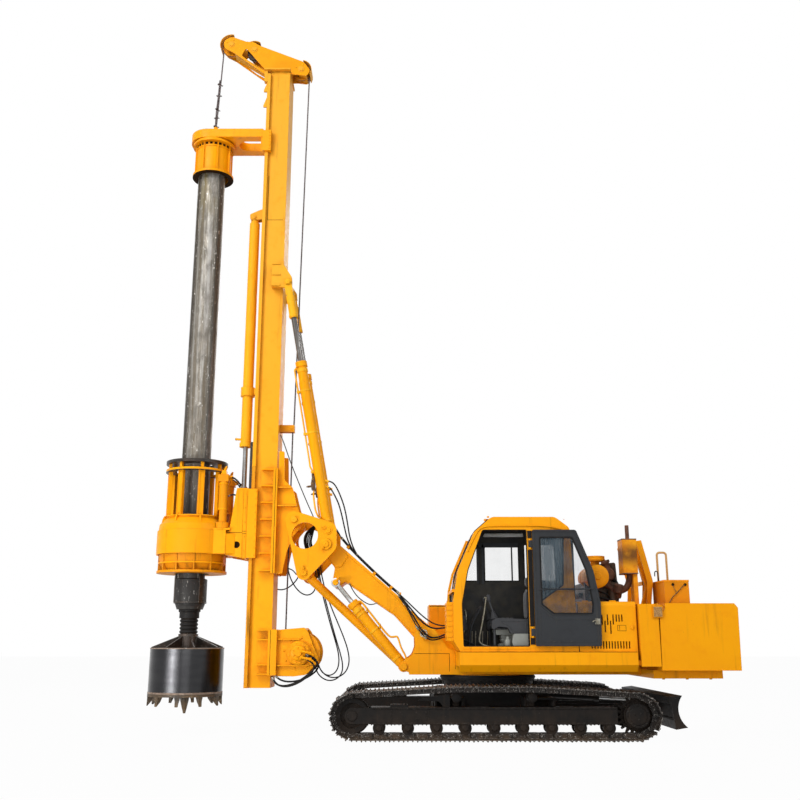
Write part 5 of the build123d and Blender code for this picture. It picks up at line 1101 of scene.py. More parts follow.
for n, y in enumerate((0.7, 0.78, 0.86, 0.94)):   # travel levers with their pedals
    top = (0.18 - 0.02 * (n % 2), y, 1.57 + 0.02 * (n % 2))
    work.pipe([P(0.305, y, 1.14), P(0.3, y, 1.25), P(0.27, y, 1.4), P(top[0] + 0.03, y, top[2] - 0.05), P(*top)],
              0.01, 10)
    work.turned([(0, 0.014), (0.012, 0.02), (0.046, 0.02), (0.056, 0.008), (0.056, 0.001)],
                (X(top[0]) + 0.004, y, top[2] - 0.01), (-0.45, 0, 0.9), 16)
    work.skin([[P(0.24, y - 0.03, 1.15), P(0.24, y + 0.03, 1.15), P(0.24, y + 0.03, 1.16), P(0.24, y - 0.03, 1.16)],
               [P(0.37, y - 0.03, 1.205), P(0.37, y + 0.03, 1.205), P(0.37, y + 0.03, 1.215),
                P(0.37, y - 0.03, 1.215)]])
work.block(P(0.225, 0.625, 1.0976), P(0.368, 1.015, 1.128))
# floor mat with its raised bars, and a gauge box beside the near pillar
work.block(P(-0.44, 0.6, 1.0974), P(0.4, 1.09, 1.101))
for n in range(22):
    work.block(P(-0.02 + 0.018 * n, 0.61, 1.1008), P(-0.012 + 0.018 * n, 1.08, 1.103))
work.plate(rounded(outline((0.3, 1.33), (0.395, 1.33), (0.4, 1.5), (0.33, 1.53)), 0.02), 0.43, 0.6)
work.rod(P(0.37, 0.52, 1.1), P(0.37, 0.52, 1.335), 0.016, 12)
work.done("upper", plastic, replaces=("cab_controls",), slot="cab_plastic")
headliner, w, shader = material("headliner", Roughness=0.8)
feed(clouds(w, 5.0).mix(srgb(250, 250, 246), srgb(226, 224, 216)), shader, "Base Color")
work = Work("cab_headliner")
work.plate(rounded(outline((-0.5, 2.585), (0.06, 2.585), (0.03, 2.632), (-0.5, 2.632)), 0.012), 0.3955, 0.404)
work.done("upper", headliner, slot="cab_plastic")

# long bent steel lever by the door, chrome rods of the pedals, and a grab bar on the far pillar
work = Work("bright_levers")
work.pipe([P(0.088, 1.06, 1.735), P(0.098, 1.06, 1.66), P(0.135, 1.06, 1.45), P(0.19, 1.06, 1.22),
           P(0.18, 1.06, 1.165), P(0.1, 1.06, 1.13), P(-0.05, 1.05, 1.108)], 0.011, 10)
work.block(P(0.06, 1.045, 1.728), P(0.115, 1.075, 1.742))
for x, y in ((0.255, 0.66), (0.215, 0.74), (0.12, 0.7), (0.05, 0.66)):
    work.rod(P(x, y, 1.105), P(x - 0.01, y, 1.32), 0.007, 10)
work.pipe([P(0.345, 0.412, 1.3), P(0.325, 0.45, 1.32), P(0.3, 0.452, 1.55), P(0.315, 0.412, 1.6)], 0.01, 10)
work.done("upper", zinc, slot="cab_plastic")


# ---- Engine bay, air cleaner, exhaust and what stands on the tail --------------------------------
# The upper covers are off: a cast engine with rusty manifolds and oily hoses stands in the open,
# with a drum air cleaner, a soot-stained silencer box on a post, and loose sheet stays behind it.
iron = bare("engine_cast_iron", srgb(74, 56, 38), srgb(52, 36, 24), srgb(132, 116, 92), rough=0.6, metal=0.35,
            scale=10.0, fleck=0.3, pits=1.0)
rust = bare("rusted_pipe", srgb(108, 70, 50), srgb(70, 46, 32), srgb(166, 122, 90), rough=0.75, metal=0.15,
            scale=16.0, fleck=0.3, pits=1.0)
wear("engine_block", iron)
work = Work("engine_dressing")
low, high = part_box("engine_block")
top = high.z
# rocker cover, its nuts and filler, head and manifold
work.plate(rounded([(low.x + 0.06, top - 0.01), (high.x - 0.1, top - 0.01), (high.x - 0.12, top + 0.065),
                    (low.x + 0.08, top + 0.065)], 0.02), -0.36, 0.3)
for n in range(6):
    work.bolt((low.x + 0.17, -0.3 + 0.11 * n, top + 0.064), (0, 0, 1), 0.013)
    work.turned([(0, 0.034), (0.05, 0.034), (0.055, 0.026), (0.055, 0.001)], (high.x + 0.001, -0.36 + 0.14 * n, 1.8),
                (1, 0, 0), 18)
for n in range(9):   # fins and ribs down the block's side facing the door
    x = low.x + 0.03 + 0.048 * n
    work.block((x, high.y - 0.002, 1.1), (x + 0.014, high.y + 0.018, 1.88))
for z in (1.2, 1.52, 1.84):
    work.block((low.x + 0.01, high.y - 0.002, z), (high.x - 0.01, high.y + 0.026, z + 0.02))
work.turned([(0, 0.1), (0.03, 0.115), (0.07, 0.115), (0.09, 0.08), (0.12, 0.075), (0.12, 0.001)],
            (low.x + 0.22, high.y + 0.01, 1.56), (0, 1, 0), 36)
work.turned([(0, 0.058), (0.2, 0.058), (0.21, 0.045), (0.21, 0.001)], (low.x + 0.1, high.y + 0.06, 1.68), (0, 0, 1),
            24)
work.plate(rounded(outline((-1.76, 1.955), (-1.52, 1.955), (-1.53, 2.215), (-1.745, 2.235)), 0.03), 0.24, 0.44)
for n in range(6):
    work.block(P(-1.74 + 0.036 * n, 0.44, 1.975), P(-1.726 + 0.036 * n, 0.452, 2.19))
work.block((low.x + 0.02, high.y + 0.015, 1.905), (high.x - 0.12, high.y + 0.075, 1.95))
work.done("upper", iron, slot="engine_iron")

work = Work("engine_pipes")
# turbocharger and elbows to the silencer
turbo = P(-1.6, 0.62, 2.06)
work.turned([(-0.05, 0.04), (-0.045, 0.07), (-0.015, 0.088), (0.02, 0.088), (0.045, 0.07), (0.05, 0.045)], turbo,
            (0, 1, 0), 30)
work.turned([(0, 0.04), (0.07, 0.036), (0.12, 0.045), (0.13, 0.06), (0.16, 0.06), (0.165, 0.04)],
            (turbo[0] - 0.02, turbo[1], turbo[2] + 0.03), (0.35, 0, 0.94), 22)
work.pipe([P(-1.575, 0.62, 2.0), P(-1.6, 0.62, 1.9), P(-1.66, 0.64, 1.84), P(-1.76, 0.68, 1.84), P(-1.84, 0.74, 1.9),
           P(-1.86, 0.77, 2.05)], 0.042, 16)
for y, z in ((0.7, 1.82), (0.58, 1.76)):
    work.turned([(0, 0.062), (0.02, 0.066), (0.09, 0.066), (0.11, 0.05), (0.11, 0.001)], P(-1.7, y, z),
                (-0.2, 0.2, 0.95), 24)
work.pipe([P(-1.42, 0.56, 1.98), P(-1.48, 0.6, 1.99), P(-1.56, 0.66, 1.92), P(-1.64, 0.68, 1.86)], 0.03, 14)
work.done("upper", rust, slot="engine_iron")

work = Work("engine_hoses")
for line, thick in (
    ([(-1.36, 0.6, 1.72), (-1.42, 0.66, 1.76), (-1.54, 0.68, 1.74), (-1.66, 0.66, 1.7), (-1.72, 0.6, 1.66)], 0.016),
    ([(-1.34, 0.58, 1.88), (-1.44, 0.66, 1.84), (-1.56, 0.7, 1.8), (-1.62, 0.62, 1.72), (-1.6, 0.58, 1.6)], 0.011),
    ([(-1.5, 0.4, 1.97), (-1.62, 0.44, 2.05), (-1.74, 0.5, 1.98), (-1.76, 0.5, 1.8), (-1.72, 0.46, 1.68)], 0.024),
    ([(-1.32, 0.2, 1.97), (-1.4, 0.22, 2.02), (-1.58, 0.2, 2.03), (-1.7, 0.16, 1.99)], 0.014),
):
    work.pipe([P(x, y, z) for x, y, z in line], thick, 12)
work.done("upper", rubber, slot="rubber")

wear("air_cleaner", yellow_low)
work = Work("air_cleaner_bands")
for y in (0.46, 0.74):
    work.turned([(0, 0.1495), (0.001, 0.153), (0.023, 0.153), (0.024, 0.1495)], P(-1.397, y, 2.018), (0, 1, 0), 48)
work.turned([(0, 0.148), (0.012, 0.15), (0.02, 0.142), (0.03, 0.11), (0.034, 0.05), (0.044, 0.04), (0.044, 0.001)],
            P(-1.397, 0.898, 2.018), (0, 1, 0), 48)
work.turned([(0, 0.132), (0.01, 0.142), (0.02, 0.14), (0.055, 0.1), (0.072, 0.04), (0.074, 0.001)],
            P(-1.455, 0.5, 2.246), (0, 0, 1), 40)
work.done("upper", yellow_low)

# silencer: the box is browned by soot and heat round its middle, its pipe rusted
soot, w, shader = material("sooted_enamel", Specular_IOR_Level=0.2)
rounded_normal, rim = soft_edges(w, 0.006)
height = coordinate(w, "Z")
haze = height.between(2.1, 2.3) * (1 - height.between(2.33, 2.47)) * clouds(w, 3.0, 0.1, 0.5) * 0.95
rusty = height.between(2.505, 2.53) * 0.9
feed(rusty.mix((haze + rim * 0.3).math("MINIMUM", 0.9).mix(clouds(w, 8.0).mix(srgb(250, 168, 14), srgb(226, 138, 12)),
    srgb(96, 58, 30)), srgb(104, 58, 46)), shader, "Base Color")
feed(haze * 0.3 + 0.5, shader, "Roughness")
relief(w, shader, clouds(w, 40.0), 0.3, 0.002, rounded_normal)
wear("exhaust", soot)
work = Work("exhaust_tailpipe")
work.turned([(0, 0.0265), (0.105, 0.0265), (0.15, 0.0265), (0.165, 0.0215), (0.06, 0.0215)], P(-1.85, 0.77, 2.535),
            (0, 0, 1), 24)
work.turned([(0, 0.046), (0.01, 0.046), (0.012, 0.027)], P(-1.85, 0.77, 2.511), (0, 0, 1), 24)
for z in (2.049, 2.498):
    band(work, outline((-1.938, 0.638), (-1.742, 0.638), (-1.742, 0.902), (-1.938, 0.902)), 0.004, z, z + 0.014,
         across="Z")
work.done("upper", rust, slot="engine_iron")

# two long loose stays of folded sheet leaning behind the silencer, joined by a bar
work = Work("cover_stays")
for low, high in ((0.54, 0.56), (0.3, 0.32), (-0.32, -0.3), (-0.56, -0.54)):
    work.plate(outline((-2.01, 2.516), (-2.089, 2.522), (-2.213, 1.975), (-2.17, 1.65), (-2.11, 1.65),
                       (-2.135, 1.96)), low, high)
for low, high in ((0.32, 0.54), (-0.54, -0.32)):
    work.skin([[P(-2.089, low, 2.522), P(-2.089, high, 2.522), P(-2.084, high, 2.528), P(-2.084, low, 2.528)],
               [P(-2.213, low, 1.975), P(-2.213, high, 1.975), P(-2.207, high, 1.975), P(-2.207, low, 1.975)],
               [P(-2.172, low, 1.652), P(-2.172, high, 1.652), P(-2.166, high, 1.652), P(-2.166, low, 1.652)]])
work.plate(outline((-2.005, 2.38), (-1.99, 2.372), (-2.12, 1.9), (-2.045, 1.65), (-2.07, 1.65), (-2.146, 1.9)), 0.47,
           0.5)
work.block(P(-2.145, -0.32, 1.935), P(-2.12, 0.32, 1.985))
for y in (0.43, -0.43):
    for z in (1.7, 2.05, 2.42):
        work.bolt((X(-2.163 if z < 1.9 else -2.193 + (z - 2.05) * 0.22), y, z), (-1, 0, 0.15), 0.01)
work.done("upper", yellow, replaces=("hood_plate",))

# box on the counterweight: two cable holes, a bent wire looped between them, folded lid edge
wear("tool_box", painted("box_enamel", srgb(226, 144, 10), srgb(196, 116, 10), PRIMER, MUD, gloss=0.45))
hole_shade, w, shader = material("painted_hole_shade", Roughness=0.95, Specular_IOR_Level=0.05)
feed(clouds(w, 40.0).mix(srgb(16, 12, 9), srgb(34, 24, 14)), shader, "Base Color")
low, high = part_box("tool_box")
# each cable hole is a dark disc on the box's face: painted shade for the inside of the hole
work = Work("tool_box_hole_shade")
for x in (-2.352, -2.512):
    work.turned([(0, 0.019), (0.0012, 0.019)], P(x, high.y - 0.0004, 1.905), (0, 1, 0), 24)
work.done("upper", hole_shade)

work = Work("tool_box_rims")
for x in (-2.352, -2.512):
    work.turned([(0, 0.02), (0.004, 0.02), (0.004, 0.026), (0, 0.026)], P(x, high.y, 1.905), (0, 1, 0), 24,
                closed=True)
band(work, [(low.x - 0.004, low.y - 0.004), (high.x + 0.004, low.y - 0.004), (high.x + 0.004, high.y + 0.004),
            (low.x - 0.004, high.y + 0.004)], 0.006,
     high.z - 0.022, high.z + 0.003, across="Z")
work.done("upper", yellow_low, slot="dark_grey")
bailing, w, shader = material("bailing_wire", Metallic=0.6)
feed(clouds(w, 60.0).mix(srgb(120, 100, 70), srgb(64, 50, 36)), shader, "Base Color")
feed(clouds(w, 60.0) * 0.2 + 0.4, shader, "Roughness")
work = Work("tool_box_wire")
work.pipe([P(-2.512, high.y - 0.004, 1.905), P(-2.505, high.y + 0.01, 1.903), P(-2.47, high.y + 0.014, 1.88),
           P(-2.4, high.y + 0.01, 1.8), P(-2.345, high.y + 0.012, 1.76), P(-2.3, high.y + 0.01, 1.69),
           P(-2.29, high.y + 0.008, 1.668)], 0.005, 8)
work.pipe([P(-2.352, high.y - 0.004, 1.905), P(-2.35, high.y + 0.008, 1.896), P(-2.365, high.y + 0.009, 1.85),
           P(-2.392, high.y + 0.009, 1.79)], 0.003, 8)
work.done("upper", bailing, slot="dark_grey")
worn_rail = painted("worn_rail_paint", srgb(222, 180, 116), srgb(196, 146, 84), srgb(150, 140, 120),
                    srgb(150, 110, 60), gloss=0.5, chips=0.7)
wear("grab_rail", worn_rail)
work = Work("small_handle")
work.pipe([P(-2.255, 0.7, 1.65), P(-2.255, 0.7, 1.8), P(-2.25, 0.7, 2.07), P(-2.24, 0.7, 2.095),
           P(-2.215, 0.7, 2.098), P(-2.205, 0.7, 2.075), P(-2.205, 0.7, 2.03)], 0.007, 8)
work.done("upper", rubber, slot="dark_grey")


# ---- Boom, tie rod and lifting cylinders ---------------------------------------------------------
# A welded box boom with doubler plates at its tip, a round tie rod below it that keeps the link head
# level, and two lifting cylinders with steel pipes clamped along them.


def pin_end(work, x, z, y, radius, keeper=None, ring=1.5):
    """A pin's end with its boss ring and grease nipple, and a keeper plate held by two bolts."""
    side = 1 if y > 0 else -1
    out = (0, side, 0)
    work.turned([(-0.004, radius * ring), (0.004, radius * ring), (0.008, radius * ring - 0.005),
                 (0.008, radius * 0.9)], P(x, y, z), out, 36)
    work.turned([(0, radius), (0.016, radius), (0.022, radius * 0.88), (0.022, 0.002)], P(x, y, z), out, 30)
    work.bolt(P(x, y + side * 0.021, z), out, 0.007)
    if keeper is not None:
        c, s = cos(keeper), sin(keeper)
        flat = [(x + (a * c - b * s) * radius, z + (a * s + b * c) * radius)
                for a, b in ((0.5, -0.42), (2.1, -0.42), (2.25, 0), (2.1, 0.42), (0.5, 0.42))]
        work.plate(outline(*flat), y + side * 0.01, y + side * 0.026)
        for a in (1.05, 1.8):
            work.bolt(P(x + a * c * radius, y + side * 0.026, z + a * s * radius), out, 0.011)


def bead(work, points, y, size=0.005):
    """A weld along points of a side face."""
    weld(work, [P(x, y, z) for x, z in points], size)


chrome_dark = bare("oiled_chrome", srgb(120, 116, 112), srgb(58, 50, 46), srgb(225, 225, 222), rough=0.22, metal=1.0,
                   grain=(1, 1, 0.2), fleck=0.2, scale=10.0, pits=0.1)
for node, finish in (("boom", yellow), ("tie_rod", yellow), ("boom_cylinder_barrels", yellow),
                     ("mast_cylinder_barrels", yellow), ("link_head", yellow), ("mast_bracket", yellow),
                     ("mast", yellow_tall), ("mast_head", yellow), ("winch_housing", yellow),
                     ("feed_cylinder_barrel", yellow_pale), ("boom_cylinder_rods", chrome),
                     ("mast_cylinder_rods", chrome_dark), ("feed_cylinder_rod", chrome)):
    wear(node, finish)

BOOM_SIDE = 0.2155   # from the middle to a weld on the boom's side plate
work = Work("boom_fittings")
for side in (1, -1):
    work.plate(outline((1.93, 2.335), (2.02, 2.19), (2.09, 2.185), (2.265, 2.405), (2.285, 2.52), (2.19, 2.56),
                       (2.06, 2.48)), side * 0.214, side * 0.2225)
    work.plate(outline((1.03, 1.31), (1.24, 1.545), (1.3, 1.6), (1.18, 1.7), (1.13, 1.63), (0.85, 1.39), (0.8, 1.3)),
               side * 0.214, side * 0.2225)
    work.turned([(0, 0.105), (0.018, 0.105), (0.024, 0.098), (0.024, 0.002)], P(2.22, side * 0.2215, 2.482),
                (0, side, 0), 40)
    pin_end(work, 2.085, 1.97, side * 0.362, 0.04, keeper=2.2, ring=1.0)
    bead(work, ((1.985, 2.395), (1.28, 1.8), (1.215, 1.735), (1.17, 1.65), (0.85, 1.405)), side * BOOM_SIDE)
    bead(work, ((1.045, 1.3), (1.295, 1.565), (1.945, 2.0), (2.04, 1.94)), side * BOOM_SIDE)
    bead(work, ((1.93, 2.335), (2.02, 2.19), (2.09, 2.185)), side * 0.223, 0.0055)
    pin_end(work, 2.22, 2.482, side * 0.48, 0.045, keeper=-0.9, ring=1.75)
for x, z in ((1.93, 2.462), (1.56, 2.1), (1.33, 1.905)):   # saddle clamps over the hoses along the back
    slope = Vector((0.766, 0, 0.643))
    middle = Vector(P(x, 0.123, z))
    for y in (0.06, 0.186):
        work.bolt(middle + Vector((0, y - 0.123, 0.006)), (-0.643, 0, 0.766), 0.01)
    work.skin([[middle + slope * a + Vector((-0.643, 0, 0.766)) * b + Vector((0, y, 0)) for y, b in
                ((-0.075, -0.012), (0.075, -0.012), (0.075, 0.006), (0.045, 0.034), (-0.045, 0.034), (-0.075, 0.006))]
               for a in (-0.02, 0.02)])
work.done("boom", yellow)


def cylinder_trim(name, foot, eye, y, barrel, radius, pipe, clamps, count):
    """Glands, pipes and clamps on a pair of cylinders, by distances along and beside each one's axis."""
    foot, eye = Vector((foot[0], 0, foot[1])), Vector((eye[0], 0, eye[1]))
    along = (eye - foot).normalized()
    front = Vector((along.z, 0, -along.x))
    work = Work(name)
    for side in (1, -1):
        def at(a, b, out=0.0, side=side):
            place = foot + along * a + front * b
            return P(place.x, side * (y + out), place.z)
        ring_of_bolts(work, at(barrel, 0), along, radius * 0.84, count, 0.01)
        work.turned([(0, radius), (0.004, radius * 1.1), (0.05, radius * 1.1), (0.055, radius)], at(barrel - 0.16, 0),
                    along, 40)
        work.turned([(0, radius), (0.002, radius * 1.06), (0.03, radius * 1.06), (0.034, radius)], at(0.13, 0), along,
                    40)
        work.pipe([at(a, b, out) for a, b, out in pipe], 0.0125, 12)
        for a, b, out in (pipe[0], pipe[-1]):
            work.turned([(0, 0.024), (0.022, 0.024), (0.026, 0.02), (0.048, 0.02)], at(a, b * 0.78, out * 0.6),
                        front * (1 if b > 0 else -1), 6)
        beyond = 1 if pipe[1][1] > 0 else -1
        for a in clamps:
            work.turned([(-0.014, radius + 0.005), (0.014, radius + 0.005)], at(a, 0), along, 40)
            work.block(at(a - 0.022, beyond * (radius - 0.004), -0.026),
                       at(a + 0.022, beyond * (radius + 0.052), 0.026))
    return work


work = cylinder_trim("boom_cylinder_trim", (1.151, 0.861), (2.085, 1.97), 0.3, 1.1, 0.068,
                     [(1.045, -0.062, 0), (1.045, -0.1, 0), (1.02, -0.108, 0), (0.7, -0.1, 0), (0.42, -0.095, 0),
                      (0.38, -0.15, 0), (0.36, -0.185, 0), (0.32, -0.18, 0), (0.2, -0.125, 0), (0.08, -0.11, 0),
                      (0.04, -0.08, 0)], (0.62, 0.9), 8)
work.done("boom_barrels", yellow_pale)
CYLINDER_OUT = 0.35   # from the middle to each mast cylinder
work = cylinder_trim("mast_cylinder_trim", (2.195, 2.67), (2.863, 6.351), CYLINDER_OUT, 2.49, 0.072,
                     [(2.4, 0.066, 0), (2.4, 0.105, 0), (2.37, 0.112, 0), (1.9, 0.106, 0), (1.2, 0.106, 0),
                      (0.98, 0.106, 0.01), (0.93, 0.11, 0.03), (0.86, 0.078, 0.03)], (2.05, 1.42), 10)
for side in (1, -1):   # second pipe to the foot, below the valve block
    work.pipe([P(2.395, side * CYLINDER_OUT, 3.27), P(2.42, side * 0.352, 3.22), P(2.398, side * 0.352, 3.05),
               P(2.372, side * 0.352, 2.92), P(2.33, side * 0.352, 2.86)], 0.0125, 12)
    for z in (3.375, 3.293):
        work.turned([(0, 0.026), (0.03, 0.026), (0.034, 0.02), (0.06, 0.02)], P(2.262, side * CYLINDER_OUT, z),
                    (-1, 0, -0.1), 6)
work.done("mast_barrels", yellow_pale)
oily = bare("oily_valve", srgb(96, 62, 26), srgb(48, 34, 20), srgb(196, 150, 60), rough=0.5, metal=0.3, scale=22.0)
work = Work("load_holding_valves")
for side in (1, -1):
    work.plate(outline((2.386, 3.235), (2.44, 3.245), (2.452, 3.33), (2.436, 3.44), (2.402, 3.44)), side * 0.315,
               side * 0.388)
    for z in (3.275, 3.335, 3.395):
        work.bolt(P(2.418, side * 0.388, z), (0, side, 0), 0.012)
    work.turned([(0, 0.02), (0.045, 0.02), (0.05, 0.014), (0.066, 0.014)], P(2.425, side * CYLINDER_OUT, 3.43),
                (0.1, 0, 1), 6)
    work.turned([(0, 0.017), (0.05, 0.017), (0.054, 0.011), (0.07, 0.011)], P(2.446, side * CYLINDER_OUT, 3.3),
                (1, 0, -0.1), 6)
work.done("mast_barrels", oily, slot="dark_grey")

work = Work("mast_rod_ends")
for side, y in ((1, 0.401), (-1, -0.299)):
    pin_end(work, 2.863, 6.351, y, 0.036, ring=1.25)
    work.turned([(0, 0.06), (0.002, 0.066), (0.026, 0.066), (0.028, 0.06)], P(2.768, side * CYLINDER_OUT, 5.815),
                (0.17856, 0, 0.98393), 32)
work.done("mast_rods", yellow_pale)

work = Work("mast_rod_sleeves")   # the yellow sleeve and fork over the bright rod
for side in (1, -1):
    work.rod(P(2.7628, side * CYLINDER_OUT, 5.7996), P(2.8372, side * CYLINDER_OUT, 6.209), 0.0612, 40)
    for low, high in ((0.0198, 0.0385), (-0.0385, -0.0198)):
        work.skin([[P(2.863 + 0.0566 * cos(a), side * CYLINDER_OUT + y, 6.351 + 0.0566 * sin(a))
                    for a in (pi * n / 12 for n in range(-1, 14))]
                   + [P(2.774, side * CYLINDER_OUT + y, 6.166), P(2.885, side * CYLINDER_OUT + y, 6.146)]
                   for y in (low, high)])
work.done("mast_rods", yellow_pale)


# ---- Link head -----------------------------------------------------------------------------------
# Two thick triangular plates with a round lightening hole, joined by pins: boom tip, tie rod,
# mast and mast cylinders all meet here. Keeper plates and boss rings are bolted or welded on.
work = Work("link_head_fittings")
for side in (1, -1):
    pin_end(work, 2.516, 2.093, side * 0.4605, 0.045, keeper=1.45, ring=1.35)
    pin_end(work, 2.195, 2.67, side * 0.4605, 0.04, keeper=0.55, ring=1.55)
    work.ring(0.18, 0.1935, -0.03, P(2.51, side * 0.43, 2.6), (0, side, 0), 56)
    weld(work, [P(2.51 + 0.197 * cos(a), side * 0.428, 2.6 + 0.197 * sin(a))
                for a in (pi * n / 20 for n in range(41))], 0.005)
for y in (-0.4215, -0.3925):
    for x in (2.362, 2.446, 2.616, 2.644):
        work.bolt(P(x, y, 2.341), (0, 0, 1), 0.008)
work.done("link_head", yellow)


# ---- Mast, saddle, head and winch ----------------------------------------------------------------
# A square box section with two machined rails, clamped by a ribbed saddle. The winch sits on its back
# low down, and at the top a triangular head carries the sheaves. Rails are greasy, worn and rusty.
work = Work("mast_fittings")
for side in (1, -1):
    bead(work, ((3.2475, 0.6), (3.2475, 9.9)), side * 0.242, 0.0045)
    pin_end(work, 2.665, 2.819, side * 0.48, 0.045, ring=1.0)
    y = side * 0.268
    for z, back in ((3.29, 2.73), (3.03, 2.655)):   # stiffeners outside the side plates
        work.block(P(back, y, z - 0.008), P(2.924, side * 0.335, z + 0.008))
    for n in range(7):
        z = 2.135 + 0.235 * n
        bead(work, ((2.99, z + 0.01), (3.15, z + 0.01)), side * 0.243, 0.0045)
        if n < 6:
            work.bolt(P(2.985, side * 0.322, z + 0.118), (1, 0, 0), 0.015)
            work.bolt(P(2.924, side * 0.322, z + 0.118), (-1, 0, 0), 0.015)
    for z in (0.8, 1.05, 1.29):
        work.bolt(P(2.985, side * 0.32, z), (1, 0, 0), 0.015)
        work.bolt(P(2.866, side * 0.32, z), (-1, 0, 0), 0.015)
    # stops for the guide, cleats on the rail and the block below the cap
    for z in (9.33, 9.6):
        work.plate(outline((3.3005, z), (3.352, z + 0.004), (3.352, z + 0.026), (3.3005, z + 0.17)), side * 0.255,
                   side * 0.285)
    work.block(P(3.3005, side * 0.2, 9.79), P(3.352, side * 0.28, 9.984))
    for z in (6.48, 6.65, 6.31):
        bead(work, ((2.985, z + 0.012), (3.105, z + 0.012)), side * 0.243, 0.0045)
    bead(work, ((2.955, 9.978), (3.245, 9.978)), side * 0.243, 0.006)
for y in (0.06, -0.06):
    pin_end(work, 2.79, 4.2, y, 0.018, ring=2.0)
work.turned([(-0.018, 0.034), (-0.012, 0.024), (0.012, 0.024), (0.018, 0.034)], P(2.79, 0, 4.2), (0, 1, 0), 24)
for y in (-0.034, 0.034):
    pin_end(work, 3.458, 7.548, math.copysign(0.06, y), 0.03, ring=1.5)
work.done("mast", yellow_tall)
gapped = Work("mast_gaps")
for side in (1, -1):
    seam(gapped, side * 0.3555, 0.007, (2.9515, 2.1), (2.9515, 3.555), proud=0.001)
    seam(gapped, side * 0.3505, 0.006, (2.9515, 0.75), (2.9515, 1.34), proud=0.001)
    seam(gapped, side * 0.2405, 0.006, (2.99, 7.42), (3.225, 7.42), (3.225, 8.16), proud=0.001)
gapped.done("mast", gap_black)
rail_wear = painted("worn_rail", srgb(236, 158, 20), srgb(196, 118, 14), srgb(40, 28, 18), srgb(58, 36, 16),
                    gloss=0.5, edges=0.012, streaks=0.9, chips=2.2, grime_and_shade=1.0, peel=0.6)
work = Work("mast_rails")   # the machined strips, rubbed and rusted where the drive runs
for side in (1, -1):
    work.skin([[P(x, side * y, z) for x, y in ((3.2496, 0.2905), (3.3004, 0.2905), (3.3004, 0.1896),
        (3.2496, 0.1896))]
               for z in (0.585, 3.6)])
work.done("mast", rail_wear)

work = Work("mast_head_fittings")
FRONT_WHEEL, MIDDLE_WHEEL, REAR_WHEEL = (3.934, 10.566), (3.559, 10.471), (2.792, 10.11)   # the sheaves' axles
for x, z in (FRONT_WHEEL, MIDDLE_WHEEL, REAR_WHEEL):
    for side in (1, -1):
        work.turned([(0, 0.052), (0.006, 0.052), (0.006, 0.034), (0.016, 0.034), (0.016, 0.002)],
                    P(x, side * 0.1275, z), (0, side, 0), 28)
        if (x, z) != MIDDLE_WHEEL:
            for a in (0.4, 2.0):
                work.bolt(P(x + 0.082 * cos(a), side * 0.128, z + 0.082 * sin(a)), (0, side, 0), 0.009)
for (x, z), r, start, end in ((FRONT_WHEEL, 0.185, -0.3, 1.75), (REAR_WHEEL, 0.168, 1.75, 3.7),
                              (MIDDLE_WHEEL, 0.16, 1.1, 2.2)):
    arc, inner_arc = ([(x + reach * cos(start + (end - start) * n / 14),
                        z + reach * sin(start + (end - start) * n / 14))
                       for n in range(15)] for reach in (r, r - 0.008))
    work.skin([[P(a[0], -0.1295, a[1]), P(a[0], 0.1295, a[1]), P(b[0], 0.1295, b[1]), P(b[0], -0.1295, b[1])] for a,
               b in zip(arc, inner_arc)])
for a, b in (((3.33, 10.06), (3.88, 10.42)), ((2.83, 10.03), (2.7, 10.0))):   # lower chord's flange
    work.skin([[P(x, y, z + h) for y, h in ((-0.1095, 0), (0.1095, 0), (0.1095, 0.01), (-0.1095, 0.01))] for x,
               z in (a, b)])
for y in (0.1285, -0.1285):
    bead(work, ((2.95, 10.022), (3.35, 10.022)), y, 0.006)
work.done("mast", yellow_tall)
for node, finish in (("sheave_front", yellow_low), ("sheave_middle", worn_steel), ("sheave_rear", yellow_low),
                     ("winch_drum", yellow_low)):
    wear(node, finish)

work = Work("winch_fittings")
for side in (1, -1):
    out = (0, side, 0)
    for z, back, front in ((1.215, 2.56, 2.86), (0.872, 2.42, 2.86)):
        work.block(P(back, side * 0.284, z - 0.007), P(front, side * 0.33, z + 0.007))
    middle = P(2.568, side * 0.33, 1.036)
    work.turned([(0, 0.15), (0.012, 0.15), (0.018, 0.142), (0.018, 0.104), (0.048, 0.1), (0.056, 0.088),
                 (0.056, 0.05), (0.072, 0.044), (0.072, 0.002)],
                middle, out, 48)
    ring_of_bolts(work, P(2.568, side * 0.342, 1.036), out, 0.128, 12, 0.012)
    ring_of_bolts(work, P(2.568, side * 0.386, 1.036), out, 0.07, 6, 0.01, spin=0.3)
    for a in (0.15, 0.95, 1.75, 2.55, 3.35, 4.15, 4.95, 5.75):
        work.bolt(P(2.568 + 0.205 * cos(a), side * 0.285, 1.036 + 0.205 * sin(a)), out, 0.013)
    for z in (0.98, 1.06):   # motor ports with their elbows
        work.pipe([P(2.52, side * 0.385, z), P(2.51, side * 0.425, z), P(2.47, side * 0.432, z - 0.01),
                   P(2.4, side * 0.43, z - 0.02), P(2.365, side * 0.42, z - 0.05)], 0.016, 12)
        work.turned([(0, 0.026), (0.024, 0.026), (0.028, 0.02)], P(2.52, side * 0.384, z), out, 6)
        work.turned([(0, 0.022), (0.03, 0.022)], P(2.415, side * 0.43, z - 0.018), (-1, 0, -0.3), 6)
work.done("mast", yellow)

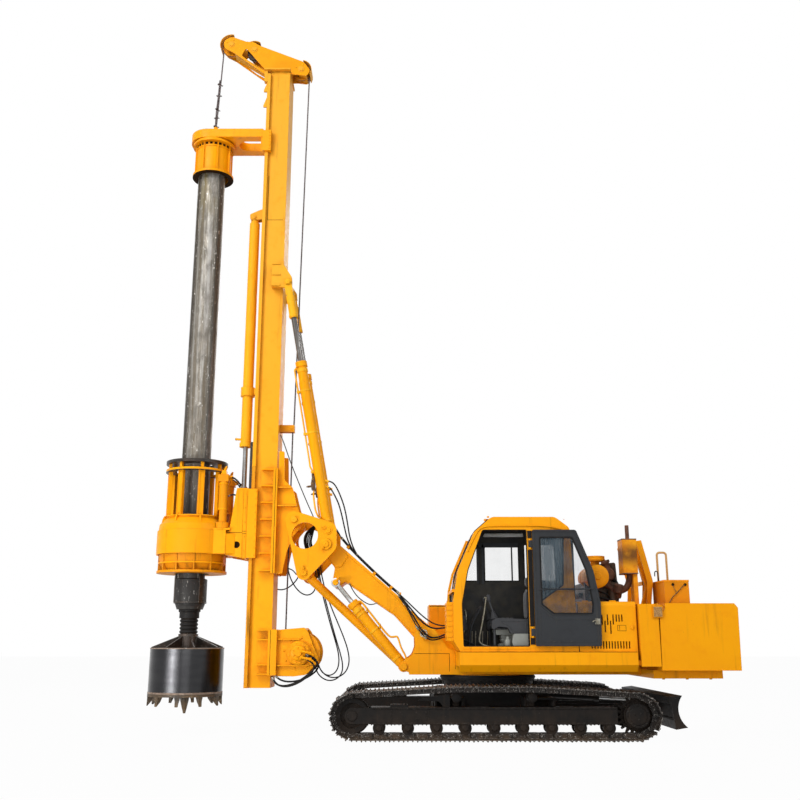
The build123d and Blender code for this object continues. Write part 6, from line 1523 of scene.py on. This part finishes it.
work = Work("feed_cylinder_fittings")
ring_of_bolts(work, P(3.453, 0, 3.93), (0, 0, -1), 0.066, 8, 0.009)
for z in (4.7, 4.82):
    work.turned([(-0.004, 0.1), (0, 0.1035), (0.006, 0.1035), (0.01, 0.078)], P(3.453, 0, z - 0.003),
                (0, 0, 1 if z > 4.75 else -1), 40)
work.rod(P(3.52, 0, 4.045), P(3.6, 0, 4.05), 0.016, 12)
work.bolt(P(3.596, 0, 4.05), (1, 0, 0), 0.018)
work.block(P(3.3, -0.05, 4.715), P(3.36, 0.05, 4.805))
work.done("mast", yellow_pale)


# ---- Rotary drive --------------------------------------------------------------------------------
# A cast gear case on a carriage that slides on the mast rails, turned by two motors. A cage of flat
# posts on it carries the guide ring for the kelly bar. Grease and drilled soil gather round the bore.
for node, finish in (("drive_carriage", yellow), ("drive_gearbox", yellow), ("drive_lower_housing", yellow_low),
                     ("drive_cage", yellow), ("drive_motors", yellow_low), ("kelly_guide", yellow)):
    wear(node, finish)
KELLY = X(4.14)
hub = Vector((KELLY, 0, 0))


def spoke(angle):
    """The directions straight out from the kelly's axis at this angle, and square to that."""
    return Vector((cos(angle), sin(angle), 0)), Vector((-sin(angle), cos(angle), 0))


greasy = bare("greasy_steel", srgb(38, 34, 30), srgb(58, 40, 26), srgb(140, 132, 122), rough=0.42, metal=0.5,
              scale=20.0, fleck=0.35)
work = Work("cage_top_ring")
work.ring(0.2446, 0.4368, 0.0425, (KELLY, 0, 3.6488), (0, 0, 1), 72)
work.ring(0.33, 0.438, -0.006, (KELLY, 0, 3.5395), (0, 0, 1), 72)
ring_of_bolts(work, (KELLY, 0, 3.6912), (0, 0, 1), 0.34, 16, 0.013)
work.turned([(0, 0.2405), (0, 0.262), (0.03, 0.262), (0.034, 0.2405)], (KELLY, 0, 2.9), (0, 0, 1), 64, closed=True)
work.done("rotary_drive", greasy, slot="dark_grey")

work = Work("drive_fittings")
for n in range(8):
    a = pi / 4 * (n + 0.5)
    out, flat = spoke(a)
    # a curved gusset from the case's shoulder up to each post's foot
    curve = [(0.398, 2.9), (0.43, 2.898), (0.448, 2.86), (0.462, 2.79), (0.486, 2.722), (0.486, 2.705), (0.398, 2.76)]
    work.skin([[hub + out * r + flat * side + Vector((0, 0, z)) for r, z in curve] for side in (-0.011, 0.011)])
    for side in (-0.03, 0.03):   # each post is a channel: two edges stand out from it
        work.skin([[hub + out * r + flat * (side + t) + Vector((0, 0, z)) for r,
                    t in ((0.344, -0.006), (0.402, -0.006), (0.402, 0.006), (0.344, 0.006))]
                   for z in (2.9005, 3.5395)])
    for z in (2.925, 3.52):
        work.bolt(hub + out * 0.3955 + Vector((0, 0, z)), out, 0.01)
work.turned([(0, 0.399), (0, 0.428), (0.014, 0.428), (0.018, 0.399)], (KELLY, 0, 2.888), (0, 0, 1), 72, closed=True)
ring_of_bolts(work, (KELLY, 0, 2.3632), (0, 0, -1), 0.485, 40, 0.009)
ring_of_bolts(work, (KELLY, 0, 2.1402), (0, 0, 1), 0.462, 24, 0.01, spin=0.1)
work.turned([(0, 0.448), (0, 0.47), (0.022, 0.47), (0.022, 0.452)], (KELLY, 0, 2.234), (0, 0, 1), 72, closed=True)
for side in (1, -1):
    # lid over the gears with its bolts, and the box's corner welds
    work.block(P(3.565, side * 0.285, 2.6905), P(3.845, side * 0.352, 2.716))
    for n in range(5):
        work.bolt(P(3.585 + 0.058 * n, side * 0.335, 2.716), (0, 0, 1), 0.012)
    work.ring(0.1065, 0.128, 0.02, P(3.7, side * 0.24, 2.6905), (0, 0, 1), 40)
    ring_of_bolts(work, P(3.7, side * 0.24, 2.71), (0, 0, 1), 0.118, 10, 0.009)
    for z in (2.98, 3.34):
        work.turned([(0, 0.062), (0.002, 0.068), (0.022, 0.068), (0.024, 0.062)], P(3.7, side * 0.24, z), (0, 0, 1),
                    32)
    work.plate(outline((3.652, 3.48), (3.74, 3.48), (3.72, 3.545), (3.672, 3.545)), side * 0.2, side * 0.28)
    work.turned([(0, 0.02), (0.04, 0.02), (0.046, 0.014), (0.064, 0.014)], P(3.69, side * 0.24, 3.545), (-0.4, 0, 1),
                8)
    for z in (3.42, 3.45):
        work.turned([(0, 0.02), (0.04, 0.02), (0.044, 0.015), (0.06, 0.015)], P(3.63, side * (0.21 + (z - 3.42)), z),
                    (-1, 0, 0.1), 8)
    # fairing from the box to the carriage's cheek
    work.plate(outline((3.642, 0.3596 * side), (3.5, 0.302 * side), (3.5, 0.2985 * side), (3.642, 0.2985 * side)),
               2.3635, 2.64, across="Z")
    bead(work, ((3.625, 2.364), (3.88, 2.364)), side * 0.358, 0.005)
    # carriage: cover strip, cleats and a row of bolts down the wear pads
    y = side * 0.298
    work.block(P(3.345, y, 2.3), P(3.395, y + side * 0.006, 3.28))
    for n in range(10):
        work.bolt(P(3.222, side * 0.3305, 2.345 + 0.0985 * n), (0, side, 0), 0.009)
    for n in range(5):
        work.bolt(P(3.37, side * 0.304, 2.4 + 0.2 * n), (0, side, 0), 0.008)
    bead(work, ((3.402, 2.31), (3.402, 3.275)), y, 0.004)
work.done("rotary_drive", yellow)
gapped = Work("drive_gaps")
for side in (1, -1):
    seam(gapped, side * 0.2985, 0.007, (3.3395, 2.3), (3.3395, 3.284), proud=0.001)
    for z in (2.64, 2.676):
        seam(gapped, side * 0.3045, 0.006, (3.34, z), (3.398, z), proud=0.001)
    seam(gapped, side * 0.2985, 0.006, (3.402, 2.658), (3.61, 2.658), proud=0.001)
    gapped.turned([(0, 0.047), (0.001, 0.047)], P(3.475, side * 0.268, 2.489), (0, side, 0), 32)
gapped.done("rotary_drive", gap_black)

work = Work("rail_wipers")   # long greased pads that run ahead of the carriage on the rails
for side in (1, -1):
    work.plate(rounded(outline((3.3012, 3.272), (3.338, 3.272), (3.338, 3.95), (3.3012, 3.95)),
                       [0.001, 0.001, 0.03, 0.001]), side * 0.205, side * 0.285)
work.done("rotary_drive", greasy, slot="dark_grey")
drain = [(3.632, 0.215, 3.424), (3.59, 0.214, 3.42), (3.545, 0.205, 3.395), (3.5, 0.19, 3.345), (3.47, 0.18, 3.29)]
supply = [(3.632, 0.24, 3.452), (3.575, 0.245, 3.448), (3.51, 0.245, 3.4), (3.46, 0.235, 3.335), (3.43, 0.225, 3.29)]
link = [(3.64, 0.2, 3.18), (3.59, 0.205, 3.205), (3.53, 0.21, 3.2), (3.48, 0.215, 3.15), (3.43, 0.22, 3.12),
        (3.365, 0.22, 3.11)]
for number, (points, side, thick) in enumerate(((drain, 1, 0.014), (supply, 1, 0.024), (drain, -1, 0.014),
    (supply, -1, 0.024), (link, 1, 0.022)), 1):
    hose(f"drive_hose_{number}", [(x, side * y, z) for x, y, z in points], thick, "rotary_drive")


# ---- Kelly guide, kelly bar and bucket -----------------------------------------------------------
# Rolled tubes with welded key bars slide inside each other. The keys are darkened as painted shade, with bright lines
# down their edges that are scraped steel and a painted highlight;
# the tubes are grey and rusty elsewhere, with grease below the drive. The bucket is a rolled shell, polished by the
# soil.
work = Work("kelly_guide_fittings")
for n in range(24):   # slots of the bearing's cage under the cone
    a = 2 * pi * n / 24
    out, flat = spoke(a)
    work.skin([[Vector((KELLY, 0, 8.7)) + out * r + flat * t + Vector((0, 0, z))
                for t, z in ((-0.02, 0), (0.02, 0), (0.02, 0.034), (-0.02, 0.034))] for r in (0.2663, 0.2682)])
work.turned([(-0.004, 0.3155), (0, 0.3155), (0, 0.231), (-0.004, 0.231)], (KELLY, 0, 8.2248), (0, 0, 1), 64,
            closed=True)
work.done("kelly_guide", gap_black)

work = Work("kelly_guide_bolts")
for side in (1, -1):
    for n in range(6):
        work.bolt(P(3.225, side * 0.3305, 8.585 + 0.056 * n), (0, side, 0), 0.01)
    bead(work, ((3.345, 8.808), (4.1, 8.808)), side * 0.296, 0.005)
work.ring(0.268, 0.2745, 0.02, (KELLY, 0, 8.668), (0, 0, 1), 64)
work.turned([(0, 0.062), (0.004, 0.072), (0.03, 0.072), (0.034, 0.062)], (KELLY, 0, 8.945), (0, 0, 1), 32)
work.turned([(-0.028, 0.034), (-0.028, 0.04), (0.028, 0.04), (0.028, 0.034)], (KELLY, 0, 9.06), (0, 1, 0), 24,
            closed=True)
work.done("kelly_guide", yellow)

kelly_steel, w, shader = material("kelly_bar_steel", Specular_IOR_Level=0.4)
rounded_normal, _ = soft_edges(w, 0.004)
axes = w.node("SeparateXYZ", {0: place_on(w)}).socket.node
away_x = Wire(w.tree, axes.outputs["X"]) - KELLY
height = Wire(w.tree, axes.outputs["Z"])
across_y = Wire(w.tree, axes.outputs["Y"])
radius = (away_x * away_x + across_y * across_y).math("SQRT")
key_bar_shade = radius.between(0.188, 0.196)
streak = clouds(w, 2.2, 0.38, 0.62, stretch=(5, 5, 0.16), detail=8.0, rough=0.7)
mottle = clouds(w, 12.0, 0.4, 0.62, stretch=(1, 1, 0.3), detail=8.0, rough=0.75)
scratch = clouds(w, 30.0, 0.6, 0.68, stretch=(1.4, 1.4, 0.35), detail=5.0, rough=0.7)
olive = height.between(6.9, 8.3) * clouds(w, 2.4, 0.45, 0.65, stretch=(2, 2, 0.5), detail=6.0)
greased = 1 - height.between(2.9, 3.9)
base = streak.mix(srgb(178, 175, 170), srgb(112, 102, 86))
base = (mottle * 0.55).mix(base, srgb(78, 72, 62))
base = (olive * 0.7).mix(base, srgb(128, 112, 62))
# the key bars, standing out past this radius, are darkened: painted shade for the dark lines that the keys throw
base = (key_bar_shade * 0.75 * (1 - scratch)).mix(base, srgb(44, 38, 33))
base = (scratch * 0.8).mix(base, srgb(212, 210, 204))
base = (greased * (1 - scratch * 0.5) * 0.92).mix(base, srgb(25, 22, 20))
feed(base, shader, "Base Color")
feed((1 - mottle) * 0.35 + scratch * 0.4, shader, "Metallic")
feed(mottle * 0.2 - scratch * 0.15 + 0.42, shader, "Roughness")
relief(w, shader, mottle * 0.5 + scratch * 0.4 + clouds(w, 90.0) * 0.3, 0.5, 0.003, rounded_normal)
for node in ("kelly_outer", "kelly_middle"):
    wear(node, kelly_steel)
spring_black = painted("spring_black", srgb(30, 28, 27), srgb(16, 15, 14), srgb(104, 88, 70), srgb(74, 58, 42),
                       gloss=0.5, chips=0.9, grime_and_shade=0.7)
wear("kelly_inner", spring_black)
work = Work("kelly_key_bars")   # bright lines down both sides of every key bar: scraped steel, and a painted highlight along each edge
for degrees in (20, 140, 260):
    a = radians(degrees)
    out, flat = spoke(a)
    for side in (-1, 1):
        weld(work, [Vector((KELLY, 0, z)) + out * 0.188 + flat * side * 0.0335 for z in (2.04, 8.59)], 0.0065)
work.done("kelly_outer", bare("key_weld", srgb(120, 112, 100), srgb(52, 46, 38), srgb(232, 228, 222), rough=0.4,
                              metal=0.5, scale=8.0, fleck=1.2), slot="kelly_steel")

work = Work("kelly_collar")
for degrees in (20, 140, 260):   # drive keys standing out from the lower collar
    a = radians(degrees)
    out, flat = spoke(a)
    work.skin([[Vector((KELLY, 0, z)) + out * r + flat * t for r,
                t in ((0.215, -0.034), (0.229, -0.03), (0.229, 0.03), (0.215, 0.034))] for z in (1.715, 2.07)])
work.ring(0.2225, 0.2265, 0.02, (KELLY, 0, 1.702), (0, 0, 1), 64)
work.done("kelly_outer", greasy, slot="kelly_steel")

soil = srgb(112, 92, 68)
polished, w, shader = material("polished_shell", Metallic=1.0, Specular_IOR_Level=0.5)
rounded_normal, _ = soft_edges(w, 0.004)
height = coordinate(w, "Z")
rubbed = clouds(w, 2.0, 0.35, 0.65, stretch=(1, 1, 6), detail=6.0)
inside = 1 - w.node("SeparateXYZ", {0: w.node("NewGeometry", out="Normal")}, out="Z").math("ABSOLUTE").between(0.5,
    0.7)
base = rubbed.mix((0.047, 0.047, 0.049), (0.038, 0.038, 0.04))
base = ((1 - inside) * clouds(w, 10.0, 0.2, 0.7)).mix(base, srgb(58, 48, 38))
base = ((1 - height.between(0.5, 0.53)) * clouds(w, 20.0, 0.3, 0.6) * 0.6).mix(base, soil)
feed(base, shader, "Base Color")
feed(rubbed * 0.05 + 0.19 + (1 - inside) * 0.4, shader, "Roughness")
relief(w, shader, clouds(w, 60.0, 0.3, 0.7, stretch=(1, 1, 12)), 0.15, 0.001, rounded_normal)
wear("bucket_shell", polished)
teeth_steel = bare("tooth_steel", srgb(46, 40, 34), srgb(104, 82, 56), srgb(158, 146, 124), rough=0.55, metal=0.5,
                   scale=16.0, fleck=0.5, low=(0.36, 0.46, srgb(110, 88, 62)))
wear("bucket_bottom", teeth_steel)
work = Work("bucket_neck")
for n in range(8):   # dark gussets over the CAD ribs, with a weld at every foot
    a = radians(45 * n + 22.5)
    out, flat = spoke(a)
    outline_rz = ((0.1345, 1.1004), (0.4915, 1.1004), (0.4915, 1.114), (0.1345, 1.2575))
    work.skin([[hub + out * r + flat * side + Vector((0, 0, z)) for r, z in outline_rz]
               for side in (-0.0078, 0.0078)])
    for side in (-0.011, 0.011):
        weld(work, [hub + out * 0.15 + flat * side + Vector((0, 0, 1.103)),
                    hub + out * 0.48 + flat * side + Vector((0, 0, 1.103))], 0.006)
work.turned([(0, 0.1352), (0, 0.1372), (0.15, 0.1372), (0.156, 0.1352)], (KELLY, 0, 1.1005), (0, 0, 1), 48,
            closed=True)
work.ring(0.496, 0.136, 0.003, (KELLY, 0, 1.1), (0, 0, 1), 72)
work.done("kelly_inner", greasy, slot="bucket_steel")

work = Work("spring_seat")
work.turned([(0, 0.113), (0, 0.136), (0.03, 0.136), (0.034, 0.113)], (KELLY, 0, 1.256), (0, 0, 1), 48, closed=True)
work.done("kelly_inner", worn_steel, slot="spring_steel")
ring_rust = bare("rusty_ring", srgb(142, 124, 108), srgb(96, 70, 52), srgb(196, 186, 172), rough=0.6, metal=0.2,
                 scale=20.0, fleck=0.6)
work = Work("bucket_rims")
work.turned([(0, 0.5006), (0.001, 0.5032), (0.024, 0.5032), (0.026, 0.5006)], (KELLY, 0, 0.502), (0, 0, 1), 96)
work.ring(0.4985, 0.5025, 0.012, (KELLY, 0, 1.0895), (0, 0, 1), 96)
work.done("kelly_inner", ring_rust, greasy, slot="bucket_rust")

work = Work("bucket_teeth")   # pointed teeth with cast holders, in their CAD places, and the stepped pilot
square = ((-1, -1), (0.93, -1), (0.93, 1), (-1, 1))
for n in range(10):
    a = radians(36 * n + 18)
    out, flat = spoke(a)
    rows = [[(0.462 + p * 0.042, q * 0.034, 0.472) for p, q in square],
            [(0.47 + p * 0.042 * 0.72, q * 0.034 * 0.62, 0.41) for p, q in square],
            [(0.498 + p * 0.006, q * 0.01, 0.348) for p, q in ((-1, -1), (1, -1), (1, 1), (-1, 1))]]
    work.skin([[hub + out * r + flat * t + Vector((0, 0, z)) for r, t, z in row] for row in rows])
for n in range(3):   # spiral flats on the pilot
    a = 2 * pi * n / 3
    work.skin([[Vector((KELLY, 0, z)) + Vector((cos(a + t + twist), sin(a + t + twist), 0)) * r for t,
                r in ((-0.5, s * 0.9), (0, s * 1.12), (0.5, s * 0.9))]
               for z, s, twist in ((0.468, 0.062, 0.0), (0.4, 0.053, 0.3), (0.3, 0.032, 0.7), (0.244, 0.015, 1.0))])
work.ring(0.494, 0.5035, 0.0265, (KELLY, 0, 0.4698), (0, 0, 1), 96)
work.done("bucket_bottom", teeth_steel, slot="bucket_rust")


# ---- Ropes ---------------------------------------------------------------------------------------
# One wire rope runs from the winch drum up behind the mast, over the three sheaves and down to the
# kelly's swivel, where it is doubled back and held by rope clamps. It is grey, dry and taut.
wire, w, shader = material("wire_rope", Metallic=0.55)
feed(clouds(w, 50.0).mix(srgb(122, 112, 114), srgb(66, 58, 56)), shader, "Base Color")
feed(clouds(w, 50.0) * 0.2 + 0.4, shader, "Roughness")


def rope(work, line, radius=0.011, lay=0.12):
    """Six strands laid round a heart: a twisted, lobed form along the line."""
    points = [Vector(line[0])]
    for a, b in zip(line, line[1:]):
        a, b = Vector(a), Vector(b)
        count = max(1, int((b - a).length / 0.02))
        points += [a.lerp(b, (n + 1) / count) for n in range(count)]
    rings, travelled = [], 0.0
    for n, (here, across, other) in enumerate(untwisted(points)):
        travelled += (here - points[n - 1]).length if n else 0.0
        turn = travelled / lay * 2 * pi
        rings.append([here + (across * cos(a + turn) + other * sin(a + turn)) * radius * (1.1 if k % 2 else 0.82)
                      for k, a in enumerate(circle(12))])
    work.skin(rings)


def over(start, wheels, end):
    """A taut line in the mast's plane over grooved wheels, all on its left-hand side when going back."""
    points, turns = [Vector(start)], [Vector((x, z, r)) for x, z, r in wheels]
    here = 0.0
    for n, wheel in enumerate(turns):
        if n + 1 < len(turns):
            gap = turns[n + 1].xy - wheel.xy
            lean = math.acos((wheel.z - turns[n + 1].z) / gap.length)
            leave = math.atan2(gap.y, gap.x) - lean
        else:
            leave = pi
        for k in range(13):
            a = here + (leave - here) * k / 12
            points.append(Vector(P(wheel.x + wheel.z * cos(a), 0, wheel.y + wheel.z * sin(a))))
        here = leave
    return points + [Vector(end)]


run = over(P(4.086, 0, 10.52), ((*FRONT_WHEEL, 0.139), (*MIDDLE_WHEEL, 0.114), (*REAR_WHEEL, 0.124)),
           P(2.668, 0, 10.06))
work = Work("rope_over_head")
rope(work, run + [Vector(P(2.7565, 0, 4.215)), Vector(P(2.77, 0, 4.15)), Vector(P(2.7905, 0, 1.06))])
work.done("mast", wire, slot="dark_grey")

work = Work("rope_on_drum")
coils = [Vector((X(2.568) + 0.2115 * cos(a), -0.212 + 0.0212 * a / (2 * pi), 1.036 + 0.2115 * sin(a)))
         for a in (2 * pi * n / 40 for n in range(801))]
work.tube(coils, 0.0105, 6)
work.done("winch_drum", wire, slot="drum_steel")

work = Work("rope_fall_upper")
rope(work, [P(4.0735, 0, 10.54), P(4.098, 0, 9.95)])
work.done(("mast", "rotary_drive"), wire, slot="dark_grey", blend=(P(4.09, 0, 10.52), P(4.1, 0, 9.97)))

work = Work("rope_fall_lower")
rope(work, [P(4.098, 0, 9.952), P(4.136, 0, 9.09)])
rope(work, [P(4.115, 0, 9.985), P(4.126, 0.006, 9.7), P(4.146, 0, 9.4), P(4.15, 0, 9.11)])
work.done(("rotary_drive", "kelly_guide"), wire, slot="dark_grey", blend=(P(4.1, 0, 9.93), P(4.12, 0, 9.2)))
clamp_iron = bare("clamp_iron", srgb(74, 62, 60), srgb(52, 38, 32), srgb(140, 134, 130), rough=0.55, metal=0.4,
                  scale=40.0)
work = Work("rope_clamps")
for x, z, turn in ((4.133, 9.15, 0.3), (4.128, 9.3, -0.5), (4.12, 9.455, 0.9), (4.11, 9.7, -0.2),
                   (4.101, 9.905, 0.6)):
    middle = Vector(P(x + 0.01, 0, z))
    out, flat = Vector((cos(turn), sin(turn), 0.12)), Vector((-sin(turn), cos(turn), 0))
    work.skin([[middle + out * r + flat * t + Vector((0, 0, side)) for r,
                t in ((-0.018, -0.012), (0.024, -0.016), (0.024, 0.016), (-0.018, 0.012))]
               for side in (-0.011, 0.011)])
    for t in (-0.011, 0.011):
        work.turned([(-0.05, 0.005), (0.034, 0.005)], middle + flat * t, out, 8)
        work.turned([(0.024, 0.01), (0.036, 0.01)], middle + flat * t, out, 6)
work.done(("rotary_drive", "kelly_guide"), clamp_iron, slot="dark_grey", blend=(P(4.1, 0, 9.93), P(4.12, 0, 9.2)))


# ---- Other hydraulic hoses -----------------------------------------------------------------------
# Hoses that only dress the machine: loops from the mast cylinders' valves to the boom, the bundle that
# passes through the link head's hole, the tails under the winch, and a line from the rope guide.
for number, points in enumerate((
    [(2.228, 0.35, 3.376), (2.165, 0.35, 3.368), (2.105, 0.345, 3.31), (2.04, 0.33, 3.18), (1.975, 0.3, 3.0),
     (1.935, 0.27, 2.79), (1.905, 0.235, 2.6), (1.85, 0.195, 2.44), (1.79, 0.165, 2.348)],
    [(2.213, 0.35, 3.292), (2.175, 0.35, 3.274), (2.12, 0.34, 3.18), (2.06, 0.32, 3.06), (2.015, 0.29, 2.9),
     (1.975, 0.255, 2.72), (1.935, 0.215, 2.56), (1.87, 0.18, 2.44), (1.815, 0.16, 2.372)],
), 1):
    hose(f"mast_cylinder_hose_{number}", points, 0.02, ("link_head", "mast_barrels"),
         blend=(P(1.95, 0, 2.75), P(2.14, 0, 3.3)))
for number, (end, spread) in enumerate(((2.364, 0.0), (2.392, 0.012), (2.412, 0.03), (2.448, 0.048), (2.46, 0.066),
    (2.478, 0.074), (2.492, 0.082), (2.508, 0.09)), 1):
    hose(f"link_bundle_{number}", [(2.03, 0.146 - 0.8 * spread, 2.61 - 0.1 * spread),
        (2.1, 0.12 - 0.8 * spread, 2.72 + 0.3 * spread), (2.22, 0.05 - 0.9 * spread, 2.815 + 0.2 * spread),
        (2.34, -0.1 - 0.4 * spread, 2.85), (2.44, -0.215, 2.8 + 0.2 * spread),
        (2.47 + 0.9 * spread, -0.27, 2.69 + 0.6 * spread), (2.5 + 1.2 * spread, -0.305, 2.58 + 0.5 * spread),
        ((end + 2.53 + spread) / 2, -0.345, 2.45), (end, -0.385, 2.385), (end, -0.405, 2.342)],
         0.018, ("boom", "link_head"), blend=(P(2.05, 0, 2.6), P(2.22, 0, 2.75)))
# the rest of the bundle along the boom
for number, (side, lift) in enumerate(((0.078, 0.008), (0.123, 0.021), (0.17, 0.008)), 1):
    hose(f"boom_bundle_{number}", [(x, side, z + lift) for x,
        z in ((2.026, 2.592), (1.93, 2.48), (1.815, 2.36), (1.69, 2.24), (1.56, 2.117),
                                                                    (1.42, 1.99), (1.3, 1.888), (1.216, 1.822))],
         0.022, "boom")
for number, points in enumerate((
    [(0.5273, 0.42, 1.372), (0.61, 0.42, 1.366), (0.71, 0.424, 1.352), (0.82, 0.43, 1.378), (0.93, 0.424, 1.47),
     (1.03, 0.385, 1.59), (1.13, 0.32, 1.712), (1.214, 0.24, 1.812)],
    [(0.5273, 0.47, 1.285), (0.6, 0.474, 1.28), (0.7, 0.484, 1.236), (0.8, 0.5, 1.236), (0.9, 0.5, 1.318),
     (0.975, 0.478, 1.44), (1.06, 0.42, 1.58), (1.14, 0.34, 1.7), (1.224, 0.262, 1.8)],
), 1):
    hose(f"boom_foot_line_{number}", points, 0.022, ("upper", "boom"), blend=(P(0.7, 0, 1.3), P(1.05, 0, 1.5)))
for number, points in enumerate((
    [(2.466, 0.386, 1.016), (2.4, 0.415, 1.0), (2.33, 0.4, 0.955), (2.3, 0.385, 0.9), (2.345, 0.375, 0.83),
     (2.43, 0.365, 0.76), (2.53, 0.35, 0.685), (2.65, 0.33, 0.628), (2.78, 0.31, 0.605), (2.88, 0.29, 0.64),
     (2.915, 0.275, 0.7)],
    [(2.474, 0.388, 0.97), (2.41, 0.425, 0.94), (2.34, 0.415, 0.88), (2.36, 0.4, 0.8), (2.45, 0.385, 0.72),
     (2.56, 0.365, 0.648), (2.7, 0.34, 0.6), (2.82, 0.32, 0.612), (2.89, 0.3, 0.67), (2.92, 0.29, 0.725)],
    [(2.468, 0.345, 0.985), (2.39, 0.365, 0.975), (2.31, 0.375, 0.915), (2.29, 0.365, 0.845), (2.36, 0.35, 0.77),
     (2.47, 0.33, 0.705), (2.6, 0.305, 0.668), (2.74, 0.28, 0.662), (2.84, 0.262, 0.7), (2.88, 0.262, 0.74)],
), 1):
    hose(f"winch_tail_{number}", points, 0.024, "mast")
hose("guide_line", [(2.948, 0.0, 4.115), (2.905, -0.01, 4.02), (2.79, -0.02, 3.7), (2.6, -0.06, 3.255),
                    (2.48, -0.12, 2.99), (2.41, -0.16, 2.838)],
     0.014, ("link_head", "mast"), blend=(P(2.44, 0, 2.85), P(2.75, 0, 3.6)))
hose("saddle_line", [(2.912, -0.36, 2.262), (2.88, -0.366, 2.24), (2.82, -0.372, 2.212), (2.745, -0.38, 2.185),
                     (2.7, -0.385, 2.12)], 0.016, "mast")
hose("gland_line", [(1.902, 0.232, 1.972), (1.87, 0.24, 1.9), (1.795, 0.246, 1.79), (1.68, 0.246, 1.702),
                    (1.59, 0.242, 1.668), (1.517, 0.234, 1.7)], 0.014, "boom")
work = Work("boom_foot_fittings")   # a ring clamp and two couplings where the hoses cross the boom's foot
work.ring(0.034, 0.052, 0.02, P(0.878, 0.462, 1.29), (0.3, 1, 0.2), 28)
for x, z in ((0.845, 1.225), (0.95, 1.345)):
    work.turned([(0, 0.02), (0.036, 0.02), (0.04, 0.015), (0.064, 0.015)], P(x, 0.485 - 0.06 * (z - 1.2), z),
                (0.62, 0, 0.78), 6)
work.done("upper", zinc, slot="dark_grey")
